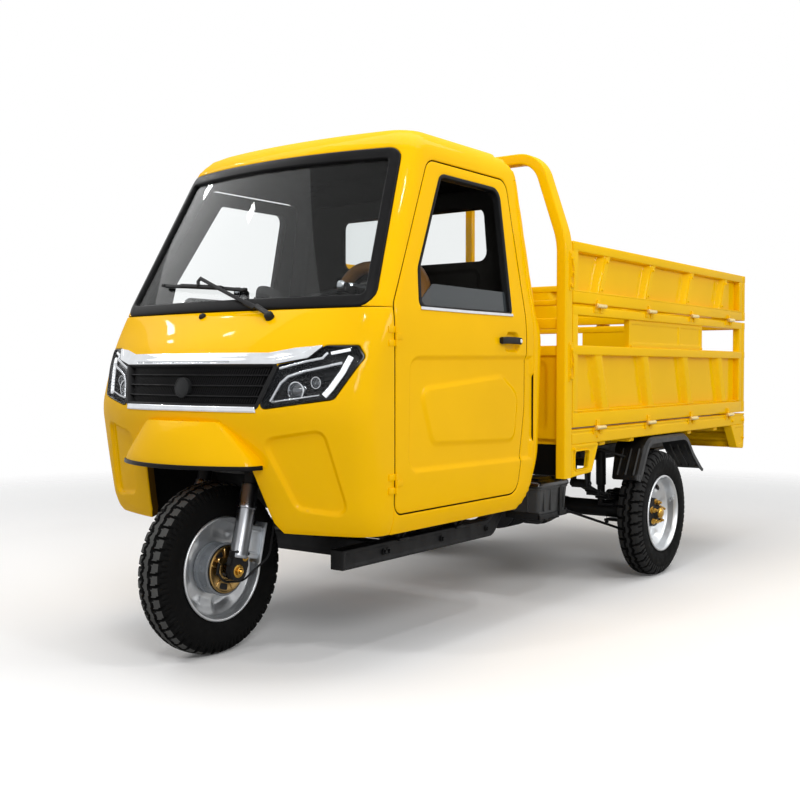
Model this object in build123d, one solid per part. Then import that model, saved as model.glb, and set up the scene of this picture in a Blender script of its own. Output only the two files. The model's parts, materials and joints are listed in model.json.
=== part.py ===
from build123d import *
import os
from collections import namedtuple
from math import sqrt

# Three-wheeled electric cargo vehicle: closed cab over one steered front wheel, tubular load bed
# with folding side boards over a driven rear axle.  Millimetres.  Modelled with the front axle
# at y = 0, the floor at z = 0 and the front facing -Y, then moved to the part's own origin.

# ---------------------------------------------------------------- driving dimensions: wheels
TYRE_RADIUS = 272.5
TYRE_WIDTH = 112.0
RIM_WIDTH = 108.0
BARREL_RADIUS = 158.0          # outside of the rim barrel, where the tyre beads sit
FLANGE_HEIGHT = 10.0
FLANGE_WIDTH = 8.0
RIM_WALL = 6.0
BEAD_CLEARANCE = 0.3
WHEELBASE = 2068.0
REAR_WHEEL_X = 598.0
SHAFT_RADIUS = 20.0
SHAFT_CLEARANCE = 0.3
HUB_RADIUS = 48.0
FRONT_HUB_HALF = 58.0
FRONT_HUB_RADIUS = 24.0
FRONT_AXLE_RADIUS = 9.0
DRUM_RADIUS = 88.0
DRUM_DEPTH = 42.0

# ---------------------------------------------------------------- steering
RAKE = 14.0                    # degrees that the fork leans back
FORK_HALF = 106.0              # centre of each fork leg from the centre plane
LEG_RADIUS = 24.0
SLEEVE_RADIUS = 29.0
STEM_OFFSET = 32.0             # steering axis behind the fork legs
STEM_RADIUS = 17.0
HEAD_RADIUS = 30.0
YOKE_HEIGHT = 322.0            # along the fork, from the axle
YOKE_THICK = 26.0
HEAD_START = 452.0
HEAD_LENGTH = 110.0
STEM_TOP = 856.0
BAR_RADIUS = 12.0
GRIP_RADIUS = 17.0
GRIP_HALF = 350.0

# ---------------------------------------------------------------- cab
CAB_WALL = 28.0
ROOF_WALL = 24.0
CORNER_RADIUS = 90.0
REAR_CORNER_RADIUS = 45.0
LEAST_RADIUS = 4.0             # corners that an inner surface keeps
FLOOR_TOP = 452.0
FLOOR_THICK = 12.0
NOSE_BACK = 179.0              # seam between the nose panel and the door opening
SCUTTLE_Z = 1087.0             # seam between the nose panel and the windshield
ROOF_SEAM = 1590.0
REAR_SEAM = 1018.0
REAR_WALL_FOOT = 500.0
PANE = 6.0
PANE_DEPTH = 6.0               # pane's outer face below the panels' outer face
SEAL_WIDTH = 38.0
SEAL_PROUD = 3.0
SEAL_DEPTH = 16.0
SEAL_SEAT = 0.4                # seal inside its opening

# Plan sections of the cab from the sill to the roof: height, half width, front at the centre
# plane, front at the (unrounded) corner, back.
Level = namedtuple("Level", "z half front corner back")
LEVELS = [
    Level(404, 570, -22, 100, 962),
    Level(440, 588, -36, 76, 1012),
    Level(590, 592, -84, 58, 1077),
    Level(780, 592, -140, 34, 1088),
    Level(952, 592, -98, 82, 1098),
    Level(1036, 592, -6, 108, 1102),
    Level(SCUTTLE_Z, 587, 60, 120, 1074),
    Level(1608, 505, 297, 389, 1062),
    Level(1652, 492, 338, 398, 1056),
    Level(1684, 438, 414, 462, 1004),
]
ROOF_LEVELS = 2                # the last levels, lowered by the roof's wall on the inside

# ---------------------------------------------------------------- cab outlines
WINDSHIELD = [(-557, 1087), (557, 1087), (472, 1608), (-472, 1608)]
WINDSHIELD_RADIUS = 46.0
DOOR = [(185, 466), (905, 466), (962, 760), (965, 1090), (951, 1575), (468, 1575), (185, 1096)]
DOOR_RADII = [34, 60, 300, 400, 40, 60, 60]
DOOR_GAP = 6.0
DOOR_HINGE_OUT = 4.0           # hinge line outside the body side
DOOR_ANGLE = 68.0
WINDOW = [(312, 1088), (874, 1088), (900, 1540), (528, 1540), (332, 1216)]
WINDOW_RADII = [26, 26, 40, 50, 60]
GLASS_RAISED = 86.0            # height of lowered door glass above its sill
REAR_WINDOW = [(-402, 1240), (402, 1240), (380, 1512), (-380, 1512)]
REAR_WINDOW_RADIUS = 40.0
ARCH = [(-234, 622), (-277, 436), (-520, 402), (-520, 300), (520, 300), (520, 402), (277, 436), (234, 622)]
GRILLE = [(-284, 794), (284, 794), (326, 914), (-326, 914)]
LAMP = [(295, 784), (508, 816), (568, 938), (548, 970), (458, 970), (422, 932), (338, 914)]
LAMP_GAP = 2.0
LAMP_DEPTH = 62.0
LAMP_WALL = 4.0
LENS = 4.0
LAMP_BAR = [(478, 806), (504, 812), (556, 934), (530, 940)]
LAMP_BACK = 120.0
LAMP_BARREL = (404, 862)
LAMP_BARREL_RADIUS = 30.0
GRILLE_FRAME = 8.0
GRILLE_BARS = 3
GRILLE_BAR = 9.0
GRILLE_DEPTH = 8.0
GRILLE_THICK = 12.0
CHROME_PROUD = 4.0
CHROME_TOP = [(-328, 916), (328, 916), (420, 934), (456, 972), (380, 966), (300, 951), (-300, 951), (-380, 966),
              (-456, 972), (-420, 934)]
CHROME_FOOT = [(-288, 772), (288, 772), (284, 792), (-284, 792)]

# ---------------------------------------------------------------- wheel well and front mudguard
WELL_HALF = 300.0
WELL_WALL = 5.0
WELL_HOLE = 45.0               # opening round the steering stem
WELL = [(-170, 418), (-170, 690), (225, 690), (352, 440), (352, 418)]
WELL_INSIDE = [(-190, 300), (-190, 685), (222, 685), (346, 440), (346, 300)]
MUDGUARD_WALL = 6.0
HOOD = [
    Level(612, 285, -206, -112, 0),
    Level(626, 281, -206, -112, 0),
    Level(650, 262, -201, -113, 0),
    Level(680, 232, -192, -116, 0),
    Level(708, 204, -180, -120, 0),
    Level(730, 180, -167, -124, 0),
    Level(744, 160, -155, -128, 0),
]

# ---------------------------------------------------------------- chassis
RAIL_X = 330.0
RAIL_WIDTH = 50.0
RAIL_HEIGHT = 66.0
RAIL_BOTTOM = 264.0
RAIL_FRONT = 222.0
FRONT_CROSS = (420.0, 480.0)
KICK_START = 1130.0
KICK_END = 1340.0
UPPER_RAIL_BOTTOM = 494.0
SPRING_X = 430.0
SPRING_WIDTH = 56.0
AXLE_TUBE_RADIUS = 36.0
NECK = [(420, 300), (480, 300), (340, 806), (160, 806), (150, 742), (285, 736)]
NECK_HALF = 28.0

# ---------------------------------------------------------------- load bed
BED_HALF = 640.0
BED_FRONT = 1223.0
BED_BACK = 3148.0
BED_RAIL = 40.0
BED_RAIL_BOTTOM = 617.0
BED_RAIL_TOP = 674.0
BED_FLOOR_TOP = 672.0
BED_FLOOR_THICK = 8.0
BOARD_THICK = 36.0
BOARD_GAP = 6.0
LOWER_BOARD_BOTTOM = 682.0
LOWER_BOARD_TOP = 1141.0
UPPER_BOARD_BOTTOM = 1151.0
UPPER_BOARD_TOP = 1381.0
HINGE_OUT = 14.0               # hinge line outside the boards
BOARD_ANGLE = 150.0            # how far the lower boards drop
FOLD_ANGLE = 175.0             # how far the upper boards fold down over them
HINGE_RADIUS = 8.0
HINGE_PIN_RADIUS = 4.0
HINGE_CLEARANCE = 0.3
KNUCKLE = 26.0                 # length of one knuckle
LOWER_HINGE_Z = 676.0
UPPER_HINGE_Z = 1146.0
POST_WIDTH = 40.0
POST_DEPTH = 56.0
POST_FOOT = 495.0
HOOP_TOP = 1696.0

STILE = 44.0
SHEET = 6.0
RIBS = 4
TAIL_RIBS = 3
RIB = 96.0
RIB_SLANT = 96.0
RIB_TAPER = 32.0
RIB_RECESS = 4.0
PANEL_TOP = 992.0
BAND_TOP = 1106.0
BAND_PLATE = (0.275, 0.713)    # pressed plate in the open band, as shares of the board's length
HINGE_SHARES = (-0.39, -0.13, 0.13, 0.39)
SIDE_MIDDLE = (BED_FRONT + BOARD_GAP + BED_BACK - BOARD_THICK - BOARD_GAP) / 2
HINGES_SIDE = [SIDE_MIDDLE + share * (BED_BACK - BED_FRONT - BOARD_THICK - 2 * BOARD_GAP) for share in HINGE_SHARES]
BED_CROSS = (1500.0, 1775.0, 2420.0, 2760.0)
SKIRT_FOOT = 500.0
REAR_LEG = [(2950, 618), (3148, 618), (3148, 560), (3140, 492), (3044, 500)]
BRACKET = [(1223, 496), (1390, 504), (1450, 618), (1223, 618)]
BRACKET_WINDOW = [(1252, 523), (1356, 523), (1372, 591), (1252, 591)]
RAIL_END = BED_BACK - 76.0     # back of the chassis, at the bed's rear skirt
HOOP_BEND = 1380.0
HOOP_SHOULDER = 512.0
HOOP_RADII = [300, 110, 110, 300]
HEAD_RAILS = [(953, 990), (1053, 1091), (1141, 1160)]
HEAD_SHEET = (640, 960)
HEAD_POST_X = 205.0
LATCHES = [(1194, 1341), (854, 1003)]
LATCH_THICK = 7.0
LATCH_WIDTH = 30.0
TAIL_LAMP = (440, 560, RAIL_END + 6, RAIL_END + 26, 520, 590)

# ---------------------------------------------------------------- smaller pieces
PRESS_DEPTH = 8.0
PRESS_RADIUS = 34.0
PRESS_ANGLE = 55.0             # slope of the pressings' walls
PRESS_START = 1.0              # pressing tools start this far outside the panel
SIDE_RECESS = [(255, 592), (1180, 584), (1180, 944), (262, 936)]
DOOR_PAD = [(384, 672), (880, 656), (906, 810), (800, 874), (318, 838)]
PAD_HEIGHT = 6.0
PAD_RADIUS = 22.0
NOSE_RECESS = [(292, 692), (470, 722), (516, 474), (366, 490)]
NOSE_RECESS_RADIUS = 26.0
DOOR_HINGE_HEIGHTS = (560.0, 1000.0)
DOOR_KNUCKLE = 20.0            # length of one door hinge knuckle
DOOR_KNUCKLE_RADIUS = 4.6
DOOR_PIN_RADIUS = 2.2
DOOR_LEAF = (588.0, 595.0)     # between these distances from the centre plane
DOOR_LEAF_LENGTH = 34.0
HANDLE_GAP = 8.0
HANDLE_THICK = 12.0
HANDLE_FOOT = 24.0
HANDLE_FRONT = 775.0
HANDLE_BACK = 905.0
HANDLE_Z = (986.0, 1014.0)
DASH = [(-120, 936), (150, 936), (168, 1040), (150, 1074), (-120, 1074)]
STEM_NOTCH = 48.0
SEAT_HALF = 300.0
SEAT_FRONT = 590.0
SEAT_BACK = 970.0
SEAT_TOP = 810.0
CUSHION = 100.0
BACKREST = [(880, 806), (970, 700), (1030, 1316), (950, 1316)]
BACKREST_HALF = 292.0
BACKREST_TOP = 1310.0
BACKREST_ROUND = 120.0
WIPER_PIVOT = (221, 1059)      # (x, z) of points on the front
WIPER_HEEL = (-152, 1196)
WIPER_BLADE = [(-359, 1186), (-150, 1171), (70, 1151)]
WIPER_LIFT = 16.0
BLADE_LIFT = 9.0
WASHER_PIVOT = (-79, 1070)
SLEEVE_MIDDLE = 126.0
SLEEVE_LENGTH = 170.0
GUARD_BACK = 74.0
GUARD_FOOT = 30.0
DRUM_FACE = 46.0
GRIP_END = (285.0, 960.0)
LEVER = [(232, 122, 962), (258, 150, 972), (338, 240, 976)]
LEVER_RADIUS = 6.0
BAR_CLAMP_Z = 872.0
REAR_DISC_X = 10.0
REAR_HUB_OUT = 44.0
LOWER_CROSS = (760.0, 1060.0)
UPPER_CROSS = (1360.0, 1700.0, 2400.0, 3020.0)
CAB_MOUNTS = (520.0, 870.0)
CAB_SILL_HALF = 538.0
SPRING_EYES = ((1680.0, 1740.0), (2400.0, 2460.0))
SPRING_EYE_Z = 420.0
SPRING_EYE = 18.0
SPRING_LEAF = 9.0
SPRING_SEAT = 44.0             # above the axle's centre
AXLE_HALF = 530.0
STUB_END = 634.0
DIFF_RADIUS = 104.0
MOTOR_RADIUS = 88.0
MOTOR_LENGTH = 190.0
BATTERY = (RAIL_X + RAIL_WIDTH / 2, 520, 1190, 1440, 300, 486)
GUARD_LINE = [(1795, 430), (1921, 596), (2330, 596), (2560, 432)]
GUARD_WALL = 5.0
GUARD_X = (506.0, 648.0)

HUB_HEIGHT = TYRE_RADIUS
LENGTH_BACK = BED_BACK + HINGE_OUT + HINGE_RADIUS
ORIGIN_Y = (LENGTH_BACK - TYRE_RADIUS) / 2


# ---------------------------------------------------------------- helpers
def span(x0, x1, y0, y1, z0, z1):
    """Rectangular block between two corners."""
    return Pos((x0 + x1) / 2, (y0 + y1) / 2, (z0 + z1) / 2) * Box(x1 - x0, y1 - y0, z1 - z0)


def outline_face(plane, points, radii):
    """Face on a plane inside a closed outline whose corners are rounded."""
    if radii:
        return plane * make_face(FilletPolyline(*points, radius=radii, close=True))
    return plane * make_face(Polyline(*points, close=True))


def slab_x(points, x0, x1, radii=None, grow=0.0):
    """(y, z) outline, moved outward by grow, carried from x0 to x1."""
    face = outline_face(Plane.XY, points, radii)
    if grow:
        face = offset(face, grow, kind=Kind.INTERSECTION)
    return extrude(Plane.YZ.offset(x0) * face, x1 - x0)


def slab_y(points, y0, y1, radii=None, grow=0.0):
    """(x, z) outline, moved outward by grow, carried from y0 to y1."""
    face = outline_face(Plane.XY, points, radii)
    if grow:
        face = offset(face, grow, kind=Kind.INTERSECTION)
    plane = Plane(origin=(0, y0, 0), x_dir=(1, 0, 0), z_dir=(0, -1, 0))
    return extrude(plane * face, y0 - y1)


def mirrored(shape):
    """Copy on the other side of the centre plane."""
    return mirror(shape, Plane.YZ)


def rod(start, end, radius):
    """Round bar between two points."""
    axis = Vector(*end) - Vector(*start)
    plane = Plane(origin=start, z_dir=axis)
    return extrude(plane * Circle(radius), axis.length)


def tube_path(points, bend_radius, section):
    """Section carried along straight runs with tangent bends."""
    path = FilletPolyline(*points, radius=bend_radius)
    plane = Plane(origin=path @ 0, z_dir=path % 0)
    return sweep(plane * section, path)


# ---------------------------------------------------------------- cab
FAR = 2000.0                   # longer than any cut needs


def plan_face(level, inset, z):
    """Plan section of the cab, moved inward, with its four corners rounded."""
    half, front = level.half - inset, level.front + inset
    corner, back = level.corner + inset, level.back - inset
    nose = ThreePointArc((-half, corner), (0, front), (half, corner))
    rest = Polyline((half, corner), (half, back), (-half, back), (-half, corner))
    face = make_face(nose + rest)
    face = fillet(face.vertices().sort_by(Axis.Y)[:2], CORNER_RADIUS - inset)
    face = fillet(face.vertices().sort_by(Axis.Y)[-2:], max(REAR_CORNER_RADIUS - inset, LEAST_RADIUS))
    return Pos(0, 0, z) * face


def cab_solid(inset):
    """Whole cab as one closed form whose surface lies inset inside the panels' outer face."""
    sections = []
    for number, level in enumerate(LEVELS):
        z = level.z
        if number == 0 and inset > 0:
            z -= 1
        if number >= len(LEVELS) - ROOF_LEVELS:
            z -= inset * ROOF_WALL / CAB_WALL
        sections.append(plan_face(level, inset, z))
    return loft(sections, ruled=True)


def front_y(x, z):
    """Depth of the cab's front at a width and height, between the two sections around it."""
    for low, high in zip(LEVELS, LEVELS[1:]):
        if low.z <= z <= high.z:
            share = (z - low.z) / (high.z - low.z)
            half, front, corner = (a + (b - a) * share for a, b in zip(low[1:4], high[1:4]))
            bow = corner - front
            radius = (half ** 2 + bow ** 2) / (2 * bow)
            return front + radius - sqrt(radius ** 2 - x ** 2)
    raise ValueError("height outside the cab")


def on_front(x, z, lift):
    """Point a distance in front of the cab's front."""
    return (x, front_y(x, z) - lift, z)


OUTSIDE = cab_solid(0)
INSIDE = cab_solid(CAB_WALL)
SHELL = OUTSIDE - INSIDE
NOSE_ZONE = span(-FAR, FAR, -FAR, NOSE_BACK, 0, SCUTTLE_Z)
ROOF_ZONE = span(-FAR, FAR, -FAR, FAR, ROOF_SEAM, FAR)
REAR_ZONE = span(-FAR, FAR, REAR_SEAM, FAR, REAR_WALL_FOOT, ROOF_SEAM)
GLAZED_FRONT = (-400, 560)     # the windshield's cut stays in front of the doors' pillars


def windshield_cut(grow=0.0):
    """Windshield opening as a prism, narrower by -grow."""
    radii = [WINDSHIELD_RADIUS] * len(WINDSHIELD)
    return slab_y(WINDSHIELD, *GLAZED_FRONT, radii=radii, grow=grow)


def door_prism(grow=0.0):
    """Left door's outline as a prism through the left side of the cab."""
    return slab_x(DOOR, CAB_WALL, FAR, DOOR_RADII, grow)


def lamp_prism(grow=0.0):
    """Left headlamp's outline as a prism through the nose."""
    return slab_y(LAMP, -400, 150, grow=grow)


def band(outer, inner):
    """Skin that follows the cab's panels between two depths."""
    return cab_solid(outer) - cab_solid(inner)


def cab_nose():
    nose = SHELL & NOSE_ZONE
    nose -= slab_y(ARCH, -400, 150)
    nose -= slab_y(GRILLE, -400, 60)
    lamp = lamp_prism(LAMP_GAP)
    recess = slab_y(NOSE_RECESS, -400, NOSE_BACK, [NOSE_RECESS_RADIUS] * len(NOSE_RECESS)) - cab_solid(PRESS_DEPTH)
    hinges = door_hinge_halves(fixed=True)
    return nose - lamp - mirrored(lamp) - recess - mirrored(recess) + hinges + mirrored(hinges)


def cab_sides():
    opening = door_prism(DOOR_GAP)
    sides = SHELL - NOSE_ZONE - ROOF_ZONE - REAR_ZONE
    recess = side_recess()
    return sides - windshield_cut() - opening - mirrored(opening) - recess - mirrored(recess)


def cab_roof():
    return (SHELL & ROOF_ZONE) - windshield_cut()


def rear_window_cut(grow=0.0):
    radii = [REAR_WINDOW_RADIUS] * len(REAR_WINDOW)
    return slab_y(REAR_WINDOW, 900, 1200, radii=radii, grow=grow)


def cab_rear_wall():
    recess = side_recess()
    return (SHELL & REAR_ZONE) - rear_window_cut() - recess - mirrored(recess)


def well_prism(grow=0.0):
    return slab_x(WELL, -WELL_HALF - grow, WELL_HALF + grow, grow=grow)


def wheel_well():
    well = (well_prism() - slab_x(WELL_INSIDE, -WELL_HALF + WELL_WALL, WELL_HALF - WELL_WALL)) & INSIDE
    return well - raked(Pos(0, STEM_OFFSET, 0) * Cylinder(WELL_HOLE, FAR))


def cab_floor():
    plate = INSIDE & span(-FAR, FAR, -FAR, FAR, FLOOR_TOP - FLOOR_THICK, FLOOR_TOP)
    return plate - well_prism() - slab_x(NECK, -RAIL_WIDTH, RAIL_WIDTH) - slab_y(ARCH, -400, 150)


def front_mudguard():
    outer = loft([hood_face(level, 0) for level in HOOD], ruled=True)
    inner = loft([hood_face(level, MUDGUARD_WALL) for level in HOOD], ruled=True)
    return outer - inner - OUTSIDE


def hood_face(level, inset):
    """Plan section of the hood over the front wheel."""
    half, front, corner = level.half - inset, level.front + inset, level.corner + inset
    edge = ThreePointArc((-half, corner), (0, front), (half, corner))
    face = make_face(edge + Polyline((half, corner), (half, level.back), (-half, level.back), (-half, corner)))
    return Pos(0, 0, level.z - inset) * face


def windshield():
    return band(PANE_DEPTH, PANE_DEPTH + PANE) & windshield_cut(-SEAL_WIDTH)


def windshield_seal():
    return band(-SEAL_PROUD, SEAL_DEPTH) & (windshield_cut(-SEAL_SEAT) - windshield_cut(-SEAL_WIDTH))


def rear_window():
    return band(PANE_DEPTH, PANE_DEPTH + PANE) & rear_window_cut()


def grille():
    ring = slab_y(GRILLE, -400, 60) - slab_y(GRILLE, -400, 60, grow=-GRILLE_FRAME)
    low, high = GRILLE[0][1], GRILLE[2][1]
    pitch = (high - low) / (GRILLE_BARS + 1)
    bars = [span(-FAR, FAR, -400, 60, low + n * pitch - GRILLE_BAR / 2, low + n * pitch + GRILLE_BAR / 2)
            for n in range(1, GRILLE_BARS + 1)]
    face = band(GRILLE_DEPTH, GRILLE_DEPTH + GRILLE_THICK) & (ring + bars) & slab_y(GRILLE, -400, 60)
    back = band(GRILLE_DEPTH + GRILLE_THICK, CAB_WALL) & slab_y(GRILLE, -400, 60)
    return face + back


def chrome_trim():
    skin = band(-CHROME_PROUD, 0)
    top = skin & slab_y(CHROME_TOP, -400, 200)
    foot = skin & slab_y(CHROME_FOOT, -400, 200)
    return Compound(children=[*top.solids(), *foot.solids()])


def headlamps():
    cup = band(LENS, LAMP_DEPTH) & lamp_prism()
    cup -= band(LENS, LAMP_DEPTH - LAMP_WALL) & lamp_prism(-LAMP_WALL)
    bar = slab_y(LAMP_BAR, -400, LAMP_BACK)
    cup += bar & band(LENS + 6, LAMP_DEPTH) & lamp_prism(-LAMP_WALL / 2)
    barrel = Pos(LAMP_BARREL[0], 0, LAMP_BARREL[1]) * Rot(90, 0, 0) * Cylinder(LAMP_BARREL_RADIUS, 400)
    cup += barrel & band(LENS + 14, LAMP_DEPTH) & lamp_prism(-LAMP_WALL / 2)
    return Compound(children=[*cup.solids(), *mirrored(cup).solids()])


def headlamp_lenses():
    lens = band(0, LENS) & lamp_prism()
    return Compound(children=[*lens.solids(), *mirrored(lens).solids()])


# ---------------------------------------------------------------- doors
def door_panel():
    """Left door: the side of the cab inside its outline, with the window cut and panels pressed in."""
    door = (SHELL & door_prism()) - slab_x(WINDOW, 0, FAR, WINDOW_RADII)
    side = LEVELS[3].half
    door -= side_recess()
    door += pressing(DOOR_PAD, PAD_RADIUS, side - PRESS_DEPTH - PRESS_START, side - PRESS_DEPTH + PAD_HEIGHT)
    return door + door_hinge_halves(fixed=False)


def pressing(points, radius, x0, x1):
    """(y, z) outline at x0, narrowing with sloped walls to x1."""
    way = 1 if x1 > x0 else -1
    plane = Plane(origin=(x0, 0, 0), x_dir=(0, way, 0), z_dir=(way, 0, 0))
    face = plane * make_face(FilletPolyline(*[(way * y, z) for y, z in points], radius=radius, close=True))
    return extrude(face, abs(x1 - x0), taper=PRESS_ANGLE)


def side_recess():
    """Long shallow pressing along the left door and the post behind it."""
    side = LEVELS[3].half
    return pressing(SIDE_RECESS, PRESS_RADIUS, side + PRESS_START, side - PRESS_DEPTH)


def door_hinge_halves(fixed):
    """Left door's hinges: two knuckles and the pin on the nose, or the knuckle between them on the door."""
    x, y = LEVELS[3].half + DOOR_HINGE_OUT, DOOR[0][0] - DOOR_GAP / 2
    length = DOOR_KNUCKLE - HINGE_CLEARANCE
    halves = None
    for z in DOOR_HINGE_HEIGHTS:
        pin = (x, y, z - 1.5 * DOOR_KNUCKLE), (x, y, z + 1.5 * DOOR_KNUCKLE)
        if fixed:
            half = rod(*pin, DOOR_PIN_RADIUS)
            for start in (z - 1.5 * DOOR_KNUCKLE, z + DOOR_KNUCKLE / 2 + HINGE_CLEARANCE):
                half += rod((x, y, start), (x, y, start + length), DOOR_KNUCKLE_RADIUS)
                half += span(*DOOR_LEAF, y - DOOR_LEAF_LENGTH, y - 1.5, start, start + length)
        else:
            half = rod((x, y, z - DOOR_KNUCKLE / 2), (x, y, z + DOOR_KNUCKLE / 2), DOOR_KNUCKLE_RADIUS)
            half += span(*DOOR_LEAF, y + 1.5, y + DOOR_LEAF_LENGTH, z - DOOR_KNUCKLE / 2, z + DOOR_KNUCKLE / 2)
            half -= rod(*pin, DOOR_PIN_RADIUS + HINGE_CLEARANCE)
        halves = half if halves is None else halves + half
    return halves


def door_glass():
    """Left door's glass, wound most of the way down."""
    pane = band(CAB_WALL / 2 - PANE / 2, CAB_WALL / 2 + PANE / 2) & slab_x(WINDOW, 0, FAR, WINDOW_RADII)
    sill = WINDOW[0][1]
    return pane & span(0, FAR, 0, FAR, sill - 1, sill + GLASS_RAISED)


def door_handle():
    """Left door's pull handle on its two feet."""
    side = LEVELS[4].half
    grip = span(side + HANDLE_GAP, side + HANDLE_GAP + HANDLE_THICK, HANDLE_FRONT, HANDLE_BACK, *HANDLE_Z)
    grip = fillet(grip.edges().filter_by(Axis.Y), HANDLE_THICK / 3)
    for y in (HANDLE_FRONT, HANDLE_BACK - HANDLE_FOOT):
        grip += span(side, side + HANDLE_GAP + 2, y, y + HANDLE_FOOT, HANDLE_Z[0] + 3, HANDLE_Z[1] - 3)
    return grip


# ---------------------------------------------------------------- inside the cab
def dashboard():
    shelf = INSIDE & slab_x(DASH, -FAR, FAR)
    lamp = lamp_prism(LAMP_GAP)
    return shelf - well_prism() - lamp - mirrored(lamp) - span(-STEM_NOTCH, STEM_NOTCH, DASH[2][0] - 40, FAR, 0, FAR)


def seat():
    """Seat box, cushion and backrest."""
    box = span(-SEAT_HALF, SEAT_HALF, SEAT_FRONT + 30, SEAT_BACK, FLOOR_TOP, SEAT_TOP - CUSHION)
    cushion = span(-SEAT_HALF, SEAT_HALF, SEAT_FRONT, SEAT_BACK - 30, SEAT_TOP - CUSHION, SEAT_TOP)
    cushion = fillet(cushion.edges().filter_by(Axis.Z), 40)
    rest = slab_x(BACKREST, -BACKREST_HALF, BACKREST_HALF)
    round_top = span(-BACKREST_HALF, BACKREST_HALF, -FAR, FAR, 0, BACKREST_TOP)
    round_top = fillet(round_top.edges().filter_by(Axis.Y).sort_by(Axis.Z)[-2:], BACKREST_ROUND)
    return box + cushion + (rest & round_top)


def wiper():
    """One wiper with its spindle, and the washer jet beside it."""
    arm = rod(on_front(*WIPER_PIVOT, WIPER_LIFT), on_front(*WIPER_HEEL, WIPER_LIFT), 6)
    heel, middle = on_front(*WIPER_HEEL, WIPER_LIFT), on_front(*WIPER_BLADE[1], BLADE_LIFT)
    blade = [on_front(x, z, BLADE_LIFT) for x, z in WIPER_BLADE]
    spindle = rod(on_front(*WIPER_PIVOT, -10), on_front(*WIPER_PIVOT, WIPER_LIFT + 8), 12)
    jet = rod(on_front(*WASHER_PIVOT, -10), on_front(*WASHER_PIVOT, 10), 8)
    piece = arm + spindle + rod(heel, middle, 4) + rod(blade[0], blade[1], 5) + rod(blade[1], blade[2], 5) + jet
    return piece - OUTSIDE


# ---------------------------------------------------------------- steering and wheels
def raked(shape):
    """From the fork's own frame (z along the legs, axle at the origin) to the vehicle."""
    return Pos(0, 0, HUB_HEIGHT) * Rot(-RAKE, 0, 0) * shape


def fork():
    leg = Pos(FORK_HALF, 0, YOKE_HEIGHT / 2) * Cylinder(LEG_RADIUS, YOKE_HEIGHT)
    leg += Pos(FORK_HALF, 0, SLEEVE_MIDDLE) * Cylinder(SLEEVE_RADIUS, SLEEVE_LENGTH)
    leg += span(FORK_HALF - 9, FORK_HALF + 9, -26, 30, -26, 60)
    leg += span(FORK_HALF - 14, FORK_HALF + 14, SLEEVE_RADIUS - 5, GUARD_BACK, GUARD_FOOT, GUARD_FOOT + 92)
    yoke = span(-FORK_HALF - 30, FORK_HALF + 30, -32, STEM_OFFSET + 32, YOKE_HEIGHT - YOKE_THICK / 2,
                YOKE_HEIGHT + YOKE_THICK / 2)
    yoke = fillet(yoke.edges().filter_by(Axis.Z), 28)
    stem = rod((0, STEM_OFFSET, YOKE_HEIGHT), (0, STEM_OFFSET, STEM_TOP), STEM_RADIUS)
    axle = Rot(0, 90, 0) * Cylinder(FRONT_AXLE_RADIUS, 2 * (FORK_HALF + 26))
    nut = rod((FORK_HALF + 9, 0, 0), (FORK_HALF + 22, 0, 0), 15)
    spacer = rod((FRONT_HUB_HALF + 1, 0, 0), (FORK_HALF - 9, 0, 0), 17)
    plate = rod((DRUM_FACE + 1, 0, 0), (DRUM_FACE + 7, 0, 0), DRUM_RADIUS - 8)
    plate -= rod((0, 0, 0), (FORK_HALF, 0, 0), FRONT_HUB_RADIUS + 1)
    arm = span(DRUM_FACE + 1, FORK_HALF, 10, 30, 34, 70)
    return raked(leg + mirrored(leg) + yoke + stem + axle + nut + mirrored(nut) + spacer + mirrored(spacer)
                 + plate + arm)


def handlebar():
    route = [(-GRIP_HALF, *GRIP_END), (-230, 150, 955), (-90, STEM_OFFSET, BAR_CLAMP_Z),
             (90, STEM_OFFSET, BAR_CLAMP_Z), (230, 150, 955), (GRIP_HALF, *GRIP_END)]
    bar = tube_path(route, [60, 40, 40, 60], Circle(BAR_RADIUS))
    clamp = span(-45, 45, STEM_OFFSET - 20, STEM_OFFSET + 20, STEM_TOP, BAR_CLAMP_Z + BAR_RADIUS + 8)
    grip_start = Vector(230, 150, 955) + (Vector(GRIP_HALF, *GRIP_END) - Vector(230, 150, 955)) * 0.12
    grip = rod(tuple(grip_start), (GRIP_HALF, *GRIP_END), GRIP_RADIUS)
    lever = rod(LEVER[0], LEVER[1], LEVER_RADIUS) + rod(LEVER[1], LEVER[2], LEVER_RADIUS)
    perch = rod((230, 150, 955), LEVER[0], LEVER_RADIUS + 4)
    side = grip + lever + perch
    return raked(bar + clamp + side + mirrored(side))


def turned(profile):
    """(x, radius) outline turned about the wheel's axle."""
    return revolve(Plane.XZ * make_face(Polyline(*profile, close=True)), Axis.X, 360)


def rim(disc_x, hub_inner, hub_outer, bore):
    """One-piece pressed wheel: barrel with two flanges, dished disc and hub."""
    half = RIM_WIDTH / 2
    inner = BARREL_RADIUS - RIM_WALL
    lip = BARREL_RADIUS + FLANGE_HEIGHT
    return turned([
        (-half, lip), (-half + FLANGE_WIDTH, lip), (-half + FLANGE_WIDTH, BARREL_RADIUS),
        (half - FLANGE_WIDTH, BARREL_RADIUS), (half - FLANGE_WIDTH, lip), (half, lip), (half, inner + 4),
        (half - 18, inner), (disc_x + 22, inner), (disc_x + 12, inner - 30), (disc_x + 3, inner - 58),
        (disc_x + 3, HUB_RADIUS + 8), (hub_outer, HUB_RADIUS), (hub_outer, bore), (hub_inner, bore),
        (hub_inner, HUB_RADIUS), (disc_x - 3, HUB_RADIUS + 8), (disc_x - 3, inner - 60),
        (disc_x + 6, inner - 32), (disc_x + 14, inner), (-half + 18, inner), (-half, inner + 4)])


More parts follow.
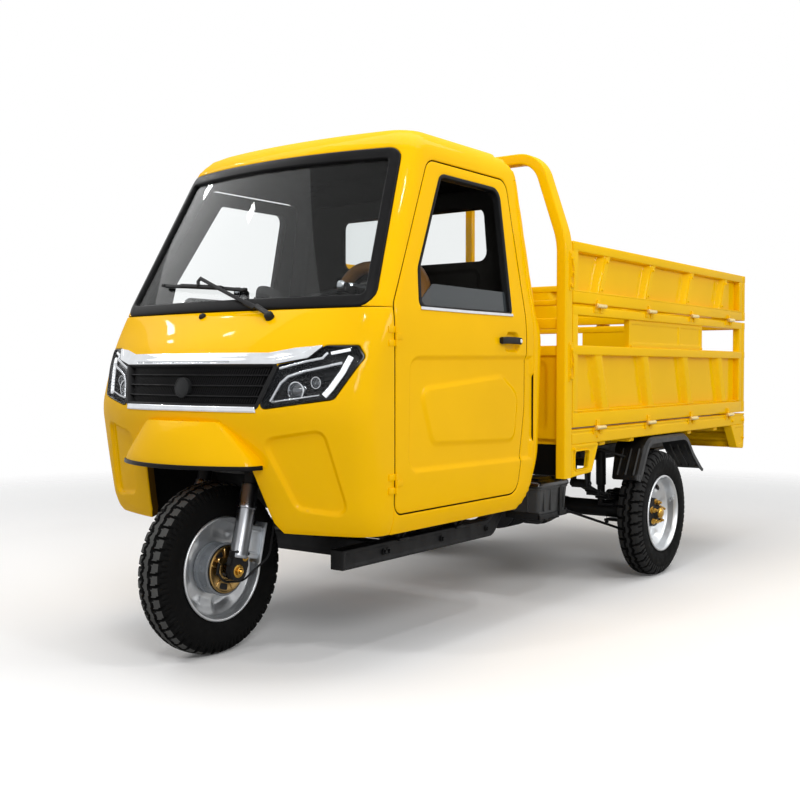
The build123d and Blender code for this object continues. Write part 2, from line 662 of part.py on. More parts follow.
def tyre():
    """Closed ring with bulging walls and a flat crown; the tread blocks are cut elsewhere."""
    bead = BARREL_RADIUS + BEAD_CLEARANCE
    foot = RIM_WIDTH / 2 - FLANGE_WIDTH - BEAD_CLEARANCE
    wall = TYRE_WIDTH / 2
    side = BARREL_RADIUS + FLANGE_HEIGHT + 6
    crown = TYRE_RADIUS
    return turned([
        (-foot, bead), (foot, bead), (foot, side - 2), (wall - 4, side + 2), (wall, (side + crown) / 2),
        (wall - 4, crown - 26), (wall - 14, crown - 8), (wall - 30, crown - 1.5), (0, crown),
        (-wall + 30, crown - 1.5), (-wall + 14, crown - 8), (-wall + 4, crown - 26),
        (-wall, (side + crown) / 2), (-wall + 4, side + 2), (-foot, side - 2)])


def front_rim():
    drum = rod((0, 0, 0), (DRUM_FACE, 0, 0), DRUM_RADIUS) - rod((8, 0, 0), (DRUM_FACE, 0, 0), DRUM_RADIUS - 6)
    hub = rod((-FRONT_HUB_HALF, 0, 0), (FRONT_HUB_HALF, 0, 0), FRONT_HUB_RADIUS)
    body = rim(-4, -20, 12, FRONT_AXLE_RADIUS + SHAFT_CLEARANCE) + drum + hub
    return Pos(0, 0, HUB_HEIGHT) * (body - rod((-100, 0, 0), (100, 0, 0), FRONT_AXLE_RADIUS + SHAFT_CLEARANCE))


def rear_rim():
    """Left rear wheel; its disc sits towards the outside."""
    body = rim(REAR_DISC_X, -8, REAR_HUB_OUT, SHAFT_RADIUS + SHAFT_CLEARANCE)
    return Pos(REAR_WHEEL_X, WHEELBASE, HUB_HEIGHT) * body


# ---------------------------------------------------------------- chassis
def chassis_frame():
    rail = slab_x([(RAIL_FRONT, RAIL_BOTTOM), (KICK_START, RAIL_BOTTOM), (KICK_END, UPPER_RAIL_BOTTOM),
                   (RAIL_END, UPPER_RAIL_BOTTOM), (RAIL_END, UPPER_RAIL_BOTTOM + RAIL_HEIGHT),
                   (KICK_END - 30, UPPER_RAIL_BOTTOM + RAIL_HEIGHT), (KICK_START - 30, RAIL_BOTTOM + RAIL_HEIGHT),
                   (RAIL_FRONT, RAIL_BOTTOM + RAIL_HEIGHT)],
                  RAIL_X - RAIL_WIDTH / 2, RAIL_X + RAIL_WIDTH / 2)
    frame = rail + mirrored(rail)
    reach = RAIL_X
    rail_top = RAIL_BOTTOM + RAIL_HEIGHT
    frame += span(-reach, reach, *FRONT_CROSS, RAIL_BOTTOM, rail_top)
    for y in LOWER_CROSS:
        frame += span(-reach, reach, y, y + 40, RAIL_BOTTOM + 8, rail_top - 8)
    for y in UPPER_CROSS:
        frame += span(-reach, reach, y, y + 40, UPPER_RAIL_BOTTOM + 8, UPPER_RAIL_BOTTOM + RAIL_HEIGHT - 8)
    for y in CAB_MOUNTS:
        frame += span(-CAB_SILL_HALF, CAB_SILL_HALF, y, y + 40, FLOOR_TOP - FLOOR_THICK - 30, FLOOR_TOP - FLOOR_THICK)
        post = span(RAIL_X - 20, RAIL_X + 20, y, y + 40, rail_top - 5, FLOOR_TOP - FLOOR_THICK - 10)
        frame += post + mirrored(post)
    for start, end in SPRING_EYES:
        hanger = span(RAIL_X, SPRING_X + 30, start, end, SPRING_EYE_Z + SPRING_EYE, UPPER_RAIL_BOTTOM + 30)
        frame += hanger + mirrored(hanger)
    return frame


def steering_head():
    """Head tube for the fork's stem, on a boxed neck that stands on the front cross member."""
    neck = slab_x(NECK, -NECK_HALF, NECK_HALF)
    head = Pos(0, STEM_OFFSET, HEAD_START + HEAD_LENGTH / 2)
    neck -= raked(head * Cylinder(HEAD_RADIUS, HEAD_LENGTH + 200))
    neck += raked(head * Cylinder(HEAD_RADIUS, HEAD_LENGTH))
    neck -= raked(head * Cylinder(STEM_RADIUS + SHAFT_CLEARANCE, HEAD_LENGTH + 300))
    return neck - span(-RAIL_X, RAIL_X, *FRONT_CROSS, RAIL_BOTTOM, RAIL_BOTTOM + RAIL_HEIGHT)


def rear_axle():
    tube = rod((-AXLE_HALF, 0, 0), (AXLE_HALF, 0, 0), AXLE_TUBE_RADIUS)
    shafts = rod((-STUB_END, 0, 0), (STUB_END, 0, 0), SHAFT_RADIUS)
    drum = rod((AXLE_HALF - 40, 0, 0), (AXLE_HALF, 0, 0), 100)
    housing = Pos(0, 0, 0) * Sphere(DIFF_RADIUS)
    housing += rod((0, 0, 0), (0, -150, 0), 66)
    motor = rod((0, -150, 0), (0, -150 - MOTOR_LENGTH, 0), MOTOR_RADIUS)
    axle = tube + shafts + drum + mirrored(drum) + housing + motor
    for side in (-1, 1):
        axle += span(side * SPRING_X - 34, side * SPRING_X + 34, -50, 50, AXLE_TUBE_RADIUS - 14, SPRING_SEAT)
    return Pos(0, WHEELBASE, HUB_HEIGHT) * axle


def leaf_springs():
    """Two packs of three leaves, arched between their eyes."""
    low = HUB_HEIGHT + SPRING_SEAT
    front, back = SPRING_EYES[0][0] + 30, SPRING_EYES[1][1] - 30
    pack = None
    for number in range(3):
        z = low + number * SPRING_LEAF
        rise = SPRING_EYE_Z - z
        reach = (back - front) / 2 * (0.45 + 0.275 * number)
        lift = rise * (reach * 2 / (back - front)) ** 2
        arc = ThreePointArc((WHEELBASE - reach, z + lift), (WHEELBASE, z), (WHEELBASE + reach, z + lift))
        over = ThreePointArc((WHEELBASE + reach, z + lift + SPRING_LEAF), (WHEELBASE, z + SPRING_LEAF),
                             (WHEELBASE - reach, z + lift + SPRING_LEAF))
        ends = [Line(arc @ 1, over @ 0), Line(over @ 1, arc @ 0)]
        leaf = extrude(Plane.YZ.offset(SPRING_X - SPRING_WIDTH / 2) * make_face(arc + over + ends), SPRING_WIDTH)
        pack = leaf if pack is None else pack + leaf
    for y in (front, back):
        pack += rod((SPRING_X - SPRING_WIDTH / 2, y, SPRING_EYE_Z), (SPRING_X + SPRING_WIDTH / 2, y, SPRING_EYE_Z),
                    SPRING_EYE)
    return Compound(children=[*pack.solids(), *mirrored(pack).solids()])


def battery_box():
    box = span(*BATTERY)
    box = fillet(box.edges().filter_by(Axis.Y), 10)
    return Compound(children=[*box.solids(), *mirrored(box).solids()])


def rear_mudguards():
    outer = slab_x(GUARD_LINE + [(y, z - GUARD_WALL) for y, z in reversed(GUARD_LINE)], *GUARD_X)
    flange = span(GUARD_X[1] - 50, GUARD_X[1] - 44, GUARD_LINE[1][0] + 20, GUARD_LINE[2][0] - 20,
                  GUARD_LINE[1][1] - 2, BED_RAIL_BOTTOM)
    guard = outer + flange
    return Compound(children=[*guard.solids(), *mirrored(guard).solids()])


# ---------------------------------------------------------------- load bed
def barrel(x, y, z, length, bore=0.0):
    """One hinge knuckle along Y, bored for the pin if asked."""
    knuckle = rod((x, y, z), (x, y + length, z), HINGE_RADIUS)
    return knuckle - rod((x, y - 1, z), (x, y + length + 1, z), bore) if bore else knuckle


def hinge_outer(y, z, leaf_from):
    """Fixed half of a board hinge: pin and two end knuckles, on a leaf that runs down from it."""
    x = HINGE_OUT
    half = barrel(x, y - 1.5 * KNUCKLE, z, KNUCKLE - HINGE_CLEARANCE)
    half += barrel(x, y + KNUCKLE / 2 + HINGE_CLEARANCE, z, KNUCKLE - HINGE_CLEARANCE)
    half += rod((x, y - 1.5 * KNUCKLE, z), (x, y + 1.5 * KNUCKLE, z), HINGE_PIN_RADIUS)
    for start in (y - 1.5 * KNUCKLE, y + KNUCKLE / 2 + HINGE_CLEARANCE):
        half += span(-2, HINGE_OUT, start, start + KNUCKLE - HINGE_CLEARANCE, z - HINGE_RADIUS, z - 2)
        half += span(-2, 5, start, start + KNUCKLE - HINGE_CLEARANCE, leaf_from, z - 2)
    return half


def hinge_inner(y, z, leaf_to):
    """Moving half of a board hinge: the middle knuckle on a leaf that runs up from it."""
    x = HINGE_OUT
    start, length = y - KNUCKLE / 2, KNUCKLE
    half = barrel(x, start, z, length)
    half += span(-2, HINGE_OUT, start, start + length, z + 2, z + HINGE_RADIUS)
    half += span(-2, 5, start, start + length, z + 2, leaf_to)
    return half - rod((x, start - 1, z), (x, start + length + 1, z), HINGE_PIN_RADIUS + HINGE_CLEARANCE)


def hinge_places(length):
    """Four hinges, evenly spaced along a board whose middle is at y = 0."""
    return [length * share for share in HINGE_SHARES]


def ribbed_panel(length, bottom, top, rails, rib_count, rib_slant):
    """Pressed board in a frame: sheet, rails given by (low, high), end stiles and slanted ribs.

    Its outer face is at x = 0, its inner face at x = -BOARD_THICK.
    """
    half = length / 2
    panel = span(-BOARD_THICK, -BOARD_THICK + SHEET, -half, half, bottom, top)
    for low, high in rails:
        panel += span(-BOARD_THICK, 0, -half, half, low, high)
    for start in (-half, half - STILE):
        panel += span(-BOARD_THICK, 0, start, start + STILE, bottom, top)
    pitch = (length - 2 * STILE) / rib_count
    for number in range(rib_count):
        middle = -half + STILE + pitch * (number + 0.5)
        points = [(middle - rib_slant / 2 - RIB / 2, top), (middle - rib_slant / 2 + RIB / 2, top),
                  (middle + rib_slant / 2 + RIB / 2, bottom), (middle + rib_slant / 2 - RIB / 2, bottom)]
        face = Plane.YZ.offset(-BOARD_THICK + SHEET / 2) * make_face(Polyline(*points, close=True))
        rib = extrude(face, BOARD_THICK - SHEET / 2 - RIB_RECESS, taper=RIB_TAPER)
        panel += rib & span(-BOARD_THICK, 0, -half, half, bottom, top)
    return panel


def lower_board(length, ribs):
    """Drop board with the ribbed panel below and an open band with a pressed plate above."""
    half = length / 2
    board = ribbed_panel(length, LOWER_BOARD_BOTTOM, PANEL_TOP,
                         [(LOWER_BOARD_BOTTOM, LOWER_BOARD_BOTTOM + 56), (PANEL_TOP - 36, PANEL_TOP)], ribs, RIB_SLANT)
    board += span(-BOARD_THICK, 0, -half, half, BAND_TOP, LOWER_BOARD_TOP)
    for start, end in ((-half, -half + STILE), (half - STILE, half)):
        board += span(-BOARD_THICK, 0, start, end, PANEL_TOP, BAND_TOP)
    plate = (-half + length * BAND_PLATE[0], -half + length * BAND_PLATE[1])
    board += span(-BOARD_THICK, -8, *plate, PANEL_TOP, BAND_TOP)
    for y in hinge_places(length):
        board += hinge_inner(y, LOWER_HINGE_Z, LOWER_BOARD_BOTTOM + 40)
        board += hinge_outer(y, UPPER_HINGE_Z, LOWER_BOARD_TOP - 34)
    return board


def upper_board(length, ribs):
    board = ribbed_panel(length, UPPER_BOARD_BOTTOM, UPPER_BOARD_TOP,
                         [(UPPER_BOARD_BOTTOM, UPPER_BOARD_BOTTOM + 46), (UPPER_BOARD_TOP - 36, UPPER_BOARD_TOP)],
                         ribs, -RIB_SLANT)
    for y in hinge_places(length):
        board += hinge_inner(y, UPPER_HINGE_Z, UPPER_BOARD_BOTTOM + 34)
    return board


def at_side(board):
    """From a board's own frame to the bed's left side."""
    return Pos(BED_HALF, SIDE_MIDDLE, 0) * board


def at_tail(board):
    """From a board's own frame to the bed's back."""
    return Pos(0, BED_BACK, 0) * Rot(0, 0, 90) * board


def bed_frame():
    rail = span(BED_HALF - BED_RAIL, BED_HALF, BED_FRONT, BED_BACK, BED_RAIL_BOTTOM, BED_RAIL_TOP)
    runner = span(RAIL_X - 25, RAIL_X + 25, BED_FRONT + 20, RAIL_END, UPPER_RAIL_BOTTOM + RAIL_HEIGHT, 602)
    leg = slab_x(REAR_LEG, BED_HALF - BED_RAIL, BED_HALF)
    bracket = slab_x(BRACKET, BED_HALF - 6, BED_HALF) - slab_x(BRACKET_WINDOW, 0, FAR)
    frame = rail + runner + leg + bracket
    for y in HINGES_SIDE:
        frame += Pos(BED_HALF, 0, 0) * hinge_outer(y, LOWER_HINGE_Z, BED_RAIL_BOTTOM + 20)
    frame += mirrored(frame)
    frame += span(-BED_HALF, BED_HALF, BED_FRONT, BED_FRONT + BED_RAIL, BED_RAIL_BOTTOM, BED_RAIL_TOP)
    frame += span(-BED_HALF, BED_HALF, BED_BACK - 80, BED_BACK, BED_RAIL_BOTTOM, BED_RAIL_TOP)
    inner = BED_HALF - BED_RAIL / 2
    for y in BED_CROSS:
        frame += span(-inner, inner, y, y + 50, 600, BED_FLOOR_TOP - BED_FLOOR_THICK)
    frame += span(-BED_HALF + 4, BED_HALF - 4, RAIL_END, RAIL_END + 6, SKIRT_FOOT, BED_RAIL_BOTTOM + 2)
    for y in hinge_places(2 * BED_HALF):
        frame += at_tail(hinge_outer(y, LOWER_HINGE_Z, BED_RAIL_BOTTOM + 20))
    return frame


def bed_floor():
    inner = BED_HALF - BED_RAIL
    return span(-inner, inner, BED_FRONT + BED_RAIL, BED_BACK - 80, BED_FLOOR_TOP - BED_FLOOR_THICK, BED_FLOOR_TOP)


def headboard():
    x = BED_HALF - POST_WIDTH / 2
    route = [(-x, 0, POST_FOOT), (-x, 0, HOOP_BEND), (-HOOP_SHOULDER, 0, HOOP_TOP), (HOOP_SHOULDER, 0, HOOP_TOP),
             (x, 0, HOOP_BEND), (x, 0, POST_FOOT)]
    hoop = tube_path(route, HOOP_RADII, Rectangle(POST_WIDTH, POST_DEPTH))
    inner = BED_HALF - POST_WIDTH / 2
    back = POST_DEPTH / 2
    for low, high in HEAD_RAILS:
        hoop += span(-inner, inner, back - 40, back, low, high)
    hoop += span(-inner, inner, back - 22, back - 18, HEAD_SHEET[0], HEAD_SHEET[1])
    for side in (-1, 1):
        middle = side * HEAD_POST_X
        hoop += span(middle - 20, middle + 20, back - 38, back - 2, HEAD_RAILS[0][0] + 5, HEAD_RAILS[-1][1] - 2)
    for x, out in ((-BED_HALF, -1), (BED_HALF, 1)):
        for low, high in LATCHES:
            ends = sorted((x - 2 * out, x + LATCH_THICK * out))
            hoop += span(*ends, back - LATCH_WIDTH, back - 2, low, high)
            hoop += rod((x, back - LATCH_WIDTH / 2, high - 30), (x + 2 * LATCH_THICK * out, back - LATCH_WIDTH / 2, high - 30), 7)
    return Pos(0, BED_FRONT - back, 0) * hoop


def tail_lamps():
    lamp = span(*TAIL_LAMP)
    lamp = fillet(lamp.edges().filter_by(Axis.Y), 10)
    return Compound(children=[*lamp.solids(), *mirrored(lamp).solids()])


# ---------------------------------------------------------------- the parts, one solid or pair to a file
side_length = BED_BACK - BOARD_THICK - BOARD_GAP - (BED_FRONT + BOARD_GAP)
rear_wheel = Pos(REAR_WHEEL_X, WHEELBASE, HUB_HEIGHT) * tyre()
nodes = {
    "cab_nose": cab_nose(),
    "cab_sides": cab_sides(),
    "cab_roof": cab_roof(),
    "cab_rear_wall": cab_rear_wall(),
    "cab_floor": cab_floor(),
    "wheel_well": wheel_well(),
    "front_mudguard": front_mudguard(),
    "windshield": windshield(),
    "windshield_seal": windshield_seal(),
    "rear_window": rear_window(),
    "grille": grille(),
    "chrome_trim": chrome_trim(),
    "headlamps": headlamps(),
    "headlamp_lenses": headlamp_lenses(),
    "wiper": wiper(),
    "dashboard": dashboard(),
    "seat": seat(),
    "chassis_frame": chassis_frame(),
    "steering_head": steering_head(),
    "rear_axle": rear_axle(),
    "leaf_springs": leaf_springs(),
    "battery_box": battery_box(),
    "rear_mudguards": rear_mudguards(),
    "bed_frame": bed_frame(),
    "bed_floor": bed_floor(),
    "headboard": headboard(),
    "tail_lamps": tail_lamps(),
    "fork": fork(),
    "handlebar": handlebar(),
    "front_rim": front_rim(),
    "front_tyre": Pos(0, 0, HUB_HEIGHT) * tyre(),
    "rear_rim_left": rear_rim(),
    "rear_tyre_left": rear_wheel,
    "rear_rim_right": mirrored(rear_rim()),
    "rear_tyre_right": mirrored(rear_wheel),
    "door_left": door_panel(),
    "door_glass_left": door_glass(),
    "door_handle_left": door_handle(),
    "lower_board_left": at_side(lower_board(side_length, RIBS)),
    "upper_board_left": at_side(upper_board(side_length, RIBS)),
    "lower_tailgate": at_tail(lower_board(2 * BED_HALF, TAIL_RIBS)),
    "upper_tailgate": at_tail(upper_board(2 * BED_HALF, TAIL_RIBS)),
}
for name in [name for name in nodes if name.endswith("_left")]:
    twin = name.replace("_left", "_right")
    if twin not in nodes:
        nodes[twin] = mirrored(nodes[name])

os.makedirs("parts", exist_ok=True)
for name, shape in nodes.items():
    export_step(Pos(0, -ORIGIN_Y, 0) * shape, f"parts/{name}.step")
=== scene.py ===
"""Looks of the electric cargo tricycle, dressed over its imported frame.

Shapes are worked out in the vehicle's drawing frame: millimetres, front axle at y = 0, the
front towards -Y, the floor at z = 0.  to_frame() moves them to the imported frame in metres.
"""
from __future__ import annotations

import json
import logging
import math
from dataclasses import dataclass, field
from enum import Enum
from typing import Callable, Iterable, Sequence

import bmesh
import bpy
import numpy as np
from mathutils import Matrix, Vector
from mathutils.geometry import delaunay_2d_cdt

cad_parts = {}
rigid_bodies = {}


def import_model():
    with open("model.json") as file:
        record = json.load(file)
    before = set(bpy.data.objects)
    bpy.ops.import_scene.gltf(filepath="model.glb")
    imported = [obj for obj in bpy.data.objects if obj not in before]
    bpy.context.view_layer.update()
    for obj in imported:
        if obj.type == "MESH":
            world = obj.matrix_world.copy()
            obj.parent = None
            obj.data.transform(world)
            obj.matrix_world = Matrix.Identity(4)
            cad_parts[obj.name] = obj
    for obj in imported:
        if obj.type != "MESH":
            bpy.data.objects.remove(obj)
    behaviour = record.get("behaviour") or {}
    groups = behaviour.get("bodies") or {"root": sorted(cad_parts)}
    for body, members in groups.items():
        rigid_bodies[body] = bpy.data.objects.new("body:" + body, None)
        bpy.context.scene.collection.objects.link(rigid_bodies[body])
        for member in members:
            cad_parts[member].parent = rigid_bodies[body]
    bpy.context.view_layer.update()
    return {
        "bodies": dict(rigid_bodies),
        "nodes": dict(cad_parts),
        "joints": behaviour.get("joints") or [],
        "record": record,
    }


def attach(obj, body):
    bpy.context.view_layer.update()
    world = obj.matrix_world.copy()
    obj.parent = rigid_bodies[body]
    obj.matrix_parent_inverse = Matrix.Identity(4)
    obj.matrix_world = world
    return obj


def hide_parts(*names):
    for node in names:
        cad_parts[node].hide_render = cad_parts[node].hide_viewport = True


Array = np.ndarray
Mesh = tuple[Array, list]
LOG = logging.getLogger("cargo_tricycle")
ORIGIN_Y = 1448.75
TAU = 2 * math.pi
METRE = 1000.0


# ---------------------------------------------------------------- arrays and meshes
def to_frame(points: Array) -> Array:
    """Drawing millimetres to frame metres: y loses the origin's place, then all is divided by 1000."""
    return (np.asarray(points, float) - (0.0, ORIGIN_Y, 0.0)) / METRE


def grid_faces(rows: int, columns: int, wrap_rows: bool = False, wrap_columns: bool = False) -> list:
    """Quads of a grid of points stored row by row.

    Args:
        rows: number of rows of points.
        columns: number of points in a row.
        wrap_rows: join the last row to the first.
        wrap_columns: join the last column to the first.

    Returns:
        Faces as lists of four point numbers.
    """
    row, column = np.meshgrid(np.arange(rows if wrap_rows else rows - 1),
                              np.arange(columns if wrap_columns else columns - 1), indexing="ij")
    below, right = (row + 1) % rows, (column + 1) % columns
    quads = np.stack([row * columns + column, row * columns + right, below * columns + right,
                      below * columns + column], -1)
    return quads.reshape(-1, 4).tolist()


def joined(parts: Iterable[Mesh]) -> Mesh:
    """Several meshes as one: each one's point numbers are raised by the points before it.

    Args:
        parts: the meshes.

    Returns:
        One mesh.
    """
    points, faces, start = [], [], 0
    for part_points, part_faces in parts:
        points.append(np.asarray(part_points, float).reshape(-1, 3))
        faces.extend([[index + start for index in face] for face in part_faces])
        start += len(points[-1])
    return np.concatenate(points), faces


def mirrored(mesh: Mesh) -> Mesh:
    """Copy across the centre plane: x changes sign and every face turns round."""
    points, faces = mesh
    return np.asarray(points) * (-1.0, 1.0, 1.0), [face[::-1] for face in faces]


def both_sides(mesh: Mesh) -> Mesh:
    """A mesh and its mirror image in one."""
    return joined([mesh, mirrored(mesh)])


def unit(vectors: Array) -> Array:
    """Vectors divided by their own length."""
    return vectors / np.maximum(np.linalg.norm(vectors, axis=-1, keepdims=True), 1e-12)


def rounded(corners: Sequence[tuple[float, float]], radius: float | Sequence[float], steps: int = 5) -> Array:
    """Closed outline with rounded corners.

    At each corner a circle of the given radius touches both sides; the corner is replaced by the
    arc between the two touching points.

    Args:
        corners: (u, v) corners in order.
        radius: one radius, or one for each corner.
        steps: pieces of each arc.

    Returns:
        Points of the outline.
    """
    points = np.asarray(corners, float)
    radii = np.broadcast_to(np.asarray(radius, float), (len(points),))
    before, after = unit(np.roll(points, 1, 0) - points), unit(np.roll(points, -1, 0) - points)
    half = np.arccos(np.clip((before * after).sum(1), -0.9999, 0.9999)) / 2
    reach = radii / np.tan(half)
    centre = points + unit(before + after) * (radii / np.sin(half))[:, None]
    share = np.linspace(0, 1, steps + 1)[None, :, None]
    start, end = points + before * reach[:, None], points + after * reach[:, None]
    chord = start[:, None] * (1 - share) + end[:, None] * share - centre[:, None]
    swept = (math.pi - 2 * half)[:, None, None]
    weights = (np.sin((1 - share) * swept), np.sin(share * swept))
    arc = (weights[0] * (start - centre)[:, None] + weights[1] * (end - centre)[:, None]) / np.sin(swept)
    arc = np.where(np.abs(swept) < 1e-3, chord, arc)
    return (centre[:, None] + arc).reshape(-1, 2)


def resampled(loop: Array, pitch: float, closed: bool = True) -> Array:
    """Line with points added so that none is further than pitch from the next.

    Args:
        loop: the line's points.
        pitch: longest step in millimetres.
        closed: whether the last point joins the first.

    Returns:
        The finer line.
    """
    ends = np.roll(loop, -1, 0) if closed else loop[1:]
    starts = loop if closed else loop[:-1]
    counts = np.maximum(np.ceil(np.linalg.norm(ends - starts, axis=1) / pitch).astype(int), 1)
    which = np.repeat(np.arange(len(starts)), counts)
    share = np.concatenate([np.arange(count) / count for count in counts])[:, None]
    line = starts[which] * (1 - share) + ends[which] * share
    return line if closed else np.vstack([line, loop[-1:]])


def loop_distance(points: Array, loop: Array) -> Array:
    """Distance of points from the nearest side of a closed loop.

    Args:
        points: (u, v) points.
        loop: the closed loop.

    Returns:
        One distance for each point.
    """
    start, along = loop[None], (np.roll(loop, -1, 0) - loop)[None]
    offset = points[:, None] - start
    share = np.clip((offset * along).sum(-1) / np.maximum((along ** 2).sum(-1), 1e-9), 0, 1)
    return np.linalg.norm(offset - along * share[..., None], axis=-1).min(1)


def inside(points: Array, loop: Array) -> Array:
    """Which points a closed loop encloses: a ray along +u crosses it an odd number of times.

    Args:
        points: (u, v) points.
        loop: the closed loop.

    Returns:
        True for each enclosed point.
    """
    start, end = loop[None], np.roll(loop, -1, 0)[None]
    u, v = points[:, None, 0], points[:, None, 1]
    spans = (start[..., 1] > v) != (end[..., 1] > v)
    rise = np.where(np.abs(end[..., 1] - start[..., 1]) < 1e-12, 1e-12, end[..., 1] - start[..., 1])
    crossing = start[..., 0] + (v - start[..., 1]) * (end[..., 0] - start[..., 0]) / rise
    return ((spans & (u < crossing)).sum(1) % 2).astype(bool)


def grown(loop: Array, distance: float) -> Array:
    """Loop moved outward by a distance (inward if negative), each corner along its bisector.

    Args:
        loop: the closed loop.
        distance: how far, in millimetres.

    Returns:
        The moved loop.
    """
    area = (loop[:, 0] * np.roll(loop[:, 1], -1) - np.roll(loop[:, 0], -1) * loop[:, 1]).sum()
    along = unit(np.roll(loop, -1, 0) - loop)
    normal = np.stack([along[:, 1], -along[:, 0]], 1) * math.copysign(1.0, area)
    before = np.roll(normal, 1, 0)
    bisector = unit(normal + before)
    stretch = np.maximum((bisector * normal).sum(1, keepdims=True), 0.4)
    return loop + bisector * distance / stretch


@dataclass(frozen=True)
class Press:
    """A pressing in sheet: outline, depth of its floor (negative stands proud) and width of its wall."""

    loop: Array
    depth: float
    slope: float

    def depth_at(self, points: Array) -> Array:
        """Depth at points: 3t^2 - 2t^3 of t, which runs from 0 to 1 across the sloping wall.

        Args:
            points: (u, v) points.

        Returns:
            One depth for each point.
        """
        away = loop_distance(points, self.loop)
        signed = np.where(inside(points, self.loop), -away, away)
        t = np.clip(0.5 - signed / self.slope, 0, 1)
        return self.depth * (3 * t ** 2 - 2 * t ** 3)

    def rings(self) -> list[Array]:
        """Lines of points beside and across the sloping wall."""
        return [grown(self.loop, self.slope * share) for share in (-0.62, -0.45, -0.22, 0, 0.22, 0.45, 0.62)]


@dataclass
class Sheet:
    """Pressed sheet inside an outline, laid on a surface by place(u, v, depth)."""

    outline: Array
    place: Callable[[Array, Array, Array], Array]
    thickness: float
    holes: list[Array] = field(default_factory=list)
    presses: list[Press] = field(default_factory=list)
    lines: list[Array] = field(default_factory=list)
    pitch: float = 20.0
    roll: float = 3.0
    rolled: list[Array] | None = None
    inner_faces: Array | None = field(default=None, init=False)

    def sheet_points(self) -> tuple[Array, list]:
        """Points of the flat pattern and the edges of its borders: borders, rings beside them,
        rings along each pressing, and a square grid where none of these is near.

        Returns:
            The points, and the borders' edges as pairs of point numbers.
        """
        borders = [resampled(loop, self.pitch * 0.7) for loop in [self.outline, *self.holes]]
        edges, start = [], 0
        for border in borders:
            count = len(border)
            edges.extend((start + n, start + (n + 1) % count) for n in range(count))
            start += count
        rings = []
        if self.roll:
            signs = [-1] + [1] * len(self.holes)
            for border, sign in zip(borders, signs):
                rings += [grown(border, sign * self.roll * share) for share in (0.18, 0.5, 1.0)]
        walls = [resampled(ring, self.pitch * 0.8) for press in self.presses for ring in press.rings()]
        walls += [resampled(line, self.pitch * 0.8, closed=False) for line in self.lines]
        low, high = self.outline.min(0), self.outline.max(0)
        counts = np.maximum(((high - low) / self.pitch).astype(int), 2)
        grid = np.stack(np.meshgrid(*(np.linspace(a, b, n + 1) for a, b, n in zip(low, high, counts)),
                                    indexing="ij"), -1).reshape(-1, 2)
        for press in self.presses:
            grid = grid[loop_distance(grid, press.loop) > press.slope * 0.62 + self.pitch * 0.3]
        for line in self.lines:
            grid = grid[loop_distance(grid, np.vstack([line, line[::-1]])) > self.pitch * 0.35]
        clear = self.roll + self.pitch * 0.25
        loose = np.concatenate([grid, *walls]) if walls else grid
        loose = loose[self.kept(loose, clear)]
        rings = [ring[self.kept(ring, self.roll * 0.1)] for ring in rings]
        return np.concatenate([*borders, *rings, loose]), edges

    def kept(self, points: Array, clear: float) -> Array:
        """Which points lie in the sheet, at least clear away from each border.

        Args:
            points: (u, v) points.
            clear: least distance from a border.

        Returns:
            True for each point kept.
        """
        keep = inside(points, self.outline) & (loop_distance(points, self.outline) >= clear)
        for hole in self.holes:
            keep &= ~inside(points, hole) & (loop_distance(points, hole) >= clear)
        return keep

    def mesh(self) -> Mesh:
        """Both faces of the sheet and its rim.

        The pattern is triangulated, then each point goes to place(u, v, depth).  Depth is the sum
        of the pressings and of a quarter round at the borders, r - sqrt(r^2 - (r - d)^2).

        Returns:
            The sheet's mesh.
        """
        flat, edges = self.sheet_points()
        result = delaunay_2d_cdt([Vector(p) for p in flat.tolist()], edges, [], 0, 1e-4)
        points = np.array([tuple(v) for v in result[0]])
        faces = np.array(result[2])
        middle = points[faces].mean(1)
        keep = inside(middle, self.outline)
        for hole in self.holes:
            keep &= ~inside(middle, hole)
        faces = faces[keep]
        used, faces = np.unique(faces, return_inverse=True)
        faces, points = faces.reshape(-1, 3), points[used]
        a, b, c = (points[faces[:, n]] for n in range(3))
        turned = (b[:, 0] - a[:, 0]) * (c[:, 1] - a[:, 1]) - (b[:, 1] - a[:, 1]) * (c[:, 0] - a[:, 0]) < 0
        faces[turned] = faces[turned][:, ::-1]
        depth = sum((press.depth_at(points) for press in self.presses), np.zeros(len(points)))
        if self.roll:
            borders = [self.outline, *self.holes]
            if self.rolled is not None:
                borders = [np.vstack([line, line[::-1]]) for line in self.rolled] + self.holes
            away = np.min([loop_distance(points, loop) for loop in borders], 0)
            gap = np.clip(self.roll - away, 0, self.roll)
            depth = depth + self.roll - np.sqrt(self.roll ** 2 - gap ** 2)
        outer = self.place(points[:, 0], points[:, 1], depth)
        inner_depth = np.full(len(points), self.thickness) if self.thickness > 12 else depth + self.thickness
        inner = self.place(points[:, 0], points[:, 1], inner_depth)
        half_edges = np.concatenate([faces[:, [0, 1]], faces[:, [1, 2]], faces[:, [2, 0]]])
        known = set(map(tuple, half_edges.tolist()))
        rim = np.array([edge for edge in half_edges.tolist() if (edge[1], edge[0]) not in known])
        count = len(points)
        sides = np.stack([rim[:, 1], rim[:, 0], rim[:, 0] + count, rim[:, 1] + count], 1)
        self.inner_faces = np.repeat([0, 1], [len(faces), len(faces) + len(sides)])
        return np.concatenate([outer, inner]), [*faces.tolist(), *(faces[:, ::-1] + count).tolist(), *sides.tolist()]


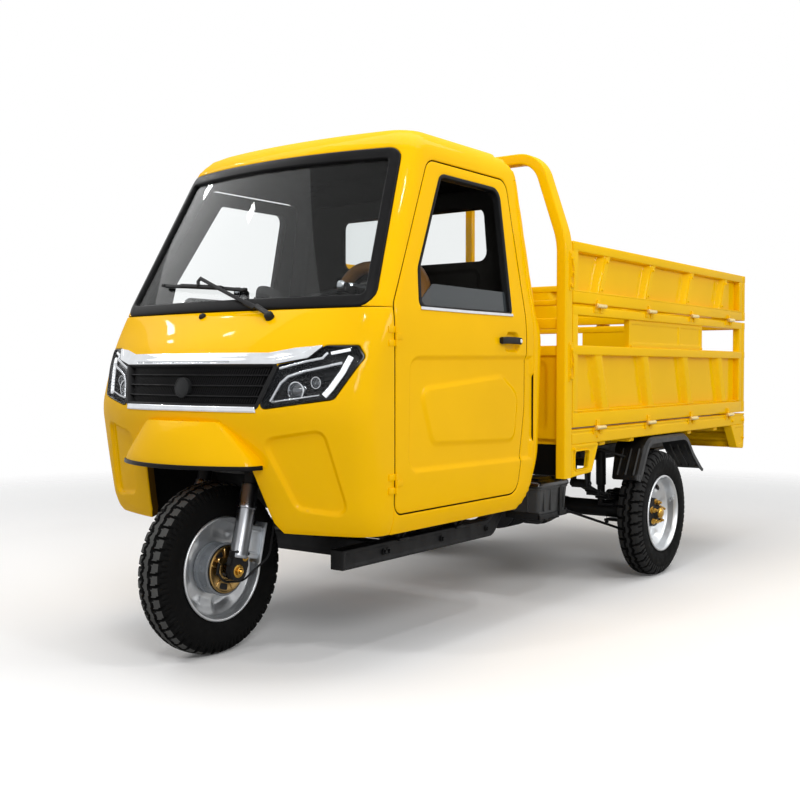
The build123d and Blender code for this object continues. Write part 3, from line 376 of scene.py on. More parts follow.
def carried(path: Array, sides: Array, profile: Array, closed: bool = True) -> Mesh:
    """Profile carried along a path.

    Each section is path + profile_u * side + profile_v * (side x tangent), where the tangent is
    the direction from the point before to the point after.

    Args:
        path: points of the path.
        sides: direction of the profile's u axis at each point.
        profile: closed (u, v) profile.
        closed: the path ends where it starts; an open one gets flat ends.

    Returns:
        Points and faces.
    """
    if closed:
        tangent = unit(np.roll(path, -1, 0) - np.roll(path, 1, 0))
    else:
        tangent = unit(np.gradient(path, axis=0))
    side = unit(sides - tangent * (sides * tangent).sum(1, keepdims=True))
    up = np.cross(side, tangent)
    points = path[:, None] + profile[None, :, :1] * side[:, None] + profile[None, :, 1:] * up[:, None]
    rows, columns = points.shape[:2]
    faces = grid_faces(rows, columns, closed, True)
    if not closed:
        faces += [list(range(columns))[::-1], list(range((rows - 1) * columns, rows * columns))]
    return points.reshape(-1, 3), faces


def circle(radius: float, steps: int = 16) -> Array:
    """Points (r cos t, r sin t) of a circle."""
    t = np.arange(steps) * TAU / steps
    return np.stack([np.cos(t), np.sin(t)], 1) * radius


def tube(path: Sequence[Sequence[float]], radius: float, steps: int = 16, ends: float = 0.25) -> Mesh:
    """Round bar along a line of points, its ends drawn in by a quarter of the radius.

    Args:
        path: points of the middle line.
        radius: radius in millimetres.
        steps: sides round the bar.
        ends: share of the radius by which the ends draw in.

    Returns:
        The bar's mesh.
    """
    line = np.asarray(path, float)
    heads = unit(line[1] - line[0]) * radius * ends, unit(line[-1] - line[-2]) * radius * ends
    line = np.vstack([line[0], line[0] + heads[0], line[1:-1], line[-1] - heads[1], line[-1]])
    overall = unit(line[-1] - line[0])
    guide = np.array([0.0, 0.0, 1.0]) if abs(overall[2]) < 0.8 else np.array([0.0, 1.0, 0.0])
    points, faces = carried(line, np.broadcast_to(guide, line.shape), circle(radius, steps), closed=False)
    grid = points.reshape(len(line), steps, 3)
    grid[0] = line[0] + (grid[0] - line[0]) * (1 - ends)
    grid[-1] = line[-1] + (grid[-1] - line[-1]) * (1 - ends)
    return grid.reshape(-1, 3), faces


def bent(corners: Sequence[Sequence[float]], radius: float, steps: int = 8) -> Array:
    """Line through corners, each one replaced by the curve a(1-t)^2 + 2bt(1-t) + ct^2 near it.

    Args:
        corners: the line's corners.
        radius: length of line that each curve takes up.
        steps: points along each curve.

    Returns:
        The bent line.
    """
    points = np.asarray(corners, float)
    t = np.linspace(0, 1, steps + 1)[:, None]
    line = [points[:1]]
    for before, corner, after in zip(points, points[1:], points[2:]):
        a = corner + unit(before - corner) * radius
        c = corner + unit(after - corner) * radius
        line.append(a * (1 - t) ** 2 + 2 * corner * t * (1 - t) + c * t ** 2)
    return np.vstack([*line, points[-1:]])


def turned(profile: Sequence[tuple[float, float]], centre: Sequence[float], steps: int = 64) -> Mesh:
    """Closed (x, radius) profile turned about an axle along X: y = r cos t, z = r sin t.

    Args:
        profile: (x, radius) points.
        centre: a point on the axle.
        steps: sides round it.

    Returns:
        The turned mesh.
    """
    outline = np.asarray(profile, float)
    t = np.arange(steps) * TAU / steps
    x = np.broadcast_to(outline[None, :, 0], (steps, len(outline)))
    points = np.stack([x, outline[None, :, 1] * np.cos(t)[:, None], outline[None, :, 1] * np.sin(t)[:, None]], -1)
    return points.reshape(-1, 3) + np.asarray(centre), grid_faces(steps, len(outline), True, True)


def block(low: Sequence[float], high: Sequence[float], radius: float = 3.0, steps: int = 2) -> Mesh:
    """Box with rounded edges: a sphere's (cos v cos u, cos v sin u, sin v) r, cut into eight
    octants that are moved apart to the corners of the box less r.

    Args:
        low: one corner.
        high: the opposite corner.
        radius: radius of the edges.
        steps: steps round each edge.

    Returns:
        The box's mesh.
    """
    low, high = np.minimum(low, high), np.maximum(low, high)
    half, middle = (high - low) / 2, (low + high) / 2
    radius = min(radius, float(half.min()) * 0.98)
    arc = np.linspace(0, math.pi / 2, steps + 1)
    u = np.concatenate([arc + n * math.pi / 2 for n in range(4)])
    v = np.concatenate([arc - math.pi / 2, arc])
    sign_x = np.repeat([1, -1, -1, 1], steps + 1)
    sign_y = np.repeat([1, 1, -1, -1], steps + 1)
    sign_z = np.repeat([-1, 1], steps + 1)
    core = half - radius
    x = sign_x * core[0] + radius * np.cos(v)[:, None] * np.cos(u)
    y = sign_y * core[1] + radius * np.cos(v)[:, None] * np.sin(u)
    z = np.broadcast_to((sign_z * core[2] + radius * np.sin(v))[:, None], x.shape)
    points = np.stack([x, y, z], -1).reshape(-1, 3) + middle
    rows, columns = x.shape
    corner = np.arange(4) * (steps + 1)
    caps = [corner[::-1].tolist(), (corner + (rows - 1) * columns).tolist()]
    return points, grid_faces(rows, columns, False, True) + caps


def moved(mesh: Mesh, matrix: Matrix) -> Mesh:
    """Mesh carried by a matrix, as points @ R^T + t."""
    form = np.array(matrix)
    return np.asarray(mesh[0]) @ form[:3, :3].T + form[:3, 3], mesh[1]


def prism(outline: Array, along: str, start: float, end: float) -> Mesh:
    """Closed outline carried straight along one axis; it gives the other two in their order.

    Args:
        outline: closed line in the other two axes.
        along: axis name, x, y or z.
        start: where it starts.
        end: where it ends.

    Returns:
        The prism's mesh.
    """
    axis = "xyz".index(along)
    others = [n for n in range(3) if n != axis]
    points = np.zeros((2, len(outline), 3))
    points[:, :, others] = outline[None]
    points[0, :, axis], points[1, :, axis] = start, end
    count = len(outline)
    faces = grid_faces(2, count, False, True) + [list(range(count))[::-1], list(range(count, 2 * count))]
    return points.reshape(-1, 3), faces


def lofted(rings: Sequence[Array], caps: bool = True, closed: bool = False) -> Mesh:
    """Skin through closed rings of equally many points; its ends are capped, or the last ring
    is joined to the first.

    Args:
        rings: the rings of points.
        caps: whether the ends are filled.
        closed: whether the last ring joins the first.

    Returns:
        The skin's mesh.
    """
    grid = np.asarray(rings, float)
    rows, columns = grid.shape[:2]
    faces = grid_faces(rows, columns, closed, True)
    if caps and not closed:
        faces += [list(range(columns))[::-1], list(range((rows - 1) * columns, rows * columns))]
    return grid.reshape(-1, 3), faces


def aimed(mesh: Mesh, at: Sequence[float], direction: Sequence[float]) -> Mesh:
    """Mesh drawn along +X from the origin, moved to a point with its X turned to a direction."""
    turn = Vector(direction).to_track_quat("X", "Z").to_matrix().to_4x4()
    return moved(mesh, Matrix.Translation(Vector(at)) @ turn)


def cap(profile: Sequence[tuple[float, float]], at: Sequence[float], direction: Sequence[float],
        steps: int = 32) -> Mesh:
    """Closed (x, radius) profile turned about X, then aimed along a direction from a point."""
    return aimed(turned(profile, (0, 0, 0), steps), at, direction)


def bolt(at: Sequence[float], direction: Sequence[float], across: float = 13.0, height: float = 7.0) -> Mesh:
    """Hexagon head with a drawn-in top, on a round washer.

    Args:
        at: middle of its seat.
        direction: way that its head points.
        across: width over the flats.
        height: height of the head.

    Returns:
        The bolt's mesh.
    """
    def ring(x: float, radius: float, sides: int) -> Array:
        """Circle of points at a height x."""
        return np.column_stack([np.full(sides, x), circle(radius, sides)])

    head = across / math.sqrt(3)
    washer = lofted([ring(-1, across * 0.85, 20), ring(1.2, across * 0.85, 20), ring(1.8, across * 0.78, 20)])
    hexagon = lofted([ring(0, head, 6), ring(1.8 + height * 0.8, head, 6), ring(1.8 + height, head * 0.84, 6)])
    return aimed(joined([washer, hexagon]), at, direction)


def piece(name: str, mesh: Mesh, finish: "Finish", body: str, replaces: Sequence[str] = (), smooth: float = 40.0,
          bevel: float = 0.0, merge: bool = True, second: tuple["Finish", Array] | None = None) -> bpy.types.Object:
    """Makes one object of the vehicle.

    Args:
        name: the piece's name.
        mesh: points in drawing millimetres, and faces.
        finish: what it is made of.
        body: the body it rides on.
        replaces: frame nodes that it stands for.
        smooth: edges sharper than this many degrees stay sharp.
        bevel: width of rounded edges in millimetres, or 0.
        merge: merge doubled points and turn all faces outward.
        second: another finish, and a 1 for each face that has it or a 0.

    Returns:
        The object.
    """
    points, faces = mesh
    data = bpy.data.meshes.new(name)
    data.from_pydata(to_frame(points).tolist(), [], faces)
    if second is not None:
        data.polygons.foreach_set("material_index", np.asarray(second[1], np.int32))
    if merge:
        work = bmesh.new()
        work.from_mesh(data)
        bmesh.ops.remove_doubles(work, verts=work.verts, dist=2e-6)
        bmesh.ops.dissolve_degenerate(work, edges=work.edges, dist=1e-7)
        bmesh.ops.recalc_face_normals(work, faces=work.faces)
        work.to_mesh(data)
        work.free()
    data.update()
    item = bpy.data.objects.new(name, data)
    bpy.context.scene.collection.objects.link(item)
    if bevel:
        rounding = item.modifiers.new("edges", "BEVEL")
        rounding.width, rounding.segments, rounding.limit_method = bevel / METRE, 1, "ANGLE"
        rounding.angle_limit = math.radians(smooth)
        rounding.use_clamp_overlap = True
        rounding.harden_normals = False
    data.shade_smooth()
    data.set_sharp_from_angle(angle=math.radians(smooth if not bevel else 60.0))
    data.materials.append(finish.material())
    if second is not None:
        data.materials.append(second[0].material())
    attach(item, body)
    if replaces:
        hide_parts(*replaces)
    LOG.info("%s: %d points, %d faces, %s on %s", name, len(data.vertices), len(data.polygons), finish.name, body)
    return item


# ---------------------------------------------------------------- finishes
def linear(red: float, green: float, blue: float) -> tuple[float, float, float, float]:
    """Linear colour of a display colour given from 0 to 255.

    Args:
        red: red.
        green: green.
        blue: blue.

    Returns:
        Red, green, blue and 1, from 0 to 1.
    """
    values = np.array([red, green, blue]) / 255.0
    values = np.where(values <= 0.04045, values / 12.92, ((values + 0.055) / 1.055) ** 2.4)
    return (*values.tolist(), 1.0)


class Graph:
    """A material's nodes, built up around its surface shader."""

    def __init__(self, name: str) -> None:
        """Starts a material with one surface shader and its object coordinates.

        Args:
            name: the material's name.
        """
        self.made = bpy.data.materials.new(name)
        self.made.use_nodes = True
        self.tree = self.made.node_tree
        self.shader = self.tree.nodes["Principled BSDF"]
        self.place = self.tree.nodes.new("ShaderNodeTexCoord").outputs["Object"]

    def node(self, kind: str, **values: object) -> bpy.types.Node:
        """Adds a node; a value names an input socket, or a setting where there is no such input.

        Args:
            kind: type name without its prefix.

        Returns:
            The node.
        """
        new = self.tree.nodes.new("ShaderNode" + kind)
        for key, value in values.items():
            name = key.replace("_", " ")
            if name in new.inputs:
                new.inputs[name].default_value = value
            else:
                setattr(new, key, value)
        return new

    def link(self, output: bpy.types.NodeSocket, target: bpy.types.NodeSocket) -> None:
        """Joins an output to an input."""
        self.tree.links.new(output, target)

    def set(self, **values: object) -> None:
        """Sets the shader's own sockets."""
        for key, value in values.items():
            self.shader.inputs[key.replace("_", " ")].default_value = value

    def noise(self, scale: float, detail: float = 2.0, roughness: float = 0.5,
              stretch: tuple[float, float, float] = (1, 1, 1)) -> bpy.types.NodeSocket:
        """Noise in object coordinates, scale in lumps to the metre.

        Args:
            scale: lumps to the metre.
            detail: octaves.
            roughness: share that each octave keeps.
            stretch: scale along each axis.

        Returns:
            The noise, from 0 to 1.
        """
        turn = self.node("Mapping")
        turn.inputs["Scale"].default_value = stretch
        self.link(self.place, turn.inputs["Vector"])
        made = self.node("TexNoise", Scale=scale, Detail=detail, Roughness=roughness)
        self.link(turn.outputs["Vector"], made.inputs["Vector"])
        return made.outputs["Fac"]

    def between(self, factor: bpy.types.NodeSocket, low: float, high: float, start: float = 0.3,
                end: float = 0.7) -> bpy.types.NodeSocket:
        """Number that goes from low to high as a factor goes from start to end.

        Args:
            factor: input socket.
            low: value at the start.
            high: value at the end.
            start: factor that gives low.
            end: factor that gives high.

        Returns:
            The number.
        """
        made = self.node("MapRange")
        for name, value in (("From Min", start), ("From Max", end), ("To Min", low), ("To Max", high)):
            made.inputs[name].default_value = value
        self.link(factor, made.inputs["Value"])
        return made.outputs["Result"]

    def tint(self, factor: bpy.types.NodeSocket, first: Sequence[float],
             second: Sequence[float]) -> bpy.types.NodeSocket:
        """Colour that goes from first to second with a factor.

        Args:
            factor: input socket.
            first: colour at 0.
            second: colour at 1.

        Returns:
            The colour.
        """
        made = self.node("Mix", data_type="RGBA")
        colours = [socket for socket in made.inputs if socket.type == "RGBA"]
        colours[0].default_value, colours[1].default_value = first, second
        self.link(factor, made.inputs[0])
        return [socket for socket in made.outputs if socket.type == "RGBA"][0]

    def bump(self, height: bpy.types.NodeSocket, strength: float, depth_mm: float,
             under: bpy.types.Node | None = None) -> bpy.types.Node:
        """Bump of a height, given its depth in millimetres; another bump may lie under it.

        Args:
            height: height socket.
            strength: share of the full bump.
            depth_mm: depth in millimetres.
            under: another bump that lies under it, or None.

        Returns:
            The bump node.
        """
        made = self.node("Bump", Strength=strength, Distance=depth_mm / METRE)
        self.link(height, made.inputs["Height"])
        if under is not None:
            self.link(under.outputs["Normal"], made.inputs["Normal"])
        self.link(made.outputs["Normal"], self.shader.inputs["Normal"])
        return made


@dataclass(frozen=True)
class Finish:
    """What a piece is made of; each kind of surface has its own class."""

    name: str
    slot: str
    colour: tuple[float, float, float]

    def material(self) -> bpy.types.Material:
        """The finish's material, made when it is first asked for."""
        found = bpy.data.materials.get(self.name)
        return found or self.build(Graph(self.name))

    def build(self, graph: Graph) -> bpy.types.Material:
        """Sets the shader up; each class does it for its own kind of surface."""
        graph.set(Base_Color=linear(*self.colour))
        return graph.made

    def shade(self, factor: float) -> tuple[float, float, float, float]:
        """The colour made darker or lighter."""
        red, green, blue, alpha = linear(*self.colour)
        return (min(red * factor, 1.0), min(green * factor, 1.0), min(blue * factor, 1.0), alpha)


@dataclass(frozen=True)
class GlossPaint(Finish):
    """Enamel under clear lacquer: slight orange peel and a faint drift of colour."""

    roughness: float = 0.28
    coat: float = 0.17
    peel: float = 0.05

    def build(self, graph: Graph) -> bpy.types.Material:
        """Colour drifts 4% with a slow noise, roughness with a finer one.

        Args:
            graph: the material's nodes.

        Returns:
            The material.
        """
        colour = graph.tint(graph.between(graph.noise(2.2, 3.0), 0, 1), self.shade(0.955), self.shade(1.03))
        graph.link(colour, graph.shader.inputs["Base Color"])
        graph.link(graph.between(graph.noise(14.0, 4.0), self.roughness * 0.85, self.roughness * 1.2),
                   graph.shader.inputs["Roughness"])
        graph.set(Coat_Weight=self.coat, Coat_Roughness=0.035, Coat_IOR=1.5, Specular_IOR_Level=0.0)
        graph.bump(graph.noise(420.0, 1.0), self.peel, 0.25)
        return graph.made


@dataclass(frozen=True)
class SatinPaint(Finish):
    """Chassis paint: satin black with a fine pebbled skin and grey road film on it."""

    roughness: float = 0.42
    film: float = 0.35
    gleam: float = 0.2

    def build(self, graph: Graph) -> bpy.types.Material:
        """A broad noise lays the film, a fine one gives the pebbled skin.

        Args:
            graph: the material's nodes.

        Returns:
            The material.
        """
        film = graph.between(graph.noise(9.0, 6.0, 0.65), 0, self.film, 0.45, 0.75)
        graph.link(graph.tint(film, self.shade(1.0), self.shade(2.6)), graph.shader.inputs["Base Color"])
        graph.link(graph.between(graph.noise(22.0, 4.0), self.roughness * 0.8, self.roughness * 1.35),
                   graph.shader.inputs["Roughness"])
        graph.set(Specular_IOR_Level=self.gleam)
        graph.bump(graph.noise(700.0, 2.0), 0.18, 0.3)
        return graph.made


@dataclass(frozen=True)
class Moulding(Finish):
    """Moulded plastic: leather-like grain of fine cells, paler where it is rubbed."""

    roughness: float = 0.5
    grain: float = 0.3
    cells: float = 900.0
    gleam: float = 0.15

    def build(self, graph: Graph) -> bpy.types.Material:
        """Cells of a Voronoi pattern give the grain, a slow noise the rubbed tone.

        Args:
            graph: the material's nodes.

        Returns:
            The material.
        """
        cells = graph.node("TexVoronoi", Scale=self.cells)
        graph.link(graph.place, cells.inputs["Vector"])
        graph.link(graph.tint(graph.between(graph.noise(5.0, 4.0), 0, 1), self.shade(0.85), self.shade(1.35)),
                   graph.shader.inputs["Base Color"])
        graph.link(graph.between(graph.noise(30.0, 3.0), self.roughness * 0.85, self.roughness * 1.2),
                   graph.shader.inputs["Roughness"])
        graph.set(Specular_IOR_Level=self.gleam)
        graph.bump(cells.outputs["Distance"], self.grain, 0.2)
        return graph.made


@dataclass(frozen=True)
class Rubber(Finish):
    """Black rubber: dull, with a dusty bloom and very fine texture."""

    roughness: float = 0.62
    bloom: float = 0.5

    def build(self, graph: Graph) -> bpy.types.Material:
        """Two noises: a broad one for the bloom, a fine one for the texture.

        Args:
            graph: the material's nodes.

        Returns:
            The material.
        """
        bloom = graph.between(graph.noise(11.0, 6.0, 0.7), 0, self.bloom, 0.4, 0.8)
        graph.link(graph.tint(bloom, self.shade(1.0), self.shade(2.4)), graph.shader.inputs["Base Color"])
        graph.link(graph.between(graph.noise(45.0, 3.0), self.roughness * 0.85, self.roughness * 1.15),
                   graph.shader.inputs["Roughness"])
        graph.set(Specular_IOR_Level=0.07)
        graph.bump(graph.noise(900.0, 2.0), 0.25, 0.2)
        return graph.made


@dataclass(frozen=True)
class Metal(Finish):
    """Bare or plated metal, with faint lengthwise brushing and dulled patches."""

    roughness: float = 0.2
    brushing: float = 0.0
    stretch: tuple[float, float, float] = (1.0, 1.0, 1.0)
    patches: float = 1.3

    def build(self, graph: Graph) -> bpy.types.Material:
        """Roughness drifts with a slow noise; a stretched noise gives the brushing.

        Args:
            graph: the material's nodes.

        Returns:
            The material.
        """
        graph.link(graph.tint(graph.between(graph.noise(18.0, 4.0), 0, 1), self.shade(0.9), self.shade(1.04)),
                   graph.shader.inputs["Base Color"])
        graph.link(graph.between(graph.noise(12.0, 5.0, 0.6), self.roughness * 0.8, self.roughness * self.patches),
                   graph.shader.inputs["Roughness"])
        graph.set(Metallic=1.0)
        if self.brushing:
            graph.bump(graph.noise(300.0, 2.0, stretch=self.stretch), self.brushing, 0.1)
        return graph.made


@dataclass(frozen=True)
class Pane(Finish):
    """Tinted safety glass: a sharp surface, see-through in its own tint, with a faint dust haze."""

    clear: float = 0.8
    roughness: float = 0.02
    gleam: float = 0.6

    def build(self, graph: Graph) -> bpy.types.Material:
        """A thin pane: the shader's alpha lets the far side show through its tint.

        Args:
            graph: the material's nodes.

        Returns:
            The material.
        """
        haze = graph.between(graph.noise(3.0, 4.0), 1 - self.clear, 1 - self.clear + 0.05)
        graph.link(haze, graph.shader.inputs["Alpha"])
        graph.set(Base_Color=linear(*self.colour), Roughness=self.roughness, Specular_IOR_Level=self.gleam)
        graph.made.surface_render_method = "BLENDED"
        return graph.made


@dataclass(frozen=True)
class Lens(Finish):
    """Clear or coloured lens that light passes through."""

    roughness: float = 0.03
    through: float = 1.0
    ribs: float = 0.0

    def build(self, graph: Graph) -> bpy.types.Material:
        """Transmission with a little unevenness; ribs give the fluting of a lamp glass.

        Args:
            graph: the material's nodes.

        Returns:
            The material.
        """
        graph.set(Base_Color=linear(*self.colour), Roughness=self.roughness, Transmission_Weight=self.through,
                  IOR=1.46)
        if self.ribs:
            wave = graph.node("TexWave", Scale=self.ribs, Distortion=0.0)
            graph.link(graph.place, wave.inputs["Vector"])
            graph.bump(wave.outputs["Fac"], 0.3, 0.8)
        return graph.made


@dataclass(frozen=True)
class Screen(Finish):
    """Fixed window glass: light goes straight through it, with a faint greasy film."""

    bend: float = 1.2

    def build(self, graph: Graph) -> bpy.types.Material:
        """Full transmission at a low bending power, so that the pane reflects little.

        Args:
            graph: the material's nodes.

        Returns:
            The material.
        """
        graph.set(Transmission_Weight=1.0, IOR=self.bend, Roughness=0.0)
        graph.link(graph.tint(graph.noise(2.0, 3.0), self.shade(0.96), self.shade(1.0)),
                   graph.shader.inputs["Base Color"])
        return graph.made


@dataclass(frozen=True)
class Glow(Finish):
    """White light guide: milky plastic that looks a little lit from behind."""

    strength: float = 0.6

    def build(self, graph: Graph) -> bpy.types.Material:
        """Pale colour with a low glow, uneven along its length.

        Args:
            graph: the material's nodes.

        Returns:
            The material.
        """
        graph.set(Base_Color=linear(*self.colour), Roughness=0.3, Coat_Weight=0.6,
                  Emission_Color=linear(*self.colour), Emission_Strength=self.strength)
        graph.link(graph.tint(graph.noise(30.0), self.shade(0.9), self.shade(1.0)), graph.shader.inputs["Base Color"])
        return graph.made


@dataclass(frozen=True)
class Hide(Finish):
    """Seat cover: grained leatherette with creases, paler in slow patches."""

    roughness: float = 0.45
    grain: float = 0.5

    def build(self, graph: Graph) -> bpy.types.Material:
        """Small Voronoi cells for the grain under a stretched noise for the creases.

        Args:
            graph: the material's nodes.

        Returns:
            The material.
        """
        cells = graph.node("TexVoronoi", Scale=520.0, feature="DISTANCE_TO_EDGE")
        graph.link(graph.place, cells.inputs["Vector"])
        graph.link(graph.tint(graph.between(graph.noise(8.0, 5.0), 0, 1), self.shade(0.85), self.shade(1.25)),
                   graph.shader.inputs["Base Color"])
        graph.link(graph.between(graph.noise(26.0, 4.0), self.roughness * 0.85, self.roughness * 1.2),
                   graph.shader.inputs["Roughness"])
        graph.set(Sheen_Weight=0.05, Specular_IOR_Level=0.2)
        creases = graph.bump(graph.noise(40.0, 6.0, 0.6, (1, 2.5, 2.5)), 0.18, 1.5)
        graph.bump(cells.outputs["Distance"], self.grain, 0.25, creases)
        return graph.made


YELLOW = GlossPaint("yellow_enamel", "yellow_paint", (250, 192, 0), peel=0.03)
BED_YELLOW = GlossPaint("bed_enamel", "bed_paint", (249, 196, 6), roughness=0.34, peel=0.05)
# Black of the cab's inner faces; the same finish makes the plate of painted shade between the cab and the bed.
LINING_AND_SHADE = Moulding("cab_lining_and_shade", "black_plastic", (16, 16, 15), roughness=0.85, cells=600.0, gleam=0.03)
# Dark brown of the nose's inner faces: the yellow paint with painted shade in it, for the shade inside the arch.
ARCH_PAINTED_SHADE = Moulding("arch_painted_shade", "yellow_paint", (88, 62, 14), roughness=0.8, gleam=0.05)
CHASSIS = SatinPaint("satin_black", "chassis_black", (24, 24, 25))
DARK_GREY = SatinPaint("box_grey", "chassis_black", (52, 53, 56), roughness=0.5, film=0.3)
BLACK_PLASTIC = Moulding("black_moulding", "black_plastic", (26, 26, 27))
WELL_PLASTIC = Moulding("well_liner", "black_plastic", (20, 20, 20), roughness=0.7, cells=500.0)
GLOSS_BLACK = Moulding("lamp_bezel", "lamp_housing", (16, 16, 18), roughness=0.25, grain=0.02, gleam=0.3)
GRILLE_FIN = Moulding("grille_fins", "black_plastic", (20, 20, 21), roughness=0.38, grain=0.1)
GRILLE_DISC = Moulding("grille_disc", "black_plastic", (38, 39, 40), roughness=0.42, grain=0.08)
CASE_GREY = Moulding("case_grey", "chassis_black", (58, 59, 60), roughness=0.4, grain=0.12, gleam=0.3)
LID_BLACK = Moulding("lid_black", "chassis_black", (14, 14, 15), roughness=0.22, grain=0.05, gleam=0.7)
GUARD_BLACK = Moulding("guard_black", "black_plastic", (15, 15, 16), roughness=0.42, grain=0.12, gleam=0.35)
TRIM_GREY = Moulding("trim_grey", "black_plastic", (30, 29, 27), roughness=0.7, cells=600.0, gleam=0.08)
LEVER_ALLOY = Metal("lever_alloy", "chrome", (188, 190, 194), roughness=0.25, brushing=0.1)
AMBER_LENS = Lens("amber_lamp_glass", "red_lens", (232, 128, 14), through=0.5, ribs=90.0)
SEAL = Rubber("gasket_rubber", "seal_rubber", (20, 20, 21), roughness=0.35, bloom=0.2)
TREAD = Rubber("tread_rubber", "tyre", (12, 12, 12), roughness=0.7, bloom=0.12)
# Rear tyres' worn tread faces: the front's dusty rubber made darker, as painted shade for the bed's shadow over them.
SHADED_TREAD_FACE = Rubber("shaded_tread_face", "tyre", (42, 42, 42), roughness=0.7, bloom=0.3)
DUSTY_FACE = Rubber("dusty_face", "tyre", (74, 74, 73), roughness=0.75, bloom=0.3)
CHROME = Metal("chrome_plate", "chrome", (225, 228, 232), roughness=0.07, patches=1.6)
SILVER = Metal("wheel_silver", "rim_silver", (206, 208, 210), roughness=0.42, brushing=0.1, stretch=(6, 1, 1))
BRIGHT_SILVER = Metal("rear_wheel_silver", "rim_silver", (214, 216, 218), roughness=0.34, brushing=0.08)
DRUM_GREY = SatinPaint("drum_grey", "rim_silver", (116, 121, 127), roughness=0.3, film=0.1, gleam=0.5)
GUARD_ALLOY = Metal("guard_alloy", "rim_silver", (196, 200, 204), roughness=0.38, brushing=0.1)
# Pale cream on the hinge barrels is a painted highlight: it stands for the light on their yellow paint.
HINGE_HIGHLIGHT = Metal("hinge_painted_highlight", "bed_paint", (236, 214, 150), roughness=0.35, brushing=0.1)
ZINC = Metal("gold_zinc", "rim_silver", (178, 146, 92), roughness=0.3, brushing=0.15, stretch=(1, 1, 3))
BRASS = Metal("brass_nut", "rim_silver", (196, 154, 72), roughness=0.24)
STEEL = Metal("bolt_steel", "rim_silver", (150, 150, 152), roughness=0.3)
SLEEVE = Metal("sleeve_alloy", "rim_silver", (158, 160, 164), roughness=0.3, brushing=0.12, stretch=(1, 1, 0.2))
TINTED = Screen("screen_glass", "tinted_glass", (240, 243, 243))
DOOR_PANE = Pane("door_glass", "tinted_glass", (62, 68, 71), clear=0.30)
CLEAR = Pane("clear_cover", "clear_lens", (120, 125, 130), clear=0.985)
LAMP_SILVER = Metal("lamp_silver", "lamp_housing", (196, 199, 204), roughness=0.22)
RED_LENS = Lens("red_lamp_glass", "red_lens", (190, 12, 10), through=0.5, ribs=90.0)
PROJECTOR = Lens("projector_glass", "clear_lens", (225, 232, 240), roughness=0.01, through=0.9)
GUIDE = Glow("light_guide", "lamp_housing", (240, 243, 246))
BLACK_HIDE = Hide("seat_hide", "seat_leather", (38, 36, 34))
TAN_HIDE = Hide("seat_roll", "seat_leather", (150, 104, 52), grain=0.35)
PIPING = Hide("seat_piping", "seat_leather", (120, 118, 114), grain=0.15)


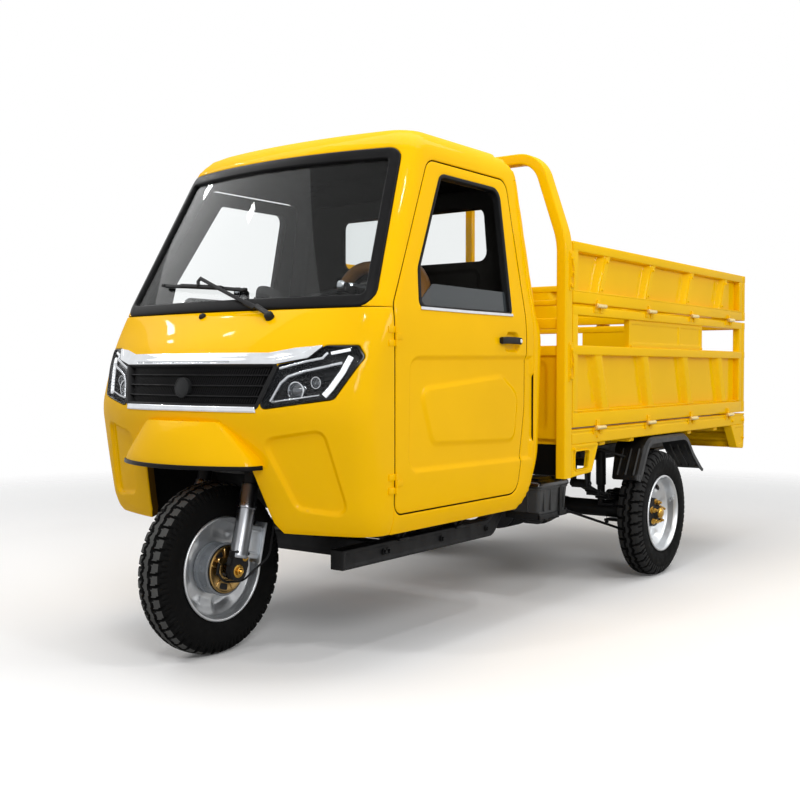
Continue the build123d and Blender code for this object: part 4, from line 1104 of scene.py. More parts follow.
# ---------------------------------------------------------------- the cab's form
@dataclass(frozen=True)
class CabForm:
    """The cab's outer surface.

    At each height the plan section is a circular arc across the front, a fillet, a straight side,
    a rear fillet and a straight back.  Its sizes follow the levels by straight runs whose corners,
    apart from the creases, are rounded off: each size is averaged over a window of heights that
    closes to nothing at a crease.
    """

    heights: tuple[float, ...] = (404, 440, 590, 780, 952, 1036, 1087, 1608, 1652, 1684)
    halves: tuple[float, ...] = (570, 588, 592, 592, 592, 592, 587, 505, 492, 438)
    fronts: tuple[float, ...] = (-22, -36, -84, -140, -98, -6, 60, 297, 338, 414)
    corners: tuple[float, ...] = (100, 76, 58, 34, 82, 108, 120, 389, 398, 462)
    backs: tuple[float, ...] = (962, 1012, 1077, 1088, 1098, 1102, 1074, 1062, 1056, 1004)
    creases: tuple[float, ...] = (404, 1087, 1684)
    window: float = 34.0
    front_fillet: float = 90.0
    rear_fillet: float = 45.0

    def sizes(self, z: Array) -> tuple[Array, ...]:
        """Half width, front, corner and back at heights: the mean of five values of the straight
        runs, spread over the window.

        Args:
            z: heights.

        Returns:
            The four sizes at each height.
        """
        z = np.asarray(z, float)
        gap = np.min([np.abs(z - crease) for crease in self.creases], 0)
        reach = np.minimum(self.window, gap)
        spread = np.array([-1, -0.6, -0.2, 0.2, 0.6, 1.0])
        at = z[..., None] + spread * reach[..., None]
        return tuple(np.interp(at, self.heights, values).mean(-1)
                     for values in (self.halves, self.fronts, self.corners, self.backs))

    def plan(self, z: Array) -> dict[str, Array]:
        """Arc, fillet and run lengths of the plan section.

        The arc through (-w, c), (0, f), (w, c) has radius R = (w^2 + s^2) / 2s with s = c - f.
        The fillet's centre is r inside the side and R - r from the arc's centre.

        Args:
            z: heights.

        Returns:
            Arrays by name, one value for each height.
        """
        half, front, corner, back = self.sizes(z)
        sag = np.maximum(corner - front, 1.0)
        big = (half ** 2 + sag ** 2) / (2 * sag)
        small = self.front_fillet
        centre = front + big
        fillet_y = centre - np.sqrt(np.maximum((big - small) ** 2 - (half - small) ** 2, 1.0))
        angle = np.arctan2(half - small, centre - fillet_y)
        first = big * angle
        second = first + small * (math.pi / 2 - angle)
        third = second + (back - self.rear_fillet) - fillet_y
        fourth = third + self.rear_fillet * math.pi / 2
        return {"half": half, "back": back, "big": big, "centre": centre, "fillet_y": fillet_y, "angle": angle,
                "first": first, "second": second, "third": third, "fourth": fourth}

    def at(self, s: Array, z: Array) -> Array:
        """Points at a distance s round the section from the front's middle, minus on the right.

        Args:
            s: distances round the section.
            z: heights.

        Returns:
            The points.
        """
        p = self.plan(z)
        way, small, rear = np.abs(s), self.front_fillet, self.rear_fillet
        a = way / p["big"]
        b = p["angle"] + (way - p["first"]) / small
        d = (way - p["third"]) / rear
        zones = [way <= p["first"], way <= p["second"], way <= p["third"], way <= p["fourth"]]
        x = np.select(zones, [p["big"] * np.sin(a), p["half"] - small + small * np.sin(b), p["half"],
                              p["half"] - rear + rear * np.cos(d)], p["half"] - rear - (way - p["fourth"]))
        y = np.select(zones, [p["centre"] - p["big"] * np.cos(a), p["fillet_y"] - small * np.cos(b),
                              p["fillet_y"] + way - p["second"], p["back"] - rear + rear * np.sin(d)], p["back"])
        return np.stack([np.where(s < 0, -x, x), y, np.asarray(z, float) + 0 * x], -1)

    def normal(self, s: Array, z: Array) -> Array:
        """Outward normals: the cross product of steps of 1 mm round and up the surface.

        Args:
            s: distances round the section.
            z: heights.

        Returns:
            The unit normals.
        """
        round_step = self.at(s + 1.0, z) - self.at(s - 1.0, z)
        up_step = self.at(s, z + 1.0) - self.at(s, z - 1.0)
        return unit(np.cross(round_step, up_step))

    def place(self, s: Array, z: Array, depth: Array) -> Array:
        """Points a depth below the surface."""
        return self.at(s, z) - self.normal(s, z) * np.asarray(depth)[..., None]

    def from_front(self, outline: Array, pitch: float = 20.0, closed: bool = True) -> Array:
        """(x, z) line seen from the front as (s, z): s is R asin(x / R) on the arc, and beyond it
        the arc's length plus r times the angle turned in the fillet.

        Args:
            outline: (x, z) points.
            pitch: longest step in millimetres.
            closed: whether the line is closed.

        Returns:
            (s, z) points.
        """
        line = resampled(np.asarray(outline, float), pitch, closed)
        x, z = np.abs(line[:, 0]), line[:, 1]
        p, small = self.plan(z), self.front_fillet
        on_arc = p["big"] * np.arcsin(np.clip(x / p["big"], -1, 1))
        turn = np.arcsin(np.clip((x - p["half"] + small) / small, -1, 1))
        s = np.where(on_arc <= p["first"], on_arc, p["first"] + small * (turn - p["angle"]))
        return np.stack([np.where(line[:, 0] < 0, -s, s), z], 1)

    def from_side(self, outline: Array, pitch: float = 20.0, closed: bool = True) -> Array:
        """(y, z) line seen from the left side as (s, z), on the fillets or the side.

        Args:
            outline: (y, z) points.
            pitch: longest step in millimetres.
            closed: whether the line is closed.

        Returns:
            (s, z) points.
        """
        line = resampled(np.asarray(outline, float), pitch, closed)
        y, z = line[:, 0], line[:, 1]
        p, small, rear = self.plan(z), self.front_fillet, self.rear_fillet
        turn = np.arccos(np.clip((p["fillet_y"] - y) / small, -1, 1))
        in_front = p["first"] + small * (turn - p["angle"])
        behind = p["third"] + rear * np.arcsin(np.clip((y - p["back"] + rear) / rear, 0, 1))
        run = p["second"] + y - p["fillet_y"]
        return np.stack([np.select([y < p["fillet_y"], y > p["back"] - rear], [in_front, behind], run), z], 1)

    def ribbon(self, line: Sequence[tuple[float, float]], width: float, height: float, depth: float,
               pitch: float = 10.0) -> Mesh:
        """Rounded strip along an (x, z) line seen from the front, its middle a depth below the
        surface; width lies along the surface and height across it.

        Args:
            line: (x, z) points.
            width: width along the surface.
            height: height across it.
            depth: depth of its middle below the surface.
            pitch: longest step in millimetres.

        Returns:
            The strip's mesh.
        """
        path = self.from_front(np.asarray(line, float), pitch, closed=False)
        points = self.place(path[:, 0], path[:, 1], np.full(len(path), depth))
        half, tall = width / 2, height / 2
        profile = rounded([(-tall, -half), (tall, -half), (tall, half), (-tall, half)], min(half, tall) * 0.7, 3)
        return carried(points, self.normal(path[:, 0], path[:, 1]), profile, closed=False)

    def spot(self, x: float, z: float, depth: float = 0.0) -> Array:
        """Point below the surface at a place seen from the front."""
        path = self.from_front(np.array([(x, z), (x + 0.1, z)]), closed=False)[:1]
        return self.place(path[:, 0], path[:, 1], np.array([depth]))[0]

    def facing(self, x: float, z: float) -> Array:
        """Outward normal at a place seen from the front."""
        path = self.from_front(np.array([(x, z), (x + 0.1, z)]), closed=False)[:1]
        return self.normal(path[:, 0], path[:, 1])[0]

    def across(self, outline: Array) -> Array:
        """(s, z) line mirrored to the other side."""
        return outline * (-1.0, 1.0)


CAB = CabForm()


# ---------------------------------------------------------------- cab panels
WINDSHIELD = rounded([(-557, 1087), (557, 1087), (472, 1608), (-472, 1608)], 46.0)
DOOR = rounded([(185, 466), (905, 466), (962, 760), (965, 1090), (951, 1575), (468, 1575), (185, 1096)],
               (34, 60, 300, 400, 40, 60, 60))
WINDOW = rounded([(312, 1088), (874, 1088), (900, 1540), (528, 1540), (332, 1216)], (26, 26, 40, 50, 60))
NOSE_BACK = 179.0
SCUTTLE = 1087.0


@dataclass
class CabShell:
    """Nose, sides, roof and rear wall of the cab."""

    wall: float = 26.0
    sill: float = 404.5
    roof_seam: float = 1590.0
    roof_edge: float = 1684.0
    rear_seam: float = 1018.0
    rear_foot: float = 500.0
    door_gap: float = 5.0
    crown: float = 12.0
    arch: tuple = ((300, 404.5), (277, 436), (234, 622))
    mouth: tuple = ((-287, 791), (287, 791), (330, 917), (-330, 917))
    lamp: tuple = ((295, 784), (508, 816), (568, 938), (548, 970), (458, 970), (422, 932), (338, 914))
    recess: tuple = ((292, 692), (478, 722), (522, 470), (366, 486))
    long_recess: tuple = ((255, 592), (1500, 576), (1500, 946), (262, 936))

    def level_lines(self, heights: Sequence[float], start: float, end: float, step: float = 14.0) -> list[Array]:
        """Level lines of points from s = start to s = end."""
        s = np.arange(start, end + 1, step)
        return [np.stack([s, np.full(len(s), z)], 1) for z in heights]

    def back_middle(self, z: Array) -> Array:
        """Distance round the section to the middle of the back: the four zones and half the back."""
        p = CAB.plan(z)
        return p["fourth"] + p["half"] - CAB.rear_fillet

    def lamp_loop(self, grow: float = 0.0) -> Array:
        """Left headlamp's outline in (s, z)."""
        return grown(CAB.from_front(rounded(self.lamp, (14, 16, 14, 10, 18, 60, 8)), 12.0), grow)

    def side_recess(self) -> Press:
        """Long shallow pressing that runs from the door over the post behind it and round the corner.

        Returns:
            The pressing.
        """
        loop = CAB.from_side(rounded(self.long_recess[:1] + ((1000, 584), (1000, 944)) + self.long_recess[3:],
                                     (40, 2, 2, 40)))
        far = loop[:, 0] > CAB.from_side(np.array([(990, 700), (991, 700)]), closed=False)[0, 0]
        loop[far, 0] += 320
        return Press(loop, 9.0, 18.0)

    def nose(self) -> None:
        """Nose panel with its openings and pressings."""
        seam = CAB.from_side(np.array([(NOSE_BACK, self.sill), (NOSE_BACK, SCUTTLE - 0.5)]), closed=False)
        arch = CAB.from_front(np.array(self.arch), closed=False)
        foot = np.stack([np.linspace(seam[0, 0], arch[0, 0], 24), np.full(24, self.sill)], 1)
        half = np.vstack([seam[::-1][:-1], foot[:-1], arch])
        loop = np.vstack([half, CAB.across(half)[::-1]])
        lamp = self.lamp_loop(3.0)
        mouth = CAB.from_front(rounded(self.mouth, 8))
        dent = CAB.from_front(rounded(self.recess, (30, 24, 30, 30)))
        lines = self.level_lines((1020, 1030, 1037, 1044, 1054, 1064), -840, 840)
        lines += self.level_lines((572, 584, 592, 600, 612), -840, 840)
        sheet = Sheet(resampled(loop, 20.0), CAB.place, self.wall, [mouth, lamp, CAB.across(lamp)[::-1]],
                      [Press(dent, 12.0, 15.0), Press(CAB.across(dent)[::-1], 12.0, 15.0)], lines, roll=3.5)
        # Inner faces in the dark brown of painted shade: the yellow paint as it looks inside the arch.
        piece("nose_panel", sheet.mesh(), YELLOW, "vehicle", ["cab_nose"], smooth=60,
              second=(ARCH_PAINTED_SHADE, sheet.inner_faces))

    def shell(self) -> None:
        """Sides, pillars, header and the strip under the rear wall, in one pressing."""
        z_back = np.linspace(self.sill, self.rear_foot, 4)
        rear = np.stack([self.back_middle(z_back), z_back], 1)
        post_foot = CAB.from_side(np.array([(self.rear_seam, self.rear_foot), (self.rear_seam, self.roof_seam)]),
                                  closed=False)
        z_top = np.linspace(self.roof_seam, self.roof_edge, 4)
        roof_back = np.stack([self.back_middle(z_top), z_top], 1)
        start = self.back_middle(np.array(self.roof_edge))
        edge = np.stack([np.linspace(float(start), 0, 200), np.full(200, self.roof_edge)], 1)
        screen = WINDSHIELD[WINDSHIELD[:, 0] >= 0]
        screen = screen[np.argsort(-screen[:, 1], kind="stable")]
        top = screen[screen[:, 1] > 1560]
        top = top[np.argsort(top[:, 0], kind="stable")]
        screen = np.vstack([[(0, 1608)], top, screen[(screen[:, 1] <= 1560) & (screen[:, 1] > SCUTTLE + 0.6)]])
        screen = CAB.from_front(screen, closed=False)
        seam = CAB.from_side(np.array([(NOSE_BACK, SCUTTLE + 0.6), (NOSE_BACK, self.sill)]), closed=False)
        front = np.vstack([screen, seam, np.stack([np.linspace(seam[-1, 0], rear[0, 0], 80)[1:-1],
                                                   np.full(78, self.sill)], 1), rear, post_foot, roof_back])
        top_line = edge[1:-1]
        outline = np.vstack([front, top_line, CAB.across(top_line)[::-1], CAB.across(front[1:])[::-1]])
        door = grown(CAB.from_side(DOOR), self.door_gap)
        recess = self.side_recess()
        other = Press(CAB.across(recess.loop)[::-1], recess.depth, recess.slope)
        lines = [self.level_lines((z,), side * 1500 - 90, side * 1500 + 90) for z in (1037, 592) for side in (1, -1)]
        sheet = Sheet(outline, CAB.place, self.wall, [door, CAB.across(door)[::-1]], [recess, other],
                      [line for group in lines for line in group], roll=3.5,
                      rolled=[np.vstack([screen, seam]), CAB.across(np.vstack([screen, seam])),
                              post_foot, CAB.across(post_foot)])
        piece("cab_shell", sheet.mesh(), YELLOW, "vehicle", ["cab_sides", "cab_roof"], smooth=60,
              second=(LINING_AND_SHADE, sheet.inner_faces))

    def roof(self) -> None:
        """Crown of the roof: the top section drawn in towards its middle by 1 - r, risen by
        crown (1 - (1 - r)^2), with an inner skin a wall below."""
        steps, rings = 220, 16
        reach = float(self.back_middle(np.array(self.roof_edge)))
        s = np.linspace(-reach, reach, steps, endpoint=False)
        rim = CAB.at(s, np.full(steps, self.roof_edge))
        middle = np.array([0, (rim[:, 1].min() + rim[:, 1].max()) / 2, self.roof_edge])
        r = (np.linspace(0, 1, rings) ** 1.4)[:, None, None]
        skin = rim * (1 - r) + middle * r
        skin[..., 2] += self.crown * (1 - (1 - r[..., 0]) ** 2.4)
        inner = skin - (0, 0, 20.0)
        faces = grid_faces(rings, steps, False, True)
        inside_faces = [[index + rings * steps for index in face[::-1]] for face in faces]
        rim_faces = [[n, n + rings * steps, (n + 1) % steps + rings * steps, (n + 1) % steps] for n in range(steps)]
        mesh = np.concatenate([skin.reshape(-1, 3), inner.reshape(-1, 3)]), faces + inside_faces + rim_faces
        under = np.repeat([0, 1], [len(faces), len(inside_faces) + len(rim_faces)])
        piece("roof_crown", mesh, YELLOW, "vehicle", smooth=60, second=(LINING_AND_SHADE, under))

    def rear_wall(self) -> None:
        """Rear wall with its window opening."""
        z = np.linspace(self.rear_foot + 0.6, self.roof_seam - 0.6, 40)
        side = CAB.from_side(np.stack([np.full(40, self.rear_seam + 0.6), z], 1), closed=False)
        shift = self.back_middle(side[:, 1])
        left = np.stack([shift - side[:, 0], side[:, 1]], 1)
        outline = np.vstack([left, left[::-1] * (-1, 1)])
        window = rounded([(-402, 1240), (402, 1240), (380, 1512), (-380, 1512)], 40.0)

        def place(u: Array, z_at: Array, depth: Array) -> Array:
            """Points with u measured from the back's middle, positive towards the left side.

            Args:
                u: distances from the middle.
                z_at: heights.
                depth: depths below the surface.

            Returns:
                The points.
            """
            reach = self.back_middle(z_at) - np.abs(u)
            points = CAB.place(reach, z_at, depth)
            return points * np.stack([np.where(u < 0, -1.0, 1.0), np.ones_like(u), np.ones_like(u)], -1)

        groove = [Press(rounded([(-450, 640 + n * 150), (450, 640 + n * 150), (450, 690 + n * 150),
                                 (-450, 690 + n * 150)], 24), 7.0, 18.0) for n in range(3)]
        sheet = Sheet(resampled(outline, 24.0), place, self.wall, [resampled(window, 20.0)], groove, roll=3.5)
        piece("rear_wall_panel", sheet.mesh(), YELLOW, "vehicle", ["cab_rear_wall"], smooth=60,
              second=(LINING_AND_SHADE, sheet.inner_faces))
        trim = Sheet(resampled(grown(window, 9.0), 20.0), lambda u, z_at, depth: place(u, z_at, depth - 3.0), 14.0,
                     [resampled(grown(window, -12.0), 20.0)], roll=5.0)
        piece("rear_window_seal", trim.mesh(), SEAL, "vehicle", smooth=60)

    def build(self) -> None:
        """Makes every panel."""
        self.nose()
        self.shell()
        self.roof()
        self.rear_wall()


@dataclass
class Glazing:
    """Windshield with its seal."""

    seal_width: float = 38.0
    proud: float = 3.5

    def build(self) -> None:
        """Lays the seal and the pane into the windshield opening."""
        opening = CAB.from_front(WINDSHIELD)
        seal = Sheet(grown(opening, -0.6), lambda s, z, depth: CAB.place(s, z, depth - self.proud), 18.0,
                     [grown(opening, -self.seal_width)], roll=6.0, pitch=14.0)
        piece("windshield_gasket", seal.mesh(), SEAL, "vehicle", ["windshield_seal"], smooth=60)
        pane = Sheet(grown(opening, -self.seal_width + 5), lambda s, z, depth: CAB.place(s, z, depth + 7.0), 5.0,
                     roll=0.0, pitch=30.0)
        piece("windshield_pane", pane.mesh(), TINTED, "vehicle", ["windshield"], smooth=60)


@dataclass
class Door:
    """One side's door: pressed panel, window frame seal, glass, handle and hinges."""

    side: Side
    wall: float = 26.0
    pad: tuple = ((384, 668), (884, 652), (912, 812), (804, 878), (318, 840))
    cup: tuple = ((812, 968), (914, 962), (900, 1026), (836, 1028))
    hinge_heights: tuple = (560.0, 1000.0)
    hinge_at: tuple = (596.0, 182.0)

    @property
    def name(self) -> str:
        """Name of the door's side."""
        return self.side.value

    def lay(self, mesh: Mesh) -> Mesh:
        """The mesh as drawn for the left door, or its mirror image."""
        return mesh if self.side is Side.LEFT else mirrored(mesh)

    def panel(self) -> None:
        """Door panel with its window opening, long recess, raised pad and handle cup."""
        recess = CabShell().side_recess()
        pad = Press(CAB.from_side(rounded(self.pad, (34, 40, 60, 60, 34))), -7.0, 20.0)
        cup = Press(CAB.from_side(rounded(self.cup, 14), 8.0), 14.0, 12.0)
        step = np.arange(150.0, 1000.0, 14.0)
        lines = [CAB.from_side(np.stack([step, np.full(len(step), z)], 1), 14.0, closed=False)
                 for z in (1026, 1037, 1048, 1062, 584, 592, 600)]
        sheet = Sheet(CAB.from_side(DOOR), CAB.place, self.wall, [CAB.from_side(WINDOW)], [recess, pad, cup], lines,
                      roll=3.5)
        hinges = [tube([(*self.hinge_at, z - 10), (*self.hinge_at, z + 10)], 4.6) for z in self.hinge_heights]
        hinges += [block((588, 183.5, z - 10), (595, 216, z + 10), 1.5) for z in self.hinge_heights]
        body = f"door_{self.name}"
        piece(f"door_panel_{self.name}", self.lay(sheet.mesh()), YELLOW, body, [f"door_{self.name}"], smooth=60,
              second=(LINING_AND_SHADE, sheet.inner_faces))
        piece(f"door_hinges_{self.name}", self.lay(joined(hinges)), YELLOW, body)
        fixed = [tube([(*self.hinge_at, z + a), (*self.hinge_at, z + a + 19.7)], 4.6)
                 for z in self.hinge_heights for a in (-30, 10.3)]
        fixed += [block((588, 148, z + a), (595, 180.5, z + a + 19.7), 1.5)
                  for z in self.hinge_heights for a in (-30, 10.3)]
        piece(f"post_hinges_{self.name}", self.lay(joined(fixed)), YELLOW, "vehicle")

    def window(self) -> None:
        """Rubber round the window opening, a bright strip along its sill and the glass inside it."""
        loop = CAB.from_side(WINDOW)
        body = f"door_{self.name}"
        rubber = Sheet(grown(loop, 1.0), lambda s, z, depth: CAB.place(s, z, depth - 1.5), 24.0, [grown(loop, -13.0)],
                       roll=4.0, pitch=17.0)
        piece(f"door_window_rubber_{self.name}", self.lay(rubber.mesh()), SEAL, body, smooth=60)
        sill = np.array([(318.0, 1090.0), (596.0, 1089.0), (872.0, 1090.0)])
        path = CAB.from_side(sill, 16.0, closed=False)
        points = CAB.place(path[:, 0], path[:, 1], np.full(len(path), -2.0))
        strip = carried(points, CAB.normal(path[:, 0], path[:, 1]), rounded([(-2, -5), (2, -5), (2, 5), (-2, 5)], 1.5),
                        closed=False)
        piece(f"door_sill_strip_{self.name}", self.lay(strip), CHROME, body, smooth=50)
        glass = rounded([(338, 1080), (866, 1080), (872, 1172), (420, 1174), (345, 1120)], (4, 4, 14, 40, 30))
        pane = Sheet(CAB.from_side(glass), lambda s, z, depth: CAB.place(s, z, depth + 12.0), 5.0, roll=0.0,
                     pitch=30.0)
        piece(f"door_pane_{self.name}", self.lay(pane.mesh()), DOOR_PANE, body, [f"door_glass_{self.name}"], smooth=60)

    def handle(self) -> None:
        """Pull handle: a bar that swells at its root, carried past the cup, on two feet."""
        y = np.linspace(776, 902, 15)
        t = (y - y[0]) / (y[-1] - y[0])
        line = np.stack([592 + 14 - 3 * (2 * t - 1) ** 4, y, 1000 + 1.5 * np.sin(math.pi * t)], 1)
        points, faces = carried(line, np.broadcast_to([1.0, 0, 0], line.shape),
                                rounded([(-6, -12), (6, -12), (6, 12), (-6, 12)], 4.5, 3), closed=False)
        feet = [block((582, 778, 990), (600, 800, 1011), 4), block((582, 880, 990), (600, 900, 1011), 4)]
        knob = tube([(600, 894, 1000), (612, 894, 1000)], 8.0)
        piece(f"door_pull_{self.name}", self.lay(joined([(points, faces), *feet])), BLACK_PLASTIC,
              f"door_{self.name}", [f"door_handle_{self.name}"], smooth=50)
        piece(f"door_lock_{self.name}", self.lay(knob), CHROME, f"door_{self.name}")

    def build(self) -> None:
        """Makes the door's pieces."""
        self.panel()
        self.window()
        self.handle()


# ---------------------------------------------------------------- fittings on the nose
@dataclass
class Headlamps:
    """Both headlamps: dark trays, bright frame lines, light guides, projectors and clear covers."""

    tray_depth: float = 46.0
    guide: tuple = ((480, 826), (495, 848), (519, 896), (533, 941))
    brow: tuple = ((478, 951), (501, 956), (527, 962))
    frame: tuple = ((514, 922), (464, 909), (412, 897), (370, 882), (350, 862), (328, 808))
    upper: tuple = ((470, 951), (459, 935), (416, 926), (342, 905))
    foot: tuple = ((330, 807), (399, 818), (466, 829))
    projector: tuple = (397, 847)
    second: tuple = (452, 872)
    head: float = 25.0

    def loop(self, share: float, depth: float) -> Array:
        """The lamp's outline drawn in to a share of its size, a depth below the surface.

        Args:
            share: share of the lamp's size.
            depth: depth below the surface.

        Returns:
            The outline's points.
        """
        flat = CabShell().lamp_loop(1.0)
        middle = (flat.min(0) + flat.max(0)) / 2
        flat = middle + (flat - middle) * share
        return CAB.place(flat[:, 0], flat[:, 1], np.full(len(flat), depth))

    def tray(self) -> None:
        """Bowl with a rolled rim, walls and floor, and low ribs across the floor."""
        section = ((1.0, 8), (1.0, 0.5), (0.992, -1.5), (0.972, -1.5), (0.962, 1), (0.95, 14), (0.92, 34),
                   (0.90, self.tray_depth), (0.93, self.tray_depth + 3), (0.965, 30))
        rim = lofted([self.loop(share, depth) for share, depth in section], closed=True)
        flat = CabShell().lamp_loop(1.0)
        middle = (flat.min(0) + flat.max(0)) / 2
        floor = Sheet(middle + (flat - middle) * 0.91, lambda s, z, d: CAB.place(s, z, d + self.tray_depth - 2),
                      4.0, roll=0.0, pitch=14.0)
        ribs = [CAB.ribbon([(338 + n * 5, 822 + n * 13), (500 + n * 6, 846 + n * 13)], 4, 12, self.tray_depth - 8)
                for n in range(5)]
        shelf = CAB.ribbon([(352, 886), (412, 906), (500, 926)], 16, 22, self.tray_depth - 16)
        mesh = joined([rim, floor.mesh(), shelf, *ribs])
        piece("headlamp_trays", both_sides(mesh), GLOSS_BLACK, "vehicle", ["headlamps"], smooth=50)

    def lines(self) -> None:
        """Bright frame lines round the projector, and the white guides at the outer end."""
        silver = [CAB.ribbon(self.frame, 8.5, 15, 12), CAB.ribbon(self.upper, 9, 13, 7),
                  CAB.ribbon(self.foot, 5.0, 10, 16)]
        piece("headlamp_frames", both_sides(joined(silver)), LAMP_SILVER, "vehicle", smooth=50)
        white = [CAB.ribbon(self.guide, 17, 9, 10), CAB.ribbon(self.brow, 9, 8, 8)]
        piece("headlamp_guides", both_sides(joined(white)), GUIDE, "vehicle", smooth=50)
        bars = [CAB.ribbon([(x - 7 + 0.02, z), (x + 7, z + 2)], 1.2, 10, 9.8)
                for x, z in ((486 + n * 5.4, 838 + n * 10.5) for n in range(9))]
        piece("headlamp_guide_steps", both_sides(joined(bars)), LAMP_SILVER, "vehicle", smooth=50)

    def lenses(self) -> None:
        """Projector and second lens, each a dome R(1 - (r/a)^2) high in a stepped bright ring."""
        forward = (0.1, -0.99, 0.0)
        r = np.linspace(0, 1, 9)
        rings, domes = [], []
        for (x, z), radius in ((self.projector, self.head), (self.second, self.head * 0.62)):
            at = CAB.spot(x, z, self.tray_depth - 4)
            rings.append(cap([(-6, radius * 1.2), (16, radius * 1.2), (19, radius * 1.14), (19, radius * 1.02),
                              (15, radius * 0.98), (12, radius * 0.92), (-6, radius * 0.92)], at, forward, 40))
            profile = [(13 + radius * 0.5 * (1 - k * k), radius * 0.94 * k) for k in r]
            domes.append(cap([*profile, (2, radius * 0.94), (2, 0)], at, forward, 40))
        piece("headlamp_rings", both_sides(joined(rings)), CHROME, "vehicle")
        piece("headlamp_projectors", both_sides(joined(domes)), PROJECTOR, "vehicle", smooth=50)

    def covers(self) -> None:
        """Clear covers, flush with the nose."""
        cover = Sheet(CabShell().lamp_loop(-3.5), lambda s, z, d: CAB.place(s, z, d + 0.4), 3.2, roll=3.0, pitch=18.0)
        piece("headlamp_covers", both_sides(cover.mesh()), CLEAR, "vehicle", ["headlamp_lenses"], smooth=60)

    def build(self) -> None:
        """Makes both lamps."""
        self.tray()
        self.lines()
        self.lenses()
        self.covers()


@dataclass
class Grille:
    """Mouth of the nose: frame, slats over leaning fins, a plain round blank and bright strips."""

    mouth: tuple = ((-287, 791), (287, 791), (330, 917), (-330, 917))
    slats: int = 3
    fin_pitch: float = 8.6
    fin_lean: float = 9.0
    blank_radius: float = 31.0
    top: tuple = ((-328, 916), (328, 916), (420, 934), (456, 972), (380, 966), (300, 951), (-300, 951),
                  (-380, 966), (-456, 972), (-420, 934))
    foot: tuple = ((-288, 772), (288, 772), (284, 792), (-284, 792))

    def half_width(self, z: float) -> float:
        """Half the mouth's width at a height."""
        return float(np.interp(z, (791, 917), (287, 330)))

    def black_parts(self) -> None:
        """Frame, slats and backing; the fins lean to the left side as they rise."""
        loop = CAB.from_front(rounded(self.mouth, 8))
        section = ((8, 2), (8, -1.4), (-3, -1.4), (-5, 1.0), (-8, 8), (-9, 20), (-0.6, 20), (-0.6, 2))
        frame = lofted([CAB.place(*grown(loop, g).T, np.full(len(loop), d)) for g, d in section], closed=True)
        backing = Sheet(grown(loop, -1.0), lambda s, z, d: CAB.place(s, z, d + 24.0), 2.0, roll=0.0, pitch=30.0)
        levels = np.linspace(791, 917, self.slats + 2)[1:-1]
        slats = []
        for z in levels:
            reach = self.half_width(z) - 6
            slats.append(CAB.ribbon([(-reach, z), (reach, z)], 3.2, 8.0, 9.0))
        piece("grille_frame", joined([frame, backing.mesh(), *slats]), BLACK_PLASTIC, "vehicle", ["grille"], smooth=50)
        edges = np.linspace(795, 913, self.slats + 2)
        fins = []
        for low, high in zip(edges, edges[1:]):
            reach = self.half_width(low) - 12
            for s in np.arange(-reach, reach, self.fin_pitch):
                z = np.array([low, (low + high) / 2, high])
                line = s + self.fin_lean * (z - low) / (high - low)
                points = CAB.place(line, z, np.full(3, 16.0))
                fins.append(carried(points, CAB.normal(line, z),
                                    np.array([(-4, -2.2), (4, -1.1), (4, 1.1), (-4, 2.2)]), closed=False))
        piece("grille_fins", joined(fins), GRILLE_FIN, "vehicle", smooth=30)
        disc = self.blank_radius
        dome = [(2.5 * (1 - (k / 8) ** 2) + 3, disc * 0.86 * k / 8) for k in range(9)]
        blank = cap([*dome, (2.2, disc * 0.88), (4.2, disc * 0.93), (3.4, disc), (-12, disc), (-12, 0)],
                    CAB.spot(0, 846, 3.0), (0, -1, 0.05), 64)
        piece("grille_blank", blank, GRILLE_DISC, "vehicle", smooth=50)

    def bright_parts(self) -> None:
        """Upper strip with a crease and a groove, and the strip under the mouth."""
        line = CAB.from_front(rounded(self.top, (3, 3, 16, 3, 20, 30, 30, 20, 3, 16)), 9.0)
        groove = Press(CAB.from_front(rounded([(-262, 921), (176, 921), (172, 925), (-262, 925)], 1.5)), 3.4, 2.6)
        crease = Press(CAB.from_front(rounded([(-318, 930), (318, 930), (400, 947), (440, 976), (360, 976),
                                               (-360, 976), (-440, 976), (-400, 947)], 4)), 1.8, 7.0)
        top = Sheet(line, lambda s, z, d: CAB.place(s, z, d - 4.4), 8.0, presses=[groove, crease], roll=3.0, pitch=10.5)
        foot = Sheet(CAB.from_front(rounded(self.foot, 3), 9.0), lambda s, z, d: CAB.place(s, z, d - 4.4), 8.0,
                     roll=5.5, pitch=9.5)
        piece("bright_strips", joined([top.mesh(), foot.mesh()]), CHROME, "vehicle", ["chrome_trim"], smooth=55)

    def build(self) -> None:
        """Makes the mouth's pieces."""
        self.black_parts()
        self.bright_parts()


